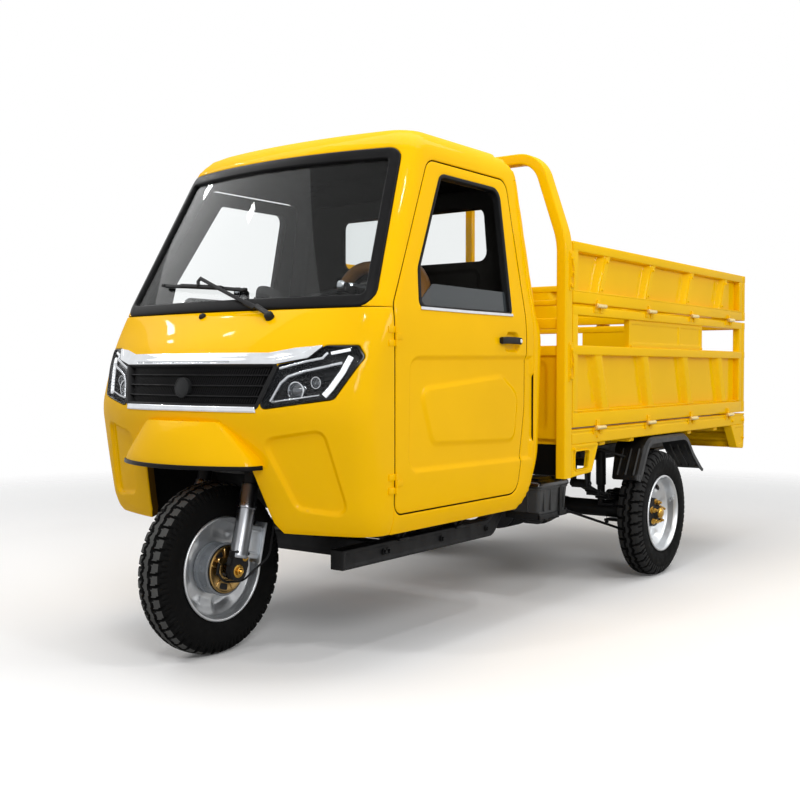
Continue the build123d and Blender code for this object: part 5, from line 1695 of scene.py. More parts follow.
@dataclass
class FrontHood:
    """Beak over the front wheel with a rubber lip along its foot."""

    heights: tuple = (612, 626, 650, 680, 708, 730, 744)
    halves: tuple = (285, 281, 262, 232, 204, 180, 160)
    fronts: tuple = (-206, -206, -201, -192, -180, -167, -155)
    corners: tuple = (-112, -112, -113, -116, -120, -124, -128)
    back: float = -30.0
    wall: float = 5.0
    across: int = 120

    def row(self, z: float, inset: float) -> Array:
        """Plan line at a height: side, arc through the front, side, with its corners rounded by
        averaging each point with its neighbours.

        Args:
            z: height.
            inset: how far the line is drawn in.

        Returns:
            The line's points.
        """
        half, front, corner = (float(np.interp(z, self.heights, values)) for values in
                               (self.halves, self.fronts, self.corners))
        half, front, corner = half - inset, front + inset, corner + inset
        sag = corner - front
        big = (half ** 2 + sag ** 2) / (2 * sag)
        x = np.linspace(-half, half, 60)
        arc = np.stack([x, front + big - np.sqrt(big ** 2 - x ** 2)], 1)
        line = np.vstack([(-half, self.back), arc, (half, self.back)])
        run = np.concatenate([[0], np.cumsum(np.linalg.norm(np.diff(line, axis=0), axis=1))])
        at = np.linspace(0, run[-1], self.across)
        line = np.stack([np.interp(at, run, line[:, n]) for n in (0, 1)], 1)
        for _ in range(14):
            line[1:-1] = (line[:-2] + 2 * line[1:-1] + line[2:]) / 4
        return np.column_stack([line, np.full(len(line), z)])

    def build(self) -> None:
        """Outer and inner skins from the foot to the crown, and the lip carried along the foot."""
        z = np.concatenate([np.linspace(612, 700, 12), np.linspace(706, 744, 12)])
        outer = np.array([self.row(height, 0.0) for height in z])
        for _ in range(3):
            outer[1:-1] = (outer[:-2] + 2 * outer[1:-1] + outer[2:]) / 4
        inner = np.array([self.row(height - self.wall, self.wall) if height - self.wall > 612 else
                          self.row(612, self.wall) for height in z])
        crown = outer[-1].copy()
        crown[:, 1] = np.maximum(crown[:, 1], self.back - 90)
        grid = np.concatenate([inner[::-1], outer, [(crown + outer[-1]) / 2, crown]])
        rows = len(grid)
        faces = grid_faces(rows, self.across, True, False)
        ends = [[row * self.across for row in range(rows)], [row * self.across + self.across - 1
                                                             for row in range(rows)][::-1]]
        piece("wheel_hood", (grid.reshape(-1, 3), faces + ends), YELLOW, "vehicle", ["front_mudguard"], smooth=50)
        foot = outer[0][6:-6]
        lip = carried(foot + (0, 0, -2.0), np.broadcast_to([0.0, 0, 1.0], foot.shape),
                      rounded([(-7, -5), (6, -4), (6, 3), (-7, 5)], 2.0, 2), closed=False)
        piece("hood_lip", lip, SEAL, "vehicle", smooth=50)


@dataclass
class Wiper:
    """Wiper with its spindle cap, two-part arm, bridge, claws and blade, and the washer jet."""

    pivot: tuple = (221, 1059)
    heel: tuple = (-152, 1196)
    blade: tuple = ((-359, 1186), (-250, 1179), (-150, 1171), (-40, 1162), (70, 1151))
    jet: tuple = (-79, 1070)

    def build(self) -> None:
        """All of it rides on the cab, a little off the glass."""
        knee = tuple(np.array(self.pivot) * 0.66 + np.array(self.heel) * 0.34)
        parts = [
            cap([(-8, 0), (-8, 15), (14, 15), (19, 13), (23, 8), (24, 0)], CAB.spot(*self.pivot, 2),
                CAB.facing(*self.pivot)),
            CAB.ribbon([self.pivot, knee], 17, 9, -17), CAB.ribbon([knee, self.heel], 12, 7, -18),
            CAB.ribbon([self.heel, (self.heel[0] - 8, self.heel[1] - 10), self.blade[2]], 12, 7, -16, 5.0),
            CAB.ribbon(self.blade, 5.0, 12.0, -0.5), CAB.ribbon(self.blade, 11.0, 4.0, -7.5),
            CAB.ribbon(self.blade[1:4], 12.0, 6.0, -13.0),
            cap([(-6, 0), (-6, 12), (5, 12), (10, 8), (11, 0)], CAB.spot(*self.jet), CAB.facing(*self.jet)),
        ]
        parts += [CAB.ribbon([(x - 6, z + 0.5), (x + 6, z - 0.5)], 11, 10, -9.5, 5.0)
                  for x, z in (self.blade[0], self.blade[1], self.blade[3], self.blade[4])]
        piece("wiper_set", joined(parts), BLACK_PLASTIC, "vehicle", ["wiper"], smooth=50)


# ---------------------------------------------------------------- wheels and fork
HUB_HEIGHT = 272.5
REAR_HUB = (598.0, 2068.0, HUB_HEIGHT)


def step_up(values: Array) -> Array:
    """3t^2 - 2t^3 of the values cut off at 0 and 1."""
    t = np.clip(values, 0, 1)
    return t * t * (3 - 2 * t)


@dataclass
class Tyre:
    """Tyre with a zigzag centre rib, rounded shoulder blocks and finer lugs down its walls."""

    blocks: int = 46
    steps: int = 9
    groove: float = 7.5
    rib: float = 14.5
    zigzag: float = 4.0
    face_half: float = 47.0
    face_depth: float = 1.2
    section: tuple = ((0, 272.4), (26, 271.0), (41, 265.5), (50, 252), (54.2, 238), (55.8, 222), (55, 200),
                      (52, 183), (47.5, 171), (45.7, 164), (45.7, 158.5))
    worn: Array | None = field(default=None, init=False)

    def outline(self) -> tuple[Array, Array, Array]:
        """Distance from the crown, (x, radius) and outward normal along the section, its corners
        eased by averaging over 9 mm.

        Returns:
            Distances from the crown, points and normals.
        """
        half = np.array(self.section, float)
        corners = np.vstack([half[::-1] * (-1, 1), half[1:]])
        run = np.concatenate([[0], np.cumsum(np.linalg.norm(np.diff(corners, axis=0), axis=1))])
        run -= run[len(half) - 1]
        inner = np.arange(-84, 84.1, 3.5)
        outer = np.linspace(84, run[-1], 9)[1:]
        along = np.concatenate([-outer[::-1], inner, outer])
        spread = np.linspace(-1, 1, 7)[None] * np.minimum(4.5, run[-1] - np.abs(along))[:, None]
        points = np.stack([np.interp(along[:, None] + spread, run, corners[:, n]).mean(1) for n in (0, 1)], 1)
        tangent = unit(np.gradient(points, axis=0))
        return along, points, np.stack([-tangent[:, 1], tangent[:, 0]], 1)

    def depth(self, turn: Array, along: Array) -> Array:
        """Depth of the tread below the section: a zigzag groove round each side of the rib, level
        grooves between the blocks, and shallow ones between the lugs.

        Args:
            turn: angles round the axle.
            along: distances from the crown.

        Returns:
            Depth at each pair.
        """
        away = np.abs(along)
        u = self.blocks * turn / TAU + np.where(along < 0, 0.5, 0.0)
        pitch = TAU * 272 / self.blocks
        wave = np.abs(2 * (u % 1) - 1) * 2 - 1
        edge = self.rib + self.zigzag * np.sign(wave) * np.abs(wave) ** 0.5
        ring = step_up((4.2 - np.abs(away - edge)) / 2.2)
        slant = (u + 0.5 + 0.003 * (away - self.rib)) % 1
        cross = step_up((4.0 - np.minimum(slant, 1 - slant) * pitch) / 2.0)
        cross = cross * step_up((away - edge) / 2.0) * (1 - step_up((away - 54) / 12))
        fine = (2 * u + 0.5) % 1
        lug = step_up((3.6 - np.minimum(fine, 1 - fine) * pitch / 2) / 2.4)
        lug = lug * step_up((away - 50) / 8) * (1 - step_up((away - 74) / 9)) * 0.45
        ridges = 0.9 * np.exp(-((away - 104) / 1.6) ** 2) + 1.2 * np.exp(-((away - 132) / 2.2) ** 2)
        return self.groove * np.maximum(np.maximum(ring, cross), lug) - ridges

    def mesh(self, centre: Sequence[float]) -> Mesh:
        """Section turned round the axle and lowered by the tread's depth; faces on top of the
        blocks are marked in worn.

        Args:
            centre: middle of the wheel.

        Returns:
            The tyre's mesh.
        """
        along, points, normal = self.outline()
        count = self.blocks * self.steps
        turn = np.arange(count) * TAU / count
        depth = self.depth(turn[:, None], along[None])
        x = points[None, :, 0] - normal[None, :, 0] * depth
        radius = points[None, :, 1] - normal[None, :, 1] * depth
        grid = np.stack([x, radius * np.cos(turn)[:, None], radius * np.sin(turn)[:, None]], -1)
        deep = np.maximum(depth, np.roll(depth, -1, 0))
        deep = np.maximum(deep, np.roll(deep, -1, 1))
        near = np.abs(along) < self.face_half
        self.worn = ((deep < self.face_depth) & near[None] & np.roll(near, -1)[None]).ravel()
        return grid.reshape(-1, 3) + np.asarray(centre), grid_faces(count, len(along), True, True)


@dataclass
class Rim:
    """Pressed steel wheel: rolled flanges, barrel, disc with pressed pockets, and hub."""

    disc: float
    hub_inner: float
    hub_outer: float
    bore: float
    pockets: int = 5
    pocket_depth: float = 13.0

    def mesh(self, centre: Sequence[float], steps: int = 120) -> Mesh:
        """Section turned about the axle; the disc dips by sin^2 across it times a pattern round
        it that repeats once for each pocket.

        Args:
            centre: middle of the wheel.
            steps: sides round it.

        Returns:
            The rim's mesh.
        """
        d, inner = self.disc, 152.0
        corners = [(-54, 166), (-46, 166), (-46, 157.8), (46, 157.8), (46, 166), (54, 166), (54, 157), (36, inner),
                   (d + 22, inner), (d + 11, inner - 28), (d + 3, inner - 54), (d + 3, 58), (self.hub_outer - 3, 48),
                   (self.hub_outer, 44), (self.hub_outer, self.bore), (self.hub_inner, self.bore),
                   (self.hub_inner, 46), (d - 2, 58), (d - 2, inner - 56), (d + 6, inner - 30), (d + 15, inner - 0.5),
                   (-36, inner), (-54, 157)]
        radii = [3.5, 3, 2, 2, 3, 3.5, 4, 6, 6, 16, 16, 5, 2, 1.5, 0.8, 0.8, 3, 5, 16, 16, 4, 6, 4]
        line = resampled(rounded(corners, radii, 2), 11.0)
        turn = np.arange(steps) * TAU / steps
        radius = np.broadcast_to(line[:, 1], (steps, len(line)))
        share = np.clip((radius - 92) / 56, 0, 1)
        around = step_up(0.5 + 0.9 * np.cos(self.pockets * turn))[:, None]
        dip = self.pocket_depth * np.sin(math.pi * share) ** 2 * around * (radius < 151)
        x = line[None, :, 0] - dip
        grid = np.stack([x, radius * np.cos(turn)[:, None], radius * np.sin(turn)[:, None]], -1)
        return grid.reshape(-1, 3) + np.asarray(centre), grid_faces(steps, len(line), True, True)


@dataclass
class Wheels:
    """Front wheel with its drum, and the two rear wheels with their hub bolts."""

    studs: int = 5
    stud_circle: float = 44.0

    def front(self) -> None:
        """Tyre, rim and brake drum; the drum's rim carries a rolled edge and small rivets."""
        centre = (0, 0, HUB_HEIGHT)
        tyre = Tyre()
        piece("front_tread", tyre.mesh(centre), TREAD, "front_wheel", ["front_tyre"], smooth=38,
              second=(DUSTY_FACE, tyre.worn))
        piece("front_rim_pressed", Rim(-4.0, -20.0, 12.0, 9.4).mesh(centre), SILVER, "front_wheel", ["front_rim"],
              smooth=50)
        drum = turned(rounded([(-2, 60), (-2, 82), (14, 82), (18, 79), (52, 79), (55, 84), (62, 84), (62, 76), (10, 74),
                               (10, 60)], [1.4, 8, 4, 4, 3, 2, 2, 1.4, 1.4, 1.4], 3), centre, 96)
        hub = turned(rounded([(-58, 9.4), (-58, 22), (-30, 24), (30, 24), (58, 22), (58, 9.4)], 1.5, 2), centre, 48)
        turn = np.arange(10) * TAU / 10
        rivets = [cap([(-2, 0), (-2, 4.5), (1.2, 4.2), (2.2, 2.2), (2.4, 0)],
                      (34, 79 * math.cos(a), HUB_HEIGHT + 79 * math.sin(a)), (0, math.cos(a), math.sin(a)), 12)
                  for a in turn]
        piece("front_drum", joined([drum, hub, *rivets]), DRUM_GREY, "front_wheel", smooth=40)
        valve = tube([(-40, 148, HUB_HEIGHT), (-52, 136, HUB_HEIGHT)], 3.6)
        piece("front_valve", valve, SEAL, "front_wheel")

    def rear(self, side: Side) -> None:
        """One rear wheel: tyre, rim, dark hub with studs and nuts, and cap.

        Args:
            side: which wheel.
        """
        body = f"rear_wheel_{side.value}"

        def lay(mesh: Mesh) -> Mesh:
            """The left wheel's mesh, or its mirror image."""
            return mesh if side is Side.LEFT else mirrored(mesh)

        tyre = Tyre(blocks=36, steps=11, groove=9.0, rib=13.0, zigzag=4.6, face_half=80.0)
        # The worn faces take the darker tread face: painted shade for the shadow under the bed.
        piece(f"rear_tread_{side.value}", lay(tyre.mesh(REAR_HUB)), TREAD, body, [f"rear_tyre_{side.value}"], smooth=38,
              second=(SHADED_TREAD_FACE, tyre.worn))
        rim = Rim(-16.0, -26.0, 2.0, 20.3, pocket_depth=9.0)
        piece(f"rear_rim_pressed_{side.value}", lay(rim.mesh(REAR_HUB)), BRIGHT_SILVER, body,
              [f"rear_rim_{side.value}"], smooth=50)
        x, y, z = REAR_HUB
        hub = cap([(-14, 20.5), (-14, 64), (6, 63), (11, 62), (14, 60), (16, 50), (22, 34), (30, 30), (34, 28),
                   (34, 20.5)], REAR_HUB, (1, 0, 0), 64)
        slots = [moved(prism(rounded([(-13, 118), (13, 118), (15, 134), (-15, 134)], 6, 4), "x", 588.5, 595.0),
                       Matrix.Translation((0, REAR_HUB[1], REAR_HUB[2])) @ Matrix.Rotation(a, 4, "X"))
                 for a in np.arange(self.studs) * TAU / self.studs + TAU / 10]
        piece(f"rear_hub_{side.value}", lay(joined([hub, *slots])), CHASSIS, body)
        turn = np.arange(self.studs) * TAU / self.studs + 0.3
        studs = []
        for a in turn:
            at = (x + 14, y + self.stud_circle * math.cos(a), z + self.stud_circle * math.sin(a))
            studs += [cap([(0, 0), (0, 15), (6, 13), (6, 0)], at, (1, 0, 0), 24),
                      bolt((x + 19, at[1], at[2]), (1, 0, 0), 19.0, 14.0), tube([at, (x + 44, at[1], at[2])], 5.5, 12)]
        piece(f"rear_studs_{side.value}", lay(joined(studs)), BRASS, body, smooth=35)
        nut = cap([(36.6, 0), (36.6, 24), (43, 24), (47, 21), (50, 12), (50.5, 0)], REAR_HUB, (1, 0, 0), 40)
        piece(f"rear_cap_{side.value}", lay(nut), BRASS, body)

    def build(self) -> None:
        """Makes the three wheels."""
        self.front()
        self.rear(Side.LEFT)
        self.rear(Side.RIGHT)


@dataclass
class Fork:
    """Leading fork: yoke and stem, two telescopic legs with castings, brake plate and axle."""

    rake: float = 14.0
    half: float = 106.0
    stem_offset: float = 32.0

    def raked(self, mesh: Mesh) -> Mesh:
        """From the fork's own frame, z up the legs from the axle, to the vehicle's."""
        turn = Matrix.Rotation(math.radians(-self.rake), 4, "X")
        return moved(mesh, Matrix.Translation((0, 0, HUB_HEIGHT)) @ turn)

    def dark_parts(self) -> None:
        """Yoke, stem and the castings that hold the axle."""
        h, s = self.half, self.stem_offset
        yoke = block((-h - 30, -32, 309), (h + 30, s + 32, 335), 12, 3)
        boss = [cap([(0, 0), (0, 33), (10, 32), (10, 0)], (x, 0, 335), (0, 0, 1), 32) for x in (-h, h)]
        stem = tube([(0, s, 322), (0, s, 852)], 17.0, 32)
        casting = rounded([(-30, 62), (32, 58), (40, 22), (34, -16), (10, -31), (-16, -29), (-31, -8)],
                          (6, 6, 14, 14, 14, 14, 16), 4)
        foot = prism(casting, "x", h - 13, h + 11)
        clamp = block((h - 20, -27, 52), (h + 20, 32, 64), 8, 3)
        lug = block((h - 6, -44, 14), (h + 6, -22, 40), 5, 2)
        arm = block((50, 12, 36), (h - 10, 28, 66), 5, 2)
        mesh = joined([yoke, *boss, stem, both_sides(joined([foot, clamp, lug])), arm])
        piece("fork_castings", self.raked(mesh), CHASSIS, "steering", ["fork"], smooth=38)

    def legs(self) -> None:
        """Upper tubes, lower sleeves with their collars, and the square guards behind them."""
        h = self.half
        upper = tube([(h, 0, 205), (h, 0, 322)], 23.0, 32)
        sleeve = cap([(41, 0), (41, 28), (45, 29.5), (52, 29.5), (54, 28.4), (196, 28.4), (198, 30.5), (207, 30.5),
                      (211, 28), (268, 28), (274, 26), (276, 0)], (h, 0, 0), (0, 0, 1), 48)
        piece("fork_tubes", self.raked(both_sides(upper)), CHASSIS, "steering")
        guard = joined([block((h - 13, 24, 44), (h + 13, 78, 150), 6, 2),
                        block((h - 24, 74, 34), (h + 24, 82, 164), 3, 2),
                        *(block((h - 16, 20, z), (h + 16, 76, z + 8), 2, 2) for z in (58, 128))])
        piece("fork_sleeves", self.raked(both_sides(sleeve)), SLEEVE, "steering", smooth=40)
        piece("fork_guards", self.raked(both_sides(guard)), GUARD_ALLOY, "steering", smooth=40)

    def brake(self) -> None:
        """Plated brake plate with a stepped face, its windows, the cam lever and its rod."""
        zinc = cap([(63, 26), (63, 73), (64.5, 74.5), (68, 74.5), (69.5, 71), (67, 66), (66, 56), (66, 42), (71, 36),
                    (72, 26)], (0, 0, 0), (1, 0, 0), 72)
        ribs = [block((65, -3, 34), (69, 3, 69), 1.5, 1)]
        ribs = [moved(ribs[0], Matrix.Rotation(a, 4, "X")) for a in (0.4, 1.5, 2.6, 3.7, 5.2)]
        cam = cap([(64, 0), (64, 10), (76, 10), (78, 8), (78, 0)], (0, -44, 24), (1, 0, 0), 24)
        piece("brake_plate", self.raked(joined([zinc, *ribs, cam])), ZINC, "steering", smooth=40)
        windows = [moved(prism(rounded([(-15, 44), (15, 44), (18, 64), (-18, 64)], 5, 3), "x", 65.0, 66.8),
                         Matrix.Rotation(a, 4, "X")) for a in (0.9, 3.1)]
        lever = joined([block((73, -52, -22), (77, -40, 32), 2.0, 2), *windows])
        rod = tube(bent([(78, -46, -16), (79, -20, -40), (84, 60, -30), (124, 120, 60), (110, 130, 240)], 20), 3.5, 10)
        piece("brake_lever", self.raked(joined([lever, rod])), CHASSIS, "steering", smooth=40)
        h = self.half
        ends = [bolt((x, 0, 0), (x, 0, 0), 25.0, 9.0) for x in (h + 11, -h - 11)]
        spacer = both_sides(cap([(59, 9), (59, 15), (h - 13, 15), (h - 13, 9)], (0, 0, 0), (1, 0, 0), 32))
        pins = [tube([(x, 0, 0), (x * 1.1, 0, 0)], 8.0, 20) for x in (h + 16, -h - 16)]
        cross = [bolt((x, 20, 44), (x, 0, 0), 14.0, 6.0) for x in (h + 11, -h - 11)]
        piece("axle_nuts", self.raked(joined([*ends, *pins, spacer, *cross])), BRASS, "steering", smooth=35)

    def build(self) -> None:
        """Makes the fork's pieces."""
        self.dark_parts()
        self.legs()
        self.brake()


# ---------------------------------------------------------------- load bed
BED_FACE = 640.0
BED_FRONT = 1223.0
BED_BACK = 3148.0
SIDE_MIDDLE = 2167.5
SIDE_LENGTH = 1877.0
TAIL_LENGTH = 1280.0
HINGE_SHARES = (-0.39, -0.13, 0.13, 0.39)
LOWER_HINGE = 676.0
UPPER_HINGE = 1146.0


class Side(Enum):
    """Side of the vehicle on which a board, door or wheel is."""

    LEFT = "left"
    RIGHT = "right"
    TAIL = "tail"

    def lay(self, mesh: Mesh) -> Mesh:
        """From a board's own frame (x out of its outer face, y along it) to the vehicle's.

        Args:
            mesh: the board's mesh.

        Returns:
            The mesh in the vehicle.
        """
        points, faces = mesh
        points = np.asarray(points, float)
        if self is Side.TAIL:
            return np.stack([-points[:, 1], points[:, 0] + BED_BACK, points[:, 2]], 1), faces
        left = points + (BED_FACE, SIDE_MIDDLE, 0.0), faces
        return left if self is Side.LEFT else mirrored(left)

    @property
    def length(self) -> float:
        """Length of the boards on this side."""
        return TAIL_LENGTH if self is Side.TAIL else SIDE_LENGTH

    @property
    def hinges(self) -> list[float]:
        """Places of the hinges along the boards."""
        return [share * self.length for share in HINGE_SHARES]

    def body(self, level: str) -> str:
        """Name of the lower or upper board's body."""
        return f"{level}_tailgate" if self is Side.TAIL else f"{level}_board_{self.value}"


def knuckle(start: float, length: float, z: float, inner: float = 0.0) -> Mesh:
    """Hinge barrel along y, 14 mm out of the boards' face, bored if an inner radius is given."""
    ends = [(0, inner), (0, 7.2), (0.8, 8), (length - 0.8, 8), (length, 7.2), (length, inner)]
    return cap(ends, (14, start, z), (0, 1, 0), 24)


def hinge_leaf(start: float, length: float, z: float, far: float) -> list[Mesh]:
    """Strap from the barrel: across the boards' face, then along it to a height, with two rivets.

    Args:
        start: where it starts along the board.
        length: its width along the board.
        z: height of the barrel.
        far: height of its far end.

    Returns:
        Strap and rivets.
    """
    turn = 1 if far > z else -1
    near = z + turn * 2.4
    strap = rounded([(15, near + turn * 5.2), (15, near), (-1, near), (-1, far), (4.8, far), (4.8, near + turn * 5.2)],
                    (2, 2, 0.5, 1, 2, 1.5), 3)
    half = prism(strap, "y", start + 0.3, start + length - 0.3)
    middle, height = start + length / 2, far - turn * 9
    rivet = cap([(0, 4.4), (1.4, 4.0), (2.2, 2.4), (2.4, 0), (0, 0)], (4.6, middle, height), (1, 0, 0), 14)
    return [half, rivet]


def hinge_set(side: "Side", name: str, body: str, fixed: Sequence[tuple[float, float]] = (),
              moving: Sequence[tuple[float, float]] = ()) -> None:
    """Halves of a row of hinges: barrels and pins in a pale cream metal that is a painted highlight for the light on
    their yellow paint, on straps in the bed's yellow paint.

    Args:
        side: side of the bed.
        name: start of the pieces' names.
        body: body they ride on.
        fixed: (height, end of the strap) of rows of fixed halves, two end barrels with the pin.
        moving: (height, end of the strap) of rows of moving halves, a middle barrel.
    """
    barrels, straps = [], []
    for y in side.hinges:
        for z, end in fixed:
            barrels.append(tube([(14, y - 40, z), (14, y + 40, z)], 4.0, 12))
            for start in (y - 39.0, y + 13.3):
                barrels.append(knuckle(start, 25.7, z, 3.9))
                straps += hinge_leaf(start, 25.7, z, end)
        for z, end in moving:
            barrels.append(knuckle(y - 13, 26.0, z, 4.3))
            straps += hinge_leaf(y - 13, 26.0, z, end)
    # Barrels in pale cream metal: painted highlight, the light on the hinges' yellow paint.
    piece(f"{name}_barrels", side.lay(joined(barrels)), HINGE_HIGHLIGHT, body, smooth=35)
    piece(f"{name}_straps", side.lay(joined(straps)), BED_YELLOW, body, smooth=35)


@dataclass
class Board:
    """One side's lower and upper drop boards: pressed sheets in welded frames, with hinges."""

    side: Side
    thick: float = 36.0
    stile: float = 44.0
    rib_half: float = 38.0
    rib_rise: float = 25.0
    slant: float = 96.0
    plate: tuple = (0.275, 0.713)

    def sheet(self, bottom: float, top: float, slant: float) -> Mesh:
        """Sheet with slanting ribs pressed outward, each with a bead along one side of its crown.

        Args:
            bottom: lower edge.
            top: upper edge.
            slant: how far a rib's top lies beyond its foot.

        Returns:
            The sheet's mesh.
        """
        half = self.side.length / 2
        count = 3 if self.side is Side.TAIL else 4
        pitch = (self.side.length - 2 * self.stile) / count
        ribs = []
        for number in range(count):
            middle = -half + self.stile + pitch * (number + 0.5)
            low, high = middle + slant / 2, middle - slant / 2
            over = 26.0
            lean = slant / (top - bottom) * over
            for low_edge, high_edge, rise, slope in ((-self.rib_half, self.rib_half, self.rib_rise, 24.0),
                                                     (2.0, 15.0, 2.6, 7.0)):
                loop = np.array([(low + low_edge + lean, bottom - over), (low + high_edge + lean, bottom - over),
                                 (high + high_edge - lean, top + over), (high + low_edge - lean, top + over)])
                ribs.append(Press(loop, -rise, slope))
        outline = np.array([(-half + 4, bottom + 4), (half - 4, bottom + 4), (half - 4, top - 4), (-half + 4, top - 4)])
        made = Sheet(outline, lambda u, v, d: np.stack([-30.0 - d, u, v], -1), 3.0, presses=ribs, roll=0.0, pitch=26.0)
        return made.mesh()

    def rails(self, levels: Sequence[tuple[float, float]], bottom: float, top: float) -> list[Mesh]:
        """Level rails over the whole length and the two end stiles between bottom and top.

        Args:
            levels: low and high edge of each rail.
            bottom: foot of the stiles.
            top: top of the stiles.

        Returns:
            The rails and stiles.
        """
        half = self.side.length / 2
        bars = [block((-self.thick, -half, low), (0, half, high), 4.5, 3) for low, high in levels]
        bars += [block((-self.thick + 1, start + 1.2, bottom + 1), (-1, start + self.stile - 1.2, top - 1), 4.0, 3)
                 for start in (-half, half - self.stile)]
        return bars

    def lower(self) -> None:
        """Lower board: ribbed panel, open band with a pressed plate, and both sets of hinges."""
        half, body = self.side.length / 2, self.side.body("lower")
        parts = self.rails([(682, 738), (956, 992), (1106, 1141)], 682, 1141)
        parts += [block((-2, -half + 8, 742), (1.5, half - 8, 747), 1.4, 1)]
        parts += [self.sheet(684, 990, self.slant)]
        piece(f"{body}_panel", self.side.lay(joined(parts)), BED_YELLOW, body, [body], smooth=40)
        start, end = (-half + self.side.length * share for share in self.plate)
        middle = start + (end - start) * 0.66
        frame = Press(rounded([(start + 26, 1012), (middle - 8, 1012), (middle - 8, 1088), (start + 26, 1088)], 8),
                      5.0, 9.0)
        other = Press(rounded([(middle + 8, 1012), (end - 26, 1012), (end - 26, 1088), (middle + 8, 1088)], 8),
                      5.0, 9.0)
        shield = Sheet(rounded([(start, 990), (end, 990), (end, 1108), (start, 1108)], 3),
                       lambda u, v, d: np.stack([-9.0 - d, u, v], -1), 24.0, presses=[frame, other], roll=3.0,
                       pitch=14.0)
        bolts = [bolt((-9, y, 998), (1, 0, 0), 8.0, 4.0) for y in (start + 14, end - 14)]
        piece(f"{body}_plate", self.side.lay(joined([shield.mesh(), *bolts])), BED_YELLOW, body, smooth=50)
        hinge_set(self.side, f"{body}_hinge", body, [(UPPER_HINGE, 1120)], [(LOWER_HINGE, 706)])

    def upper(self) -> None:
        """Upper board: ribbed panel whose ribs lean the other way, each under a bolted strap."""
        body = self.side.body("upper")
        half = self.side.length / 2
        parts = self.rails([(1151, 1197), (1345, 1381)], 1151, 1381)
        parts += [block((-2, -half + 8, 1193), (1.2, half - 8, 1199), 1.1, 1)]
        parts += [self.sheet(1153, 1379, -self.slant)]
        piece(f"{body}_panel", self.side.lay(joined(parts)), BED_YELLOW, body, [body], smooth=40)
        count = 3 if self.side is Side.TAIL else 4
        pitch = (self.side.length - 2 * self.stile) / count
        straps = []
        for number in range(count):
            y = -half + self.stile + pitch * (number + 0.5)
            lean = self.slant / 230.0
            line = rounded([(y - 18 - lean * 68, 1198), (y + 18 - lean * 68, 1198), (y + 18 + lean * 79, 1345),
                            (y - 18 + lean * 79, 1345)], (10, 10, 16, 16), 5)
            straps.append(prism(line, "x", -6.2, -2.6))
            straps.append(bolt((-3.2, y + lean * 58, 1324), (1, 0, 0), 11.0, 5.0))
            straps.append(bolt((-3.2, y - lean * 54, 1212), (1, 0, 0), 8.0, 4.0))
        piece(f"{body}_rib_straps", self.side.lay(joined(straps)), BED_YELLOW, body, smooth=35, bevel=0.8)
        hinge_set(self.side, f"{body}_hinge", body, moving=[(UPPER_HINGE, 1170)])

    def build(self) -> None:
        """Makes both boards."""
        self.lower()
        self.upper()


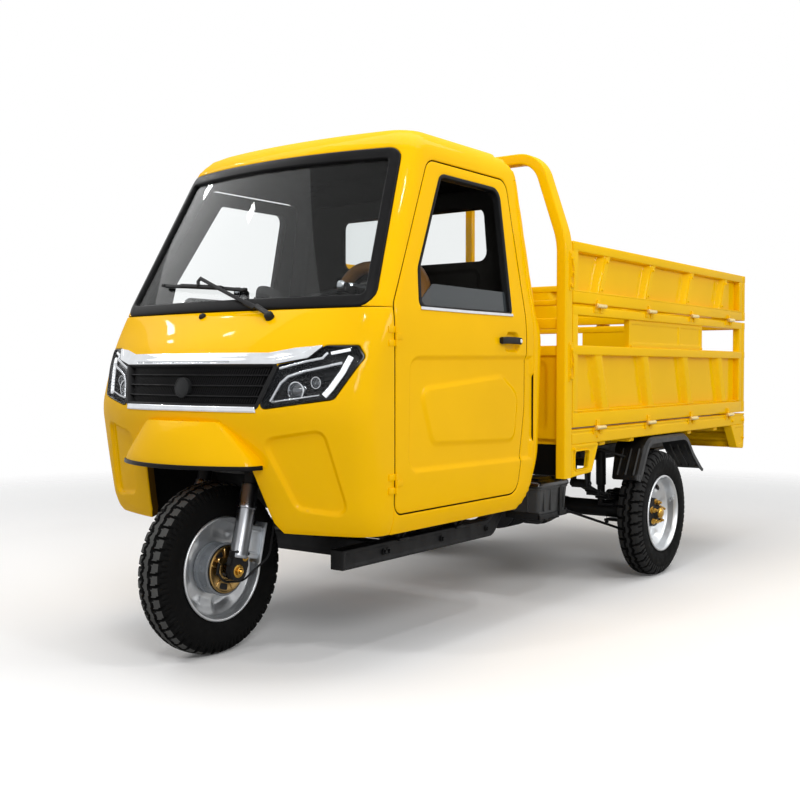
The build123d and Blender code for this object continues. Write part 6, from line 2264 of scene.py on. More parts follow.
@dataclass
class BedFrame:
    """Frame under the bed: rails with a creased face, runners, crosses, legs, brackets and skirt."""

    bottom: float = 617.0
    top: float = 674.0
    bracket: tuple = ((1223, 496), (1390, 504), (1450, 618), (1223, 618))
    window: tuple = ((1252, 523), (1356, 523), (1372, 591), (1252, 591))
    leg: tuple = ((2950, 618), (3148, 618), (3148, 560), (3140, 492), (3044, 500))

    def rails(self) -> list[Mesh]:
        """Outer rails with a rolled upper edge, and the front and rear crosses.

        Returns:
            The rails and crosses.
        """
        face = rounded([(600, 617), (637, 617), (640, 621), (640, 656), (637.5, 660), (637.5, 664), (640, 668),
                        (640, 674), (600, 674)], (4, 4, 2, 2, 1.5, 1.5, 2, 4, 4), 2)
        rail = prism(face, "y", BED_FRONT, BED_BACK - 0.5)
        runner = block((305, 1243, 560.5), (355, 3072, 602), 4)
        front = block((-602, BED_FRONT, self.bottom), (602, BED_FRONT + 40, self.top), 4)
        rear = block((-602, BED_BACK - 80, self.bottom), (602, BED_BACK, self.top), 4)
        crosses = [block((-620, y, 600), (620, y + 50, 663.5), 5) for y in (1500, 1775, 2420, 2760)]
        return [both_sides(joined([rail, runner])), front, rear, *crosses]

    def brackets(self) -> list[Mesh]:
        """Pressed bracket with a turned edge round its window and a lip round its outline, and
        the rear leg.

        Returns:
            Both sides' brackets and legs.
        """
        loop = rounded(self.bracket, (6, 18, 10, 4), 5)
        window = rounded(self.window, 12, 5)
        plate = Sheet(loop, lambda u, v, d: np.stack([640.0 - d, u, v], -1), 6.0, [window],
                      [Press(grown(loop, -15.0), 3.0, 7.0)], roll=4.0, pitch=15.0)
        lip = Sheet(grown(window, 6.0), lambda u, v, d: np.stack([641.2 - d, u, v], -1), 20.0, [window], roll=3.0,
                    pitch=9.0)
        leg = Sheet(rounded(self.leg, (4, 4, 14, 14, 14), 5), lambda u, v, d: np.stack([640.0 - d, u, v], -1), 40.0,
                    presses=[Press(rounded([(2990, 604), (3128, 604), (3124, 520), (3056, 522)], 14), 3.0, 8.0)],
                    roll=4.0, pitch=14.0)
        bolts = [bolt((640, 1240, 600), (1, 0, 0), 13, 6), bolt((640, 1432, 640), (1, 0, 0), 9, 4),
                 bolt((640, 2968, 640), (1, 0, 0), 13, 6), bolt((640, 3122, 640), (1, 0, 0), 13, 6),
                 bolt((640, 3128, 548), (1, 0, 0), 9, 4)]
        return [both_sides(joined([plate.mesh(), lip.mesh(), leg.mesh(), *bolts]))]

    def skirt(self) -> Mesh:
        """Rear skirt plate with a folded foot and two level beads.

        Returns:
            The skirt's mesh.
        """
        beads = [Press(rounded([(-600, z), (600, z), (600, z + 14), (-600, z + 14)], 7), -4.0, 9.0)
                 for z in (528, 572)]
        plate = Sheet(rounded([(-636, 500), (636, 500), (636, 619), (-636, 619)], 6),
                      lambda u, v, d: np.stack([-u, 3078.0 - d, v], -1), 5.0, presses=beads, roll=2.0, pitch=20.0)
        return joined([plate.mesh(), block((-634, 3064, 500), (634, 3078, 505), 2)])

    def build(self) -> None:
        """Makes the frame, its fixed hinge halves, the bed's floor and a black plate in front that is painted shade,
        for the dark gap behind the cab.
        """
        piece("bed_rails", joined([*self.rails(), *self.brackets(), self.skirt()]), BED_YELLOW, "vehicle",
              ["bed_frame"], smooth=40)
        for side in Side:
            hinge_set(side, f"bed_{side.value}_hinge", "vehicle", [(LOWER_HINGE, 650)])
        ridges = [Press(np.array([(1280, x), (3050, x), (3050, x + 30), (1280, x + 30)]), -2.5, 10.0)
                  for x in np.arange(-560, 561, 80) - 15.0]
        floor = Sheet(np.array([(1263, -600), (3068, -600), (3068, 600), (1263, 600)]),
                      lambda u, v, d: np.stack([v, u, 671.0 - d - 2.0], -1), 5.0, presses=ridges, roll=0.0, pitch=100.0)
        piece("bed_floor_plate", floor.mesh(), CHASSIS, "vehicle", ["bed_floor"], smooth=50)
        # Black plate of painted shade: it fills the dark gap between the cab's rear and the bed's front.
        shade_sheet = Sheet(rounded([(-596, 500), (596, 500), (596, 616), (-596, 616)], 10),
                       lambda u, v, d: np.stack([u, 1226.0 + d, v], -1), 3.0, roll=2.0, pitch=30.0)
        piece("shade_plate", shade_sheet.mesh(), LINING_AND_SHADE, "vehicle", smooth=50)


@dataclass
class Headboard:
    """Hoop of rectangular tube, rails, uprights and sheet behind the cab, with the latches."""

    route: tuple = ((-620, 495), (-620, 1380), (-512, 1696), (512, 1696), (620, 1380), (620, 495))
    radii: tuple = (0.1, 300, 110, 110, 300, 0.1)
    middle: float = 1195.0
    latch_heights: tuple = ((1194, 1341), (854, 1003))

    def hoop(self) -> Mesh:
        """Tube section, 40 by 56 with rounded edges, carried along the bent line.

        Returns:
            The hoop's mesh.
        """
        line = rounded(self.route, self.radii, 14)[14:-14]
        line = resampled(line, 60.0, closed=False)
        path = np.stack([line[:, 0], np.full(len(line), self.middle), line[:, 1]], 1)
        section = rounded([(-28, -20), (28, -20), (28, 20), (-28, 20)], 5.5, 4)
        return carried(path, np.broadcast_to([0.0, 1.0, 0.0], path.shape), section, closed=False)

    def bars(self) -> Mesh:
        """Rails and uprights of the headboard, and its sheet with two broad pressings.

        Returns:
            The mesh of the bars and the sheet.
        """
        rails = [block((-602, 1183, low), (602, 1223, high), 4)
                 for low, high in ((953, 990), (1053, 1091), (1141, 1160))]
        posts = [block((x - 20, 1185, 958), (x + 20, 1221, 1158), 4) for x in (-205, 205)]
        posts += [block((x - 15, 1183, 1150), (x + 15, 1209, 1682), 4) for x in (-205, 205)]
        dents = [Press(rounded([(x - 250, 670), (x + 250, 670), (x + 250, 930), (x - 250, 930)], 30), 8.0, 24.0)
                 for x in (-290, 290)]
        sheet = Sheet(rounded([(-604, 640), (604, 640), (604, 960), (-604, 960)], 3),
                      lambda u, v, d: np.stack([u, 1199.0 + d, v], -1), 3.0, presses=dents, roll=0.0, pitch=26.0)
        return joined([*rails, *posts, sheet.mesh()])

    def latches(self) -> Mesh:
        """On each post: a folded keeper plate, a pivoting hasp with a turned lip, a handle loop
        and pins.

        Returns:
            Both sides' latches.
        """
        parts = []
        for low, high in self.latch_heights:
            keeper = rounded([(1193, low), (1221, low), (1221, high), (1193, high)], (6, 10, 4, 8), 4)
            parts.append(prism(keeper, "x", 639.0, 643.0))
            hasp = rounded([(1199, low + 50), (1222, low + 50), (1229, low + 76), (1224, high - 12), (1200, high - 8)],
                           (5, 8, 6, 8, 5), 4)
            parts.append(prism(hasp, "x", 643.4, 646.6))
            parts.append(tube([(640, 1207, high - 30), (654, 1207, high - 30)], 7.0, 20))
            parts.append(bolt((646, 1211, low + 66), (1, 0, 0), 9, 5))
            parts.append(tube(bent([(648, 1205, high - 30), (652, 1213, high - 64), (650, 1216, low + 22),
                                    (648, 1208, low + 6), (646, 1202, low + 16)], 14), 3.0, 10))
            parts.append(bolt((643, 1203, low + 22), (1, 0, 0), 8, 4))
        return both_sides(joined(parts))

    def build(self) -> None:
        """Makes the headboard."""
        piece("hoop", joined([self.hoop(), self.bars()]), BED_YELLOW, "vehicle", ["headboard"], smooth=40)
        piece("board_latches", self.latches(), BED_YELLOW, "vehicle", smooth=35)


# ---------------------------------------------------------------- chassis and running gear
AXLE_Y = 2068.0


def turned_along_y(profile: Sequence[tuple[float, float]], start: float, z: float, x: float = 0.0,
                   steps: int = 48) -> Mesh:
    """Closed (distance, radius) profile turned about an axis that runs forward from y = start."""
    return cap(profile, (x, start, z), (0, -1, 0), steps)


@dataclass
class ChassisFrame:
    """Ladder frame: two kicked rails, cross members, cab mounts, spring hangers, steering neck."""

    rail: tuple = ((222, 264), (1130, 264), (1340, 494), (3072, 494), (3072, 560), (1310, 560), (1100, 330), (222, 330))
    radii: tuple = (6, 60, 60, 6, 6, 60, 60, 6)
    outer: float = 355.0
    width: float = 50.0
    mounts: tuple = (520.0, 870.0)
    eyes: tuple = (1710.0, 2430.0)
    eye_z: float = 420.0
    neck: tuple = ((420, 330), (480, 330), (340, 806), (160, 806), (150, 742), (285, 736))

    def rails(self) -> Mesh:
        """Rail of one side: rolled edges and a web pressed in by 4 mm, as a channel's is.

        Returns:
            The rail's mesh.
        """
        loop = rounded(self.rail, self.radii, 6)
        web = Press(resampled(grown(loop, -13.0), 40.0), 4.0, 7.0)
        sheet = Sheet(resampled(loop, 40.0), lambda u, v, d: np.stack([self.outer - d, u, v], -1), self.width,
                      presses=[web], roll=5.0, pitch=34.0)
        holes = [cap([(0, 5), (0, 11), (2.5, 10), (2.5, 5)], (self.outer - 4, y, 527), (1, 0, 0), 18)
                 for y in np.arange(1480, 3000, 190.0)]
        return joined([sheet.mesh(), *holes])

    def crosses(self) -> list[Mesh]:
        """Cross members between the rails, and the two that carry the cab on rubber pads.

        Returns:
            The cross members.
        """
        bars = [block((-307, 420, 264), (307, 480, 330), 8)]
        bars += [block((-307, y, 272), (307, y + 40, 322), 6) for y in (760, 1060)]
        bars += [block((-307, y, 502), (307, y + 40, 552), 6) for y in (1360, 1700, 2400, 3020)]
        for y in self.mounts:
            bars.append(block((-538, y, 410), (538, y + 40, 440), 6))
            half = [block((310, y, 325), (350, y + 40, 432), 5), block((296, y - 8, 322), (364, y + 48, 332), 3)]
            half += [cap([(0, 0), (0, 22), (4, 24), (10, 22), (10, 0)], (x, y + 20, 400), (0, 0, 1), 28)
                     for x in (420, 500)]
            half += [bolt((x, y + 20, 400), (0, 0, -1), 14, 9) for x in (420, 500)]
            half.append(prism(np.array([(350, 330), (420, 408), (350, 408)]), "y", y + 16, y + 24))
            bars.append(both_sides(joined(half)))
        return bars

    def hangers(self) -> Mesh:
        """Hanger at each spring eye: a foot on the rail, two cheeks and the eye's pin.

        Returns:
            The hangers' mesh.
        """
        parts = []
        for eye, half in zip(self.eyes, (30.0, 30.0)):
            cheek = rounded([(eye - half, 524), (eye + half, 524), (eye + 20, 402), (eye - 20, 402)], (6, 6, 18, 18), 5)
            parts += [prism(cheek, "x", x, x + 5) for x in (394.5, 460.5)]
            parts.append(block((330, eye - half, 496), (466, eye + half, 526), 6))
            parts.append(tube([(386, eye, self.eye_z), (474, eye, self.eye_z)], 9.0, 20))
            parts += [bolt((x, eye, self.eye_z), (d, 0, 0), 22, 9) for x, d in ((466, 1), (394, -1))]
            parts.append(prism(rounded([(eye - 6, 500), (eye + 6, 500), (eye + 5, 436), (eye - 5, 436)], 2), "x",
                               466, 472))
        return both_sides(joined(parts))

    def steering_neck(self) -> Mesh:
        """Boxed neck with a stiffening rib, on the front cross, and the raked head tube it holds.

        Returns:
            The neck's mesh.
        """
        box = prism(rounded(self.neck, (4, 4, 20, 16, 6, 30), 4), "x", -28, 28)
        rib = prism(rounded([(436, 334), (464, 334), (330, 770), (250, 770)], 10), "x", -31, 31)
        plate = block((-70, 412, 322), (70, 488, 336), 5)
        tube_ring = cap([(452, 17.6), (452, 33), (458, 35), (470, 35), (474, 30), (540, 30), (544, 35), (556, 35),
                         (562, 33), (562, 17.6)], (0, 32, 0), (0, 0, 1), 48)
        bolts = [bolt((x, y, 336), (0, 0, 1), 14, 8) for x in (-54, 54) for y in (428, 472)]
        return joined([box, rib, plate, Fork().raked(tube_ring), *bolts])

    def build(self) -> None:
        """Makes the frame and the neck, with bolts where the hangers and mounts meet the rails."""
        bolts = [bolt((355, y + shift, 512), (1, 0, 0), 13, 7) for y in self.eyes for shift in (-44, 44)]
        bolts += [bolt((355, y, 297), (1, 0, 0), 13, 7) for y in (440, 462, 780, 1080)]
        piece("chassis_rails", joined([both_sides(self.rails()), *self.crosses(), both_sides(joined(bolts))]), CHASSIS,
              "vehicle", ["chassis_frame"], smooth=40)
        piece("spring_hangers", self.hangers(), CHASSIS, "vehicle", smooth=40)
        piece("steering_neck", self.steering_neck(), CHASSIS, "vehicle", ["steering_head"], smooth=40)


@dataclass
class RearAxle:
    """Driven axle: banjo housing, nose and motor, drums, spring seats, brake levers and rods."""

    half: float = 530.0
    seat_x: float = 430.0
    fins: int = 9

    def housing(self) -> Mesh:
        """Housing turned about the axle, with its bolted rear cover and the nose in front.

        Returns:
            The housing's mesh.
        """
        half = [(490, 20), (490, 46), (480, 48), (472, 40), (446, 37.5), (196, 37.5), (150, 46), (118, 64), (92, 84),
                (62, 97), (30, 103)]
        outline = rounded([*half, *((-x, r) for x, r in half[::-1])], [0.5, 2, 3, 6, 8, 30, 30, 20, 20, 20, 20,
                                                                       20, 20, 20, 20, 30, 30, 8, 6, 3, 2, 0.5], 3)
        shell = turned(outline, (0, AXLE_Y, HUB_HEIGHT), 72)
        cover = cap([(66, 0), (66, 92), (72, 94), (80, 92), (90, 70), (100, 40), (103, 0)], (0, AXLE_Y, HUB_HEIGHT),
                    (0, 1, 0), 60)
        nose = turned_along_y([(60, 0), (60, 84), (92, 74), (120, 66), (142, 66), (144, 84), (152, 84), (152, 0)],
                              AXLE_Y, HUB_HEIGHT)
        turn = np.arange(10) * TAU / 10
        bolts = [bolt((85 * math.cos(a), AXLE_Y + 76, HUB_HEIGHT + 85 * math.sin(a)), (0, 1, 0), 10, 6) for a in turn]
        return joined([shell, cover, nose, *bolts])

    def motor(self) -> Mesh:
        """Motor with cooling fins round it, an end bell and a terminal box on top.

        Returns:
            The motor's mesh.
        """
        profile = [(150, 0), (150, 80), (154, 86), (166, 86)]
        for number in range(self.fins):
            start = 172 + number * 15.0
            profile += [(start, 79), (start + 1, 87.5), (start + 6, 87.5), (start + 7, 79)]
        profile += [(312, 79), (314, 86), (326, 86), (336, 74), (340, 40), (340, 0)]
        body = turned_along_y(profile, AXLE_Y, HUB_HEIGHT)
        top = block((-42, AXLE_Y - 290, HUB_HEIGHT + 70), (42, AXLE_Y - 190, HUB_HEIGHT + 118), 8)
        cables = [tube(bent([(x, AXLE_Y - 286, HUB_HEIGHT + 98), (x, AXLE_Y - 340, HUB_HEIGHT + 104),
                             (x * 1.4, AXLE_Y - 372, 470), (x * 1.6, AXLE_Y - 372, 512)], 40), 7.0, 12)
                  for x in (-26, 0, 26)]
        return joined([body, top, *cables])

    def ends(self) -> Mesh:
        """One side's drum, shaft, spring seat with its U bolts, shock absorber foot and brake lever.

        Returns:
            The left side's mesh.
        """
        x, z, y = self.seat_x, HUB_HEIGHT, AXLE_Y
        drum = turned(rounded([(488, 40), (488, 96), (492, 100), (526, 100), (530, 97), (530, 90), (524, 86),
                               (524, 40)],
                              (1, 3, 2, 2, 2, 2, 2, 1), 2), (0, y, z), 72)
        shaft = turned([(480, 0), (480, 20), (633, 20), (634, 19), (634, 0)], (0, y, z), 32)
        seat = block((x - 34, y - 50, z + 22), (x + 34, y + 50, z + 44), 5)
        top_plate = block((x - 38, y - 50, 343.5), (x + 38, y + 50, 353), 3)
        foot = block((x - 40, y - 50, z - 50), (x + 40, y + 50, z - 40), 4)
        bolts = []
        for shift in (-34, 34):
            line = bent([(x - 33, y + shift, z - 62), (x - 33, y + shift, 360), (x + 33, y + shift, 360),
                         (x + 33, y + shift, z - 62)], 16)
            bolts.append(tube(line, 5.5, 12))
            bolts += [bolt((x + d, y + shift, z - 50), (0, 0, -1), 15, 9) for d in (-33, 33)]
        lever = prism(rounded([(y - 60, 186), (y - 78, 186), (y - 36, 262), (y - 16, 262)], 6), "x", 478, 484)
        pin = tube([(474, y - 69, 196), (490, y - 69, 196)], 6.0)
        damper = [tube([(400, y - 96, 312), (404, y - 108, 400)], 17.0, 24),
                  tube([(403, y - 106, 388), (412, y - 128, 548)], 22.0, 24),
                  tube([(384, y - 96, 306), (440, y - 60, 300)], 9.0, 16),
                  tube([(380, y - 128, 540), (424, y - 128, 540)], 9.0, 16)]
        return joined([drum, shaft, seat, top_plate, foot, *bolts, lever, pin, *damper])

    def rods(self) -> Mesh:
        """Brake rods from a bracket on a cross member down to the levers.

        Returns:
            The left rod and its bracket.
        """
        rod = tube([(85, 1388, 458), (300, 1700, 316), (484, AXLE_Y - 70, 196)], 5.5, 12)
        bracket = block((74, 1374, 448), (96, 1402, 506), 4)
        return joined([rod, bracket])

    def build(self) -> None:
        """Makes the axle's pieces."""
        piece("axle_housing", joined([self.housing(), both_sides(self.ends())]), CHASSIS, "vehicle", ["rear_axle"],
              smooth=40)
        piece("drive_motor", self.motor(), DARK_GREY, "vehicle", smooth=40)
        piece("brake_rods", both_sides(self.rods()), CHASSIS, "vehicle", smooth=40)


@dataclass
class LeafSprings:
    """Spring packs: arched leaves of falling length, rolled eyes and rebound clips."""

    x: float = 430.0
    wide: float = 56.0
    thick: float = 9.0
    low: float = 316.5
    eye_z: float = 420.0
    reach: float = 360.0

    def leaf(self, number: int) -> Mesh:
        """One leaf: a rounded strip along z = low + lift (t / reach)^2.

        Args:
            number: the leaf, counted from the top.

        Returns:
            The leaf's mesh.
        """
        base = self.low + number * self.thick
        reach = self.reach * (0.45 + 0.275 * number)
        lift = (self.eye_z - base) * (reach / self.reach) ** 2
        t = np.linspace(-reach, reach, 41)
        path = np.stack([np.full(41, self.x), AXLE_Y + t, base + lift * (t / reach) ** 2 + self.thick / 2], 1)
        half, high = self.wide / 2, self.thick / 2 - 0.3
        profile = rounded([(-half, -high), (half, -high), (half, high), (-half, high)], 2.0, 2)
        return carried(path, np.broadcast_to([1.0, 0.0, 0.0], path.shape), profile, closed=False)

    def build(self) -> None:
        """Makes both packs."""
        parts = [self.leaf(number) for number in range(3)]
        for sign in (-1, 1):
            eye = (self.x - self.wide / 2, AXLE_Y + sign * self.reach, self.eye_z)
            parts.append(cap([(0, 10), (0, 18), (self.wide, 18), (self.wide, 10)], eye, (1, 0, 0), 32))
            for t in (140, 236):
                z = self.low + 18 + (self.eye_z - self.low - 18) * (t / self.reach) ** 2
                parts.append(block((self.x - 31, AXLE_Y + sign * t - 9, z - 14),
                                   (self.x + 31, AXLE_Y + sign * t + 9, z + 12),
                                   3))
        piece("spring_leaves", both_sides(joined(parts)), CHASSIS, "vehicle", ["leaf_springs"], smooth=40)


@dataclass
class BatteryPack:
    """One side's battery: ribbed case, glossy lid, strap, tray and leads, hung from the chassis."""

    low: tuple = (362.0, 1200.0, 340.0)
    high: tuple = (515.0, 1432.0, 452.0)

    def case(self) -> Mesh:
        """Case whose plan rings shrink a little downward, with upright ribs on its outer sides.

        Returns:
            The case's mesh.
        """
        rings = []
        for z, inset in ((self.low[2], 13), (self.low[2] + 5, 8), (self.high[2] - 14, 1), (self.high[2] - 12, -2),
                         (self.high[2], -2)):
            ring = rounded([(self.low[0] + inset, self.low[1] + inset), (self.high[0] - inset, self.low[1] + inset),
                            (self.high[0] - inset, self.high[1] - inset), (self.low[0] + inset, self.high[1] - inset)],
                           14, 5)
            rings.append(np.column_stack([ring, np.full(len(ring), z)]))
        ribs = [block((508, y, 356), (515.5, y + 7, 440), 2.5) for y in (1238, 1290, 1396)]
        ribs += [block((x, 1197.5, 356), (x + 7, 1206, 440), 2.5) for x in (400, 460)]
        return joined([lofted(rings), *ribs])

    def lid(self) -> Mesh:
        """Lid with a drip edge, rounded top and a raised middle.

        Returns:
            The lid's mesh.
        """
        rings = []
        for z, inset in ((448, -5), (451, -6.5), (460, -6), (470, 1), (474, 12), (474, 22), (480, 28), (482, 34)):
            ring = rounded([(self.low[0] + inset, self.low[1] + inset), (self.high[0] - inset, self.low[1] + inset),
                            (self.high[0] - inset, self.high[1] - inset), (self.low[0] + inset, self.high[1] - inset)],
                           16, 5)
            rings.append(np.column_stack([ring, np.full(len(ring), z)]))
        return lofted(rings)

    def tray(self) -> Mesh:
        """Angle tray, hold-down strap with its bolts, hanger arms and a small pump below it.

        Returns:
            The tray's mesh.
        """
        x0, y0, x1, y1 = self.low[0], self.low[1], self.high[0], self.high[1]
        tray = [block((x0 + 2, y0 + 4, 326), (x1 - 2, y0 + 12, 352), 2),
                block((x0 + 2, y1 - 12, 326), (x1 - 2, y1 - 4, 352), 2),
                block((x0 + 2, y0 + 4, 326), (x0 + 10, y1 - 4, 352), 2),
                block((x1 - 10, y0 + 4, 326), (x1 - 2, y1 - 4, 346), 2),
                block((x0, y0 + 60, 320), (x1 - 6, y0 + 84, 330), 2),
                block((x0, y1 - 84, 320), (x1 - 6, y1 - 60, 330), 2)]
        strap = [block((x1 - 2, 1358, 330), (x1 + 3, 1382, 468), 2), block((x0 - 4, 1358, 484), (x1 + 1, 1382, 486), 1),
                 tube([(x1 + 0.5, 1370, 466), (x1 - 8, 1370, 484)], 5, 12)]
        pump = [cap([(0, 0), (0, 24), (6, 27), (58, 27), (64, 22), (66, 0)], (x0 + 50, y0 + 92, 330), (1, 0, 0), 32),
                cap([(0, 0), (0, 12), (40, 12), (44, 8), (44, 0)], (x0 + 16, y0 + 150, 318), (1, 0, 0), 24),
                tube(bent([(x0 + 110, y0 + 92, 322), (x0 + 134, y0 + 110, 316), (x0 + 128, y0 + 180, 320),
                           (x0 + 96, y0 + 220, 330)], 20), 6, 12)]
        return joined([*tray, *strap, *pump])

    def leads(self) -> Mesh:
        """Leads and a hose that run from the lid over to the rail.

        Returns:
            The leads' mesh.
        """
        y = self.high[1]
        lines = [[(430, y - 6, 466), (430, y + 4, 470), (400, y + 6, 440), (372, y + 4, 420), (352, y + 20, 470)],
                 [(470, y - 8, 458), (474, y + 4, 452), (452, y + 6, 400), (400, y + 4, 356), (372, y - 6, 340)]]
        return joined([tube(bent(line, 14), 5.0, 12) for line in lines])

    def build(self) -> None:
        """Makes both sides' batteries."""
        piece("battery_cases", both_sides(self.case()), CASE_GREY, "vehicle", ["battery_box"], smooth=40)
        piece("battery_lids", both_sides(self.lid()), LID_BLACK, "vehicle", smooth=40)
        piece("battery_trays", both_sides(self.tray()), CHASSIS, "vehicle", smooth=40)
        piece("battery_leads", both_sides(self.leads()), SEAL, "vehicle", smooth=40)


@dataclass
class RearMudguards:
    """Mudguard over each rear wheel: one moulding bent along a line, with a turned-down edge."""

    line: tuple = ((1808, 434), (1912, 611), (2350, 611), (2440, 520), (2560, 432))
    radii: tuple = (1, 100, 110, 90, 1)
    inner: float = 506.0
    outer: float = 648.0
    skirt: float = 20.0
    bend: float = 9.0

    def path(self) -> tuple[Array, Array, Array]:
        """Points along the line with their distances and upward normals.

        Returns:
            Points, distances and normals.
        """
        loop = rounded(self.line, self.radii, 10)
        open_line = resampled(loop[10:-10], 6.0, closed=False)
        run = np.concatenate([[0], np.cumsum(np.linalg.norm(np.diff(open_line, axis=0), axis=1))])
        along = unit(np.gradient(open_line, axis=0))
        return run, open_line, np.stack([-along[:, 1], along[:, 0]], 1)

    def place(self, u: Array, v: Array, depth: Array) -> Array:
        """u runs along the line and v across it; past the bend's start, x = a + r sin t and the
        surface falls by r (1 - cos t), then straight down the skirt.

        Args:
            u: distances along the line.
            v: distances across it.
            depth: depths below the surface.

        Returns:
            The points.
        """
        run, line, normal = self.path()
        flat = self.outer - self.inner - self.bend
        t = np.clip((v - flat) / self.bend, 0, math.pi / 2)
        fall = self.bend * (1 - np.cos(t)) + np.clip(v - flat - self.bend * math.pi / 2, 0, None) + depth * np.cos(t)
        x = self.inner + np.minimum(v, flat) + self.bend * np.sin(t) - depth * np.sin(t)
        at = np.stack([np.interp(u, run, line[:, n]) for n in (0, 1)], -1)
        up = unit(np.stack([np.interp(u, run, normal[:, n]) for n in (0, 1)], -1))
        place = at - up * np.asarray(fall)[..., None]
        return np.stack([x, place[..., 0], place[..., 1]], -1)

    def build(self) -> None:
        """Makes both mudguards with three beads on each flap, their flanges, bolts and stays."""
        run = self.path()[0]
        total = run[-1]
        width = self.outer - self.inner - self.bend + self.bend * math.pi / 2 + self.skirt
        outline = np.array([(1, 20), (150, 0), (total - 1, 0), (total - 1, width - 8), (total - 40, width), (40, width),
                            (1, width - 8)])
        beads = []
        for middle in (38.0, 74.0, 110.0):
            for start, end in ((22, 150), (total - 190, total - 24)):
                beads.append(Press(rounded([(start, middle - 4), (end, middle - 4), (end, middle + 4),
                                            (start, middle + 4)], 3.8), -4.5, 6.0))
        sheet = Sheet(resampled(rounded(outline, (10, 40, 12, 8, 8, 8, 10), 4), 22.0), self.place, 4.5, presses=beads,
                      roll=0.0, pitch=17.0)
        flange = [block((598, 1990, 604), (604, 2280, 617), 2)]
        flange += [bolt((560, y, 613), (0, 0, 1), 13, 3) for y in (2010, 2125, 2250)]
        stays = [tube([(560, 1868, 528), (480, 1800, 560), (355, 1800, 546)], 6.0, 12),
                 tube([(560, 2424, 528), (480, 2480, 560), (355, 2480, 546)], 6.0, 12)]
        piece("rear_mudguard_sheets", both_sides(sheet.mesh()), GUARD_BLACK, "vehicle", ["rear_mudguards"], smooth=40)
        piece("rear_mudguard_fixings", both_sides(joined([*flange, *stays])), CHASSIS, "vehicle", smooth=40)


# ---------------------------------------------------------------- seat, controls and linings
def swollen(item: bpy.types.Object, limit: float, floor_z: float | None = None, voxel: float = 8.6,
            pressure: float = 4.0, frames: int = 20) -> None:
    """Makes a closed form a stuffed pad: even small faces, Cloth under pressure, one subdivision.

    Each point's way is cut to p + m min(1, limit / |m|), where m is how far the cloth moved it.

    Args:
        item: the pad; its form is a little smaller than the finished one.
        limit: furthest that a point may move, in millimetres.
        floor_z: height, in drawing millimetres, that the pad rests on, or None.
        voxel: size of the even faces in millimetres.
        pressure: pressure inside the cloth.
        frames: steps of the simulation.
    """
    scene = bpy.context.scene
    even = item.modifiers.new("even", "REMESH")
    even.mode, even.voxel_size = "VOXEL", voxel / METRE
    graph = bpy.context.evaluated_depsgraph_get()
    item.data = bpy.data.meshes.new_from_object(item.evaluated_get(graph))
    item.modifiers.clear()
    start = np.empty(len(item.data.vertices) * 3)
    item.data.vertices.foreach_get("co", start)
    cloth = item.modifiers.new("stuffing", "CLOTH")
    cloth.settings.use_pressure = True
    cloth.settings.uniform_pressure_force = pressure
    cloth.settings.effector_weights.gravity = 0.0
    cloth.settings.quality = 4
    cloth.point_cache.frame_start, cloth.point_cache.frame_end = 1, frames
    for frame in range(1, frames + 1):
        scene.frame_set(frame)
    graph = bpy.context.evaluated_depsgraph_get()
    end = np.empty(len(start))
    item.evaluated_get(graph).data.vertices.foreach_get("co", end)
    item.modifiers.clear()
    scene.frame_set(1)
    move = (end - start).reshape(-1, 3)
    length = np.linalg.norm(move, axis=1, keepdims=True)
    points = start.reshape(-1, 3) + move * np.minimum(1.0, limit / METRE / np.maximum(length, 1e-9))
    if floor_z is not None:
        points[:, 2] = np.maximum(points[:, 2], floor_z / METRE)
    item.data.vertices.foreach_set("co", points.ravel())
    item.data.update()
    item.data.shade_smooth()
    finer = item.modifiers.new("finer", "SUBSURF")
    finer.levels = finer.render_levels = 1


def stitched(item: bpy.types.Object, lines: Sequence[Array], depth: float, width: float, facing: Vector) -> None:
    """Sews channels into a pad: points that face a way sink by depth exp(-(d / width)^2), where d
    is their distance from the nearest line.

    Args:
        item: the pad.
        lines: seams in drawing millimetres.
        depth: depth in millimetres.
        width: half width in millimetres.
        facing: way that the sewn side faces.
    """
    data = item.data
    points, normals = np.empty(len(data.vertices) * 3), np.empty(len(data.vertices) * 3)
    data.vertices.foreach_get("co", points)
    data.vertices.foreach_get("normal", normals)
    points, normals = points.reshape(-1, 3), normals.reshape(-1, 3)
    ends = [(line[:-1], line[1:]) for line in map(to_frame, lines)]
    starts, stops = (np.vstack([pair[n] for pair in ends]) for n in (0, 1))
    away = np.full(len(points), 1.0)
    for a, b in zip(starts, stops):
        share = np.clip(((points - a) @ (b - a)) / max(float((b - a) @ (b - a)), 1e-12), 0, 1)[:, None]
        away = np.minimum(away, np.linalg.norm(points - a - share * (b - a), axis=1))
    turned_to = np.clip(normals @ np.array(facing), 0, 1)
    sink = depth / METRE * np.exp(-(away / (width / METRE)) ** 2) * turned_to
    data.vertices.foreach_set("co", (points - np.array(facing) * sink[:, None]).ravel())
    data.update()


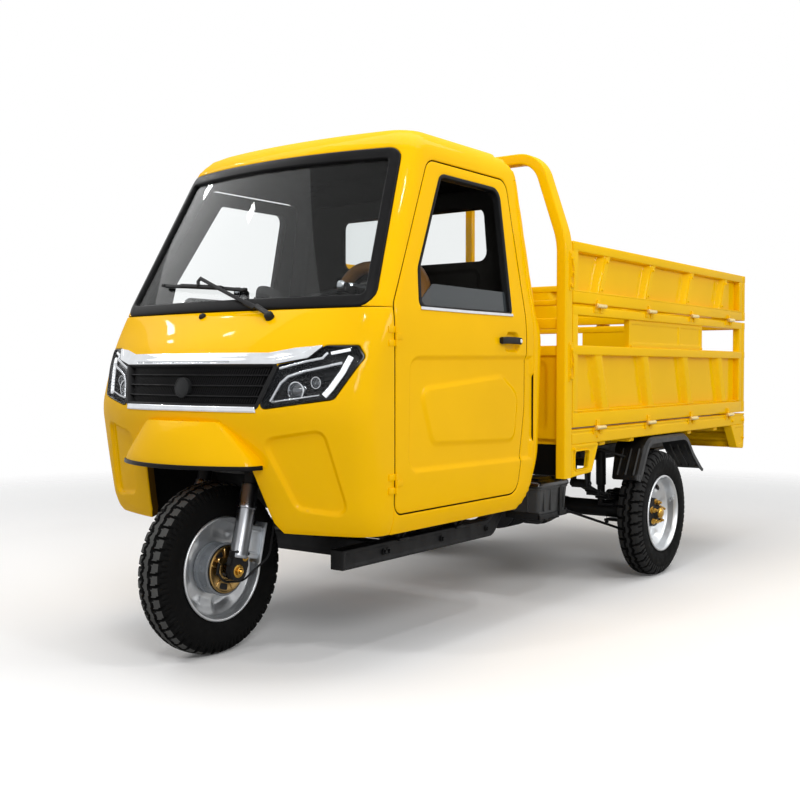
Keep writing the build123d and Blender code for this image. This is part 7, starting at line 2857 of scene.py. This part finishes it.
@dataclass
class Seat:
    """Driver's seat: lidded base, stuffed cushion, and a backrest with a tan roll round its rim."""

    half: float = 296.0
    tilt: float = math.atan2(70, 510)
    roll_half: float = 196.0
    roll_top: float = 500.0
    roll_radius: float = 24.0
    forward: float = 84.0

    def rest(self, points: Array) -> Array:
        """From the backrest's own frame, (across, up its face, behind its face), to the vehicle.

        Args:
            points: points in the backrest's frame.

        Returns:
            Points in the vehicle.
        """
        u, v, d = points[..., 0], points[..., 1], points[..., 2]
        lean, rise = math.sin(self.tilt), math.cos(self.tilt)
        return np.stack([u, 880 - self.forward + v * lean + d * rise, 806 + v * rise - d * lean], -1)

    def arch(self, half: float, foot: float, top: float, radius: float) -> Array:
        """Open arch from one foot to the other, as (across, up) points."""
        loop = rounded([(-half, foot), (-half, top), (half, top), (half, foot)], (0.1, radius, radius, 0.1), 12)
        return resampled(loop[12:-12], 14.0, closed=False)

    def base(self) -> None:
        """Base box with a lid line, feet, a latch and a rail on each side."""
        parts = [block((-self.half, 622, 470), (self.half, 968, 700), 12, 3),
                 block((-self.half - 3, 616, 698), (self.half + 3, 968, 711), 5, 2),
                 block((-self.half + 12, 640, 452), (self.half - 12, 956, 474), 4)]
        parts += [block((x - 90, 617.5, 508), (x + 90, 626, 660), 4) for x in (-160, 160)]
        parts += [block((-30, 610, 676), (30, 620, 702), 4), tube([(-18, 611, 684), (18, 611, 684)], 6.0)]
        piece("seat_base", joined(parts), BLACK_PLASTIC, "vehicle", ["seat"], smooth=40)

    def cushion(self) -> None:
        """Cushion with two sewn channels, and its piping."""
        pad = piece("seat_cushion", block((-236, 560, 716), (236, 838, 790), 34, 6), BLACK_HIDE, "vehicle", smooth=80)
        swollen(pad, 22.0, 712.0)
        rows = [np.array([(x, 520.0, 812.0), (x, 860.0, 812.0)]) for x in (-98.0, 98.0)]
        rows.append(np.array([(-270.0, 640.0, 812.0), (270.0, 640.0, 812.0)]))
        stitched(pad, rows, 9.0, 9.0, Vector((0, 0, 1)))
        loop = rounded([(-239, 556), (239, 556), (239, 842), (-239, 842)], 44, 8)
        path = np.column_stack([loop, np.full(len(loop), 752.0)])
        welt = carried(path, np.broadcast_to([0.0, 0.0, 1.0], path.shape), circle(4.5, 10))
        piece("seat_cushion_piping", welt, PIPING, "vehicle", smooth=60)

    def backrest(self) -> None:
        """Shell, stuffed centre, sewn grey line and the roll round the rim."""
        shell = []
        for depth, inset in ((52, 6), (56, 0), (72, 0), (78, 8), (80, 20)):
            half, top = 202 - inset, 506 - inset
            ring = rounded([(-half, -30), (half, -30), (half, top), (-half, top)],
                           (20, 20, 124 - inset, 124 - inset), 8)
            shell.append(self.rest(np.column_stack([ring, np.full(len(ring), depth)])))
        piece("seat_back_shell", lofted(shell), BLACK_PLASTIC, "vehicle", smooth=40)
        rings = []
        for depth, inset in ((20, 40), (23, 18), (32, 4), (44, 0), (58, 4), (64, 14)):
            half, top = 166 - inset, 470 - inset
            ring = rounded([(-half, 4 + inset), (half, 4 + inset), (half, top), (-half, top)],
                           (34, 34, 92 - inset * 0.5, 92 - inset * 0.5), 8)
            rings.append(self.rest(np.column_stack([ring, np.full(len(ring), depth)])))
        pad = piece("seat_backrest", lofted(rings), BLACK_HIDE, "vehicle", smooth=80)
        line = self.arch(132.0, 40.0, 430.0, 66.0)
        front = self.rest(np.column_stack([line, np.full(len(line), 14.0)]))
        facing = unit(np.array([0.0, -math.cos(self.tilt), math.sin(self.tilt)]))
        swollen(pad, 20.0)
        stitched(pad, [front], 8.0, 12.0, Vector(facing))
        welt = tube(self.rest(np.column_stack([line, np.full(len(line), 15.0)])), 6.0, 10)
        piece("seat_grey_line", welt, PIPING, "vehicle", smooth=60)
        rim = self.arch(self.roll_half, 6.0, self.roll_top, 116.0)
        path = self.rest(np.column_stack([rim, np.full(len(rim), 44.0)]))
        tangent = unit(np.gradient(path, axis=0))
        out = unit(np.cross(tangent, facing))
        t = np.arange(20) * TAU / 20
        swell = 1 + 0.025 * np.sin(np.arange(len(path)) * 1.7)[:, None] * np.cos(2 * t)[None]
        ends = np.clip(np.minimum(np.arange(len(path)), np.arange(len(path))[::-1]) / 1.5, 0.35, 1)[:, None]
        radius = (self.roll_radius * swell * ends)[..., None]
        grid = path[:, None] + radius * (np.cos(t)[None, :, None] * out[:, None] * 1.0
                                         + np.sin(t)[None, :, None] * facing * 1.25)
        roll = piece("seat_roll", lofted(grid), TAN_HIDE, "vehicle", smooth=60)

    def build(self) -> None:
        """Makes the seat's pieces."""
        self.base()
        self.cushion()
        self.backrest()


@dataclass
class Handlebar:
    """Handlebar with its clamp, ribbed grips, switch pods, bright levers and a round instrument."""

    route: tuple = ((-350, 285, 960), (-230, 150, 955), (-90, 32, 872), (90, 32, 872), (230, 150, 955), (350, 285, 960))

    def build(self) -> None:
        """Makes the bar's pieces; all of them turn with the fork."""
        turn = Fork().raked
        bar = tube(bent(self.route, 46.0), 12.0, 20)
        clamp = [block((-45, 12, 852), (45, 52, 871), 5), block((-43, 14, 873), (43, 50, 892), 6)]
        clamp += [bolt((x, y, 892), (0, 0, 1), 10, 7) for x in (-34, 34) for y in (20, 44)]
        piece("handlebar_tube", turn(joined([bar, *clamp])), CHASSIS, "steering", ["handlebar"], smooth=40)
        start, end = np.array(self.route[4], float), np.array(self.route[5], float)
        along = unit(end - start)
        length = float(np.linalg.norm(end - start))
        profile = [(0, 12.2), (0, 21), (4, 21), (6, 17)]
        for x in np.arange(10.0, length * 0.88 - 12, 8.0):
            profile += [(x, 16.8), (x + 1, 15.4), (x + 3, 15.4), (x + 4, 16.8)]
        profile += [(length * 0.88 - 4, 17), (length * 0.88, 14), (length * 0.88, 12.2)]
        grip = cap(profile, start + along * length * 0.12, along, 28)
        pod = block((222, 128, 944), (262, 176, 978), 9, 3)
        piece("handlebar_grips", turn(both_sides(joined([grip, pod]))), SEAL, "steering", smooth=40)
        line = bent([(240, 138, 968), (262, 146, 972), (300, 196, 975), (346, 254, 977)], 12)
        blade = carried(line, np.broadcast_to([0.0, 0.0, 1.0], line.shape),
                        rounded([(-7, -3.2), (7, -3.2), (7, 3.2), (-7, 3.2)], 2.6, 3), closed=False)
        tip = cap([(-6, 0), (-4, 4.5), (0, 6), (4, 4.5), (6, 0)], (349, 258, 977), (0.6, 0.8, 0), 20)
        perch = block((226, 118, 954), (250, 146, 980), 6, 2)
        piece("brake_levers", turn(both_sides(joined([blade, tip, perch]))), LEVER_ALLOY, "steering", smooth=40)
        dial = cap([(-26, 0), (-26, 30), (-20, 44), (0, 50), (8, 50), (10, 47), (10, 44), (4, 43), (4, 0)],
                   (0, 52, 912), (0, 0.35, 1), 48)
        piece("dial_housing", turn(joined([dial, block((-16, 34, 880), (16, 60, 900), 5)])), BLACK_PLASTIC, "steering",
              smooth=40)
        rings = [cap([(5, r), (5, r + 1.2), (5.8, r + 1.2), (5.8, r)], (0, 52, 912), (0, 0.35, 1), 48)
                 for r in (20, 38)]
        piece("dial_rings", turn(joined(rings)), STEEL, "steering", smooth=40)


@dataclass
class CabLining:
    """What is seen inside the cab: dashboard trim, floor mat and rear trim."""

    sill: float = 1306.0

    def dashboard(self) -> None:
        """Lip along the shelf's edge, round vents, a switch row and two tray lids."""
        lips = [tube([(x0, 168, 1046), (x1, 168, 1046)], 6.0, 12) for x0, x1 in ((-530, -54), (54, 530))]
        vents = []
        for x in (-410, 410):
            vents.append(cap([(-2, 30), (-2, 42), (6, 41), (8, 38), (4, 32), (2, 30)], (x, 160, 996),
                             (0, 1, -0.17), 40))
            vents += [block((x - 29, 156, 974 + n * 11), (x + 29, 166, 978 + n * 11), 1.5) for n in range(5)]
        lids = [prism(rounded([(x - 100, 950), (x + 100, 950), (x + 100, 1026), (x - 100, 1026)], 12), "y", 150, 165)
                for x in (-230, 230)]
        keys = [block((x, 160, 1030), (x + 22, 171, 1040), 3) for x in (150, 182, 214, 246, 278)]
        piece("dash_trim", joined([*lips, *vents, *lids, *keys]), BLACK_PLASTIC, "vehicle", smooth=40, bevel=0.8)

    def floor_mat(self) -> None:
        """Ribbed mat that runs round the wheel well."""
        outline = rounded([(-540, 236), (-316, 236), (-316, 376), (316, 376), (316, 236), (540, 236), (540, 614),
                           (-540, 614)], 18)
        ribs = [Press(np.array([(x, 392), (x + 7, 392), (x + 7, 600), (x, 600)]), -2.2, 5.0)
                for x in np.arange(-500.0, 500.0, 62.0)]
        mat = Sheet(outline, lambda u, v, d: np.stack([u, v, 456.0 - d], -1), 3.5, presses=ribs, roll=2.0,
                    pitch=36.0)
        piece("floor_mat", mat.mesh(), TREAD, "vehicle", smooth=50)

    def rear_trim(self) -> None:
        """Moulded trim on the rear wall's inner face, with its own smaller window opening."""
        shell = CabShell()
        window = rounded([(-300, self.sill), (386, self.sill), (372, 1502), (-296, 1502)], 34.0)
        outline = rounded([(-520, 1130), (520, 1130), (452, 1570), (-452, 1570)], 40.0)
        top = self.sill - 34
        panel = Press(rounded([(-340, 1160), (340, 1160), (352, top), (-352, top)], 26), 9.0, 16.0)

        def place(u: Array, z: Array, depth: Array) -> Array:
            """u measured from the back's middle; the trim's face looks forward into the cab."""
            points = CAB.place(shell.back_middle(z) - np.abs(u), z, 46.0 - np.asarray(depth))
            return points * np.stack([np.where(u < 0, -1.0, 1.0), np.ones_like(u), np.ones_like(u)], -1)

        trim = Sheet(resampled(outline, 24.0), place, 16.0, [resampled(window, 20.0)], [panel], roll=8.0)
        piece("rear_trim", trim.mesh(), TRIM_GREY, "vehicle", smooth=60)

    def build(self) -> None:
        """Makes the linings."""
        self.dashboard()
        self.floor_mat()
        self.rear_trim()


# ---------------------------------------------------------------- tail
@dataclass
class Tail:
    """Tail lamps on the skirt."""

    lamp: tuple = ((440, 3078, 520), (560, 3098, 590))

    def build(self) -> None:
        """Makes each lamp's housing and its red, amber and clear windows."""
        low, high = self.lamp
        housing = [block((low[0], low[1], low[2]), (high[0], high[1] - 6, high[2]), 6, 3)]
        housing += [bolt((x, high[1] - 7, 555), (0, 1, 0), 7, 2) for x in (446, 554)]
        piece("tail_lamp_housings", both_sides(joined(housing)), GLOSS_BLACK, "vehicle", ["tail_lamps"], smooth=40)
        red = joined([block((low[0] + 8, high[1] - 14, low[2] + 7), (low[0] + 66, high[1], high[2] - 7), 5, 3)])
        piece("tail_lamp_red", both_sides(red), RED_LENS, "vehicle", smooth=40)
        amber = block((low[0] + 69, high[1] - 14, low[2] + 36), (high[0] - 8, high[1], high[2] - 7), 5, 3)
        piece("tail_lamp_amber", both_sides(amber), AMBER_LENS, "vehicle", smooth=40)
        clear = block((low[0] + 69, high[1] - 14, low[2] + 7), (high[0] - 8, high[1], low[2] + 33), 5, 3)
        piece("tail_lamp_clear", both_sides(clear), PROJECTOR, "vehicle", smooth=40)


ASSEMBLIES: list = [
    CabShell(), Glazing(), Door(Side.LEFT), Door(Side.RIGHT), Headlamps(), Grille(), FrontHood(), Wiper(), Wheels(),
    Fork(), Board(Side.LEFT), Board(Side.RIGHT), Board(Side.TAIL), BedFrame(), Headboard(), ChassisFrame(), RearAxle(),
    LeafSprings(), BatteryPack(), RearMudguards(), Seat(), Handlebar(), CabLining(), Tail(),
]


# ---------------------------------------------------------------- floor, light and camera
@dataclass
class Studio:
    """Pale floor, soft lights and the camera."""

    camera_at: tuple[float, float, float] = (2.4850, -3.80895, 0.9022)
    yaw: float = 36.431
    pitch: float = -1.661
    lens: float = 47.956
    floor_colour: tuple[float, float, float] = (246, 246, 246)
    floor_reach: float = 6.0
    floor_lift: float = 0.04
    floor_bounce: tuple[float, float, float] = (202, 202, 202)

    def floor(self) -> None:
        """Round floor under the object; it fades out to the pale surroundings, and shows the
        camera white where nothing shades it."""
        rings, steps = np.linspace(0.02, 1, 24), 96
        flat = circle(self.floor_reach, steps)[None] * rings[:, None, None]
        points = np.concatenate([flat, np.zeros((*flat.shape[:2], 1))], -1)
        mesh = lofted(points, caps=False)
        data = bpy.data.meshes.new("studio_floor")
        data.from_pydata(mesh[0].tolist(), [], [face[::-1] for face in mesh[1]] + [list(range(steps))])
        floor = bpy.data.objects.new("studio_floor", data)
        bpy.context.scene.collection.objects.link(floor)
        graph = Graph("studio_floor")
        graph.set(Roughness=0.9, Specular_IOR_Level=0.0)
        seen = graph.node("LightPath")
        colour = graph.tint(seen.outputs["Is Camera Ray"], linear(*self.floor_bounce), linear(*self.floor_colour))
        graph.link(colour, graph.shader.inputs["Base Color"])
        level = graph.node("Math", operation="MULTIPLY")
        level.inputs[1].default_value = self.floor_lift
        graph.link(seen.outputs["Is Camera Ray"], level.inputs[0])
        white = graph.node("Emission")
        graph.link(level.outputs[0], white.inputs["Strength"])
        both = graph.node("AddShader")
        graph.link(graph.shader.outputs["BSDF"], both.inputs[0])
        graph.link(white.outputs["Emission"], both.inputs[1])
        away = graph.node("VectorMath", operation="LENGTH")
        graph.link(graph.place, away.inputs[0])
        fade = graph.between(away.outputs["Value"], 0, 1, self.floor_reach * 0.45, self.floor_reach * 0.95)
        clear = graph.node("BsdfTransparent")
        mix = graph.node("MixShader")
        graph.link(fade, mix.inputs["Fac"])
        graph.link(both.outputs["Shader"], mix.inputs[1])
        graph.link(clear.outputs["BSDF"], mix.inputs[2])
        graph.link(mix.outputs["Shader"], graph.tree.nodes["Material Output"].inputs["Surface"])
        data.materials.append(graph.made)

    def lamp(self, name: str, size: tuple[float, float], watts: float, at: Sequence[float],
             to: Sequence[float]) -> None:
        """Rectangular soft light that looks at a point.

        Args:
            name: the lamp's name.
            size: width and height in metres.
            watts: its power.
            at: where it stands.
            to: the point it looks at.
        """
        light = bpy.data.lights.new(name, "AREA")
        light.shape, light.size, light.size_y, light.energy = "RECTANGLE", *size, watts
        item = bpy.data.objects.new(name, light)
        item.location = at
        item.rotation_euler = (Vector(to) - Vector(at)).to_track_quat("-Z", "Y").to_euler()
        bpy.context.scene.collection.objects.link(item)

    def lights(self) -> None:
        """Overhead bank, key from the front left, fill from the right, and a row of small spots
        whose images run along the paint."""
        self.lamp("overhead", (3.4, 4.4), 116, (0.4, 0.4, 4.6), (0, 0, 0.6))
        self.lamp("ceiling", (4.9, 4.4), 85, (-4.38, -2.0, 4.5), (-4.38, -2.0, 0))
        self.lamp("key", (1.6, 1.2), 96, (3.8, -4.2, 3.2), (0, -0.6, 0.8))
        self.lamp("side", (2.4, 0.7), 52, (4.8, 1.6, 2.4), (0, 0.8, 0.8))
        for number, at in enumerate(((0.9, -3.4, 3.6), (-0.3, -3.9, 3.3), (2.6, -1.2, 3.9))):
            self.lamp(f"spot_{number}", (0.28, 0.16), 14, at, (0, -1.2, 0.9))
        for number, at in enumerate(((-3.46, -0.72, 3.31), (-2.54, -1.29, 4.0), (-2.78, -0.54, 3.78),
                                     (-3.37, -1.08, 3.29), (-3.26, -2.71, 4.2))):
            self.lamp(f"bulb_{number}", (0.13, 0.13), 2.2, at, (0, -1.3, 1.1))

    def world(self) -> None:
        """Pale even surroundings."""
        world = bpy.data.worlds.new("studio")
        bpy.context.scene.world = world
        world.use_nodes = True
        tree = world.node_tree
        back = tree.nodes["Background"]
        back.inputs["Color"].default_value = (1, 1, 1, 1)
        back.inputs["Strength"].default_value = 0.3
        path = tree.nodes.new("ShaderNodeLightPath")
        seen = tree.nodes.new("ShaderNodeBackground")
        seen.inputs["Color"].default_value = (1, 1, 1, 1)
        seen.inputs["Strength"].default_value = 1.0
        mix = tree.nodes.new("ShaderNodeMixShader")
        either, any_of = tree.nodes.new("ShaderNodeMath"), tree.nodes.new("ShaderNodeMath")
        either.operation = any_of.operation = "MAXIMUM"
        tree.links.new(path.outputs["Is Camera Ray"], either.inputs[0])
        tree.links.new(path.outputs["Is Transmission Ray"], either.inputs[1])
        tree.links.new(either.outputs[0], any_of.inputs[0])
        tree.links.new(path.outputs["Is Glossy Ray"], any_of.inputs[1])
        tree.links.new(any_of.outputs[0], mix.inputs["Fac"])
        tree.links.new(back.outputs["Background"], mix.inputs[1])
        tree.links.new(seen.outputs["Background"], mix.inputs[2])
        tree.links.new(mix.outputs["Shader"], tree.nodes["World Output"].inputs["Surface"])

    def camera(self) -> None:
        """Camera at the height of the cab's middle, three quarters from the front left."""
        data = bpy.data.cameras.new("camera")
        data.lens, data.sensor_width = self.lens, 36.0
        data.clip_start, data.clip_end = 0.05, 100.0
        item = bpy.data.objects.new("camera", data)
        item.location = self.camera_at
        item.rotation_euler = (math.radians(90 + self.pitch), 0, math.radians(self.yaw))
        bpy.context.scene.collection.objects.link(item)
        bpy.context.scene.camera = item
        bpy.context.scene.view_settings.view_transform = "Standard"

    def build(self) -> None:
        """Sets the whole stage."""
        self.camera()
        self.world()
        self.lights()
        self.floor()


# ---------------------------------------------------------------- frame nodes that stay
NODE_FINISHES = {
    "cab_nose": YELLOW, "cab_sides": YELLOW, "cab_roof": YELLOW, "cab_rear_wall": YELLOW, "front_mudguard": YELLOW,
    "door_left": YELLOW, "door_right": YELLOW, "bed_frame": BED_YELLOW, "headboard": BED_YELLOW,
    "lower_board_left": BED_YELLOW, "lower_board_right": BED_YELLOW, "upper_board_left": BED_YELLOW,
    "upper_board_right": BED_YELLOW, "lower_tailgate": BED_YELLOW, "upper_tailgate": BED_YELLOW,
    "bed_floor": CHASSIS, "cab_floor": CHASSIS, "grille": BLACK_PLASTIC, "wheel_well": WELL_PLASTIC,
    "dashboard": BLACK_PLASTIC, "rear_mudguards": BLACK_PLASTIC, "wiper": BLACK_PLASTIC,
    "door_handle_left": BLACK_PLASTIC, "door_handle_right": BLACK_PLASTIC, "headlamps": GLOSS_BLACK,
    "windshield": TINTED, "rear_window": TINTED, "door_glass_left": DOOR_PANE, "door_glass_right": DOOR_PANE,
    "headlamp_lenses": CLEAR, "tail_lamps": RED_LENS, "windshield_seal": SEAL, "chrome_trim": CHROME,
    "seat": BLACK_HIDE, "chassis_frame": CHASSIS, "steering_head": CHASSIS, "rear_axle": CHASSIS,
    "leaf_springs": CHASSIS, "battery_box": DARK_GREY, "fork": CHASSIS, "handlebar": CHASSIS, "front_rim": SILVER,
    "rear_rim_left": SILVER, "rear_rim_right": SILVER, "front_tyre": TREAD, "rear_tyre_left": TREAD,
    "rear_tyre_right": TREAD,
}


def dress_nodes(nodes: dict[str, bpy.types.Object]) -> None:
    """Gives each frame node its finish.

    Args:
        nodes: the frame's nodes by name.
    """
    for name, item in nodes.items():
        finish = NODE_FINISHES[name]
        item.data.materials.clear()
        item.data.materials.append(finish.material())


def main() -> None:
    """Loads the frame, sets the stage and builds the sub-assemblies in order."""
    logging.basicConfig(level=logging.INFO, format="%(message)s")
    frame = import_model()
    Studio().build()
    dress_nodes(frame["nodes"])
    for assembly in ASSEMBLIES:
        assembly.build()


if __name__ == "__main__":
    main()
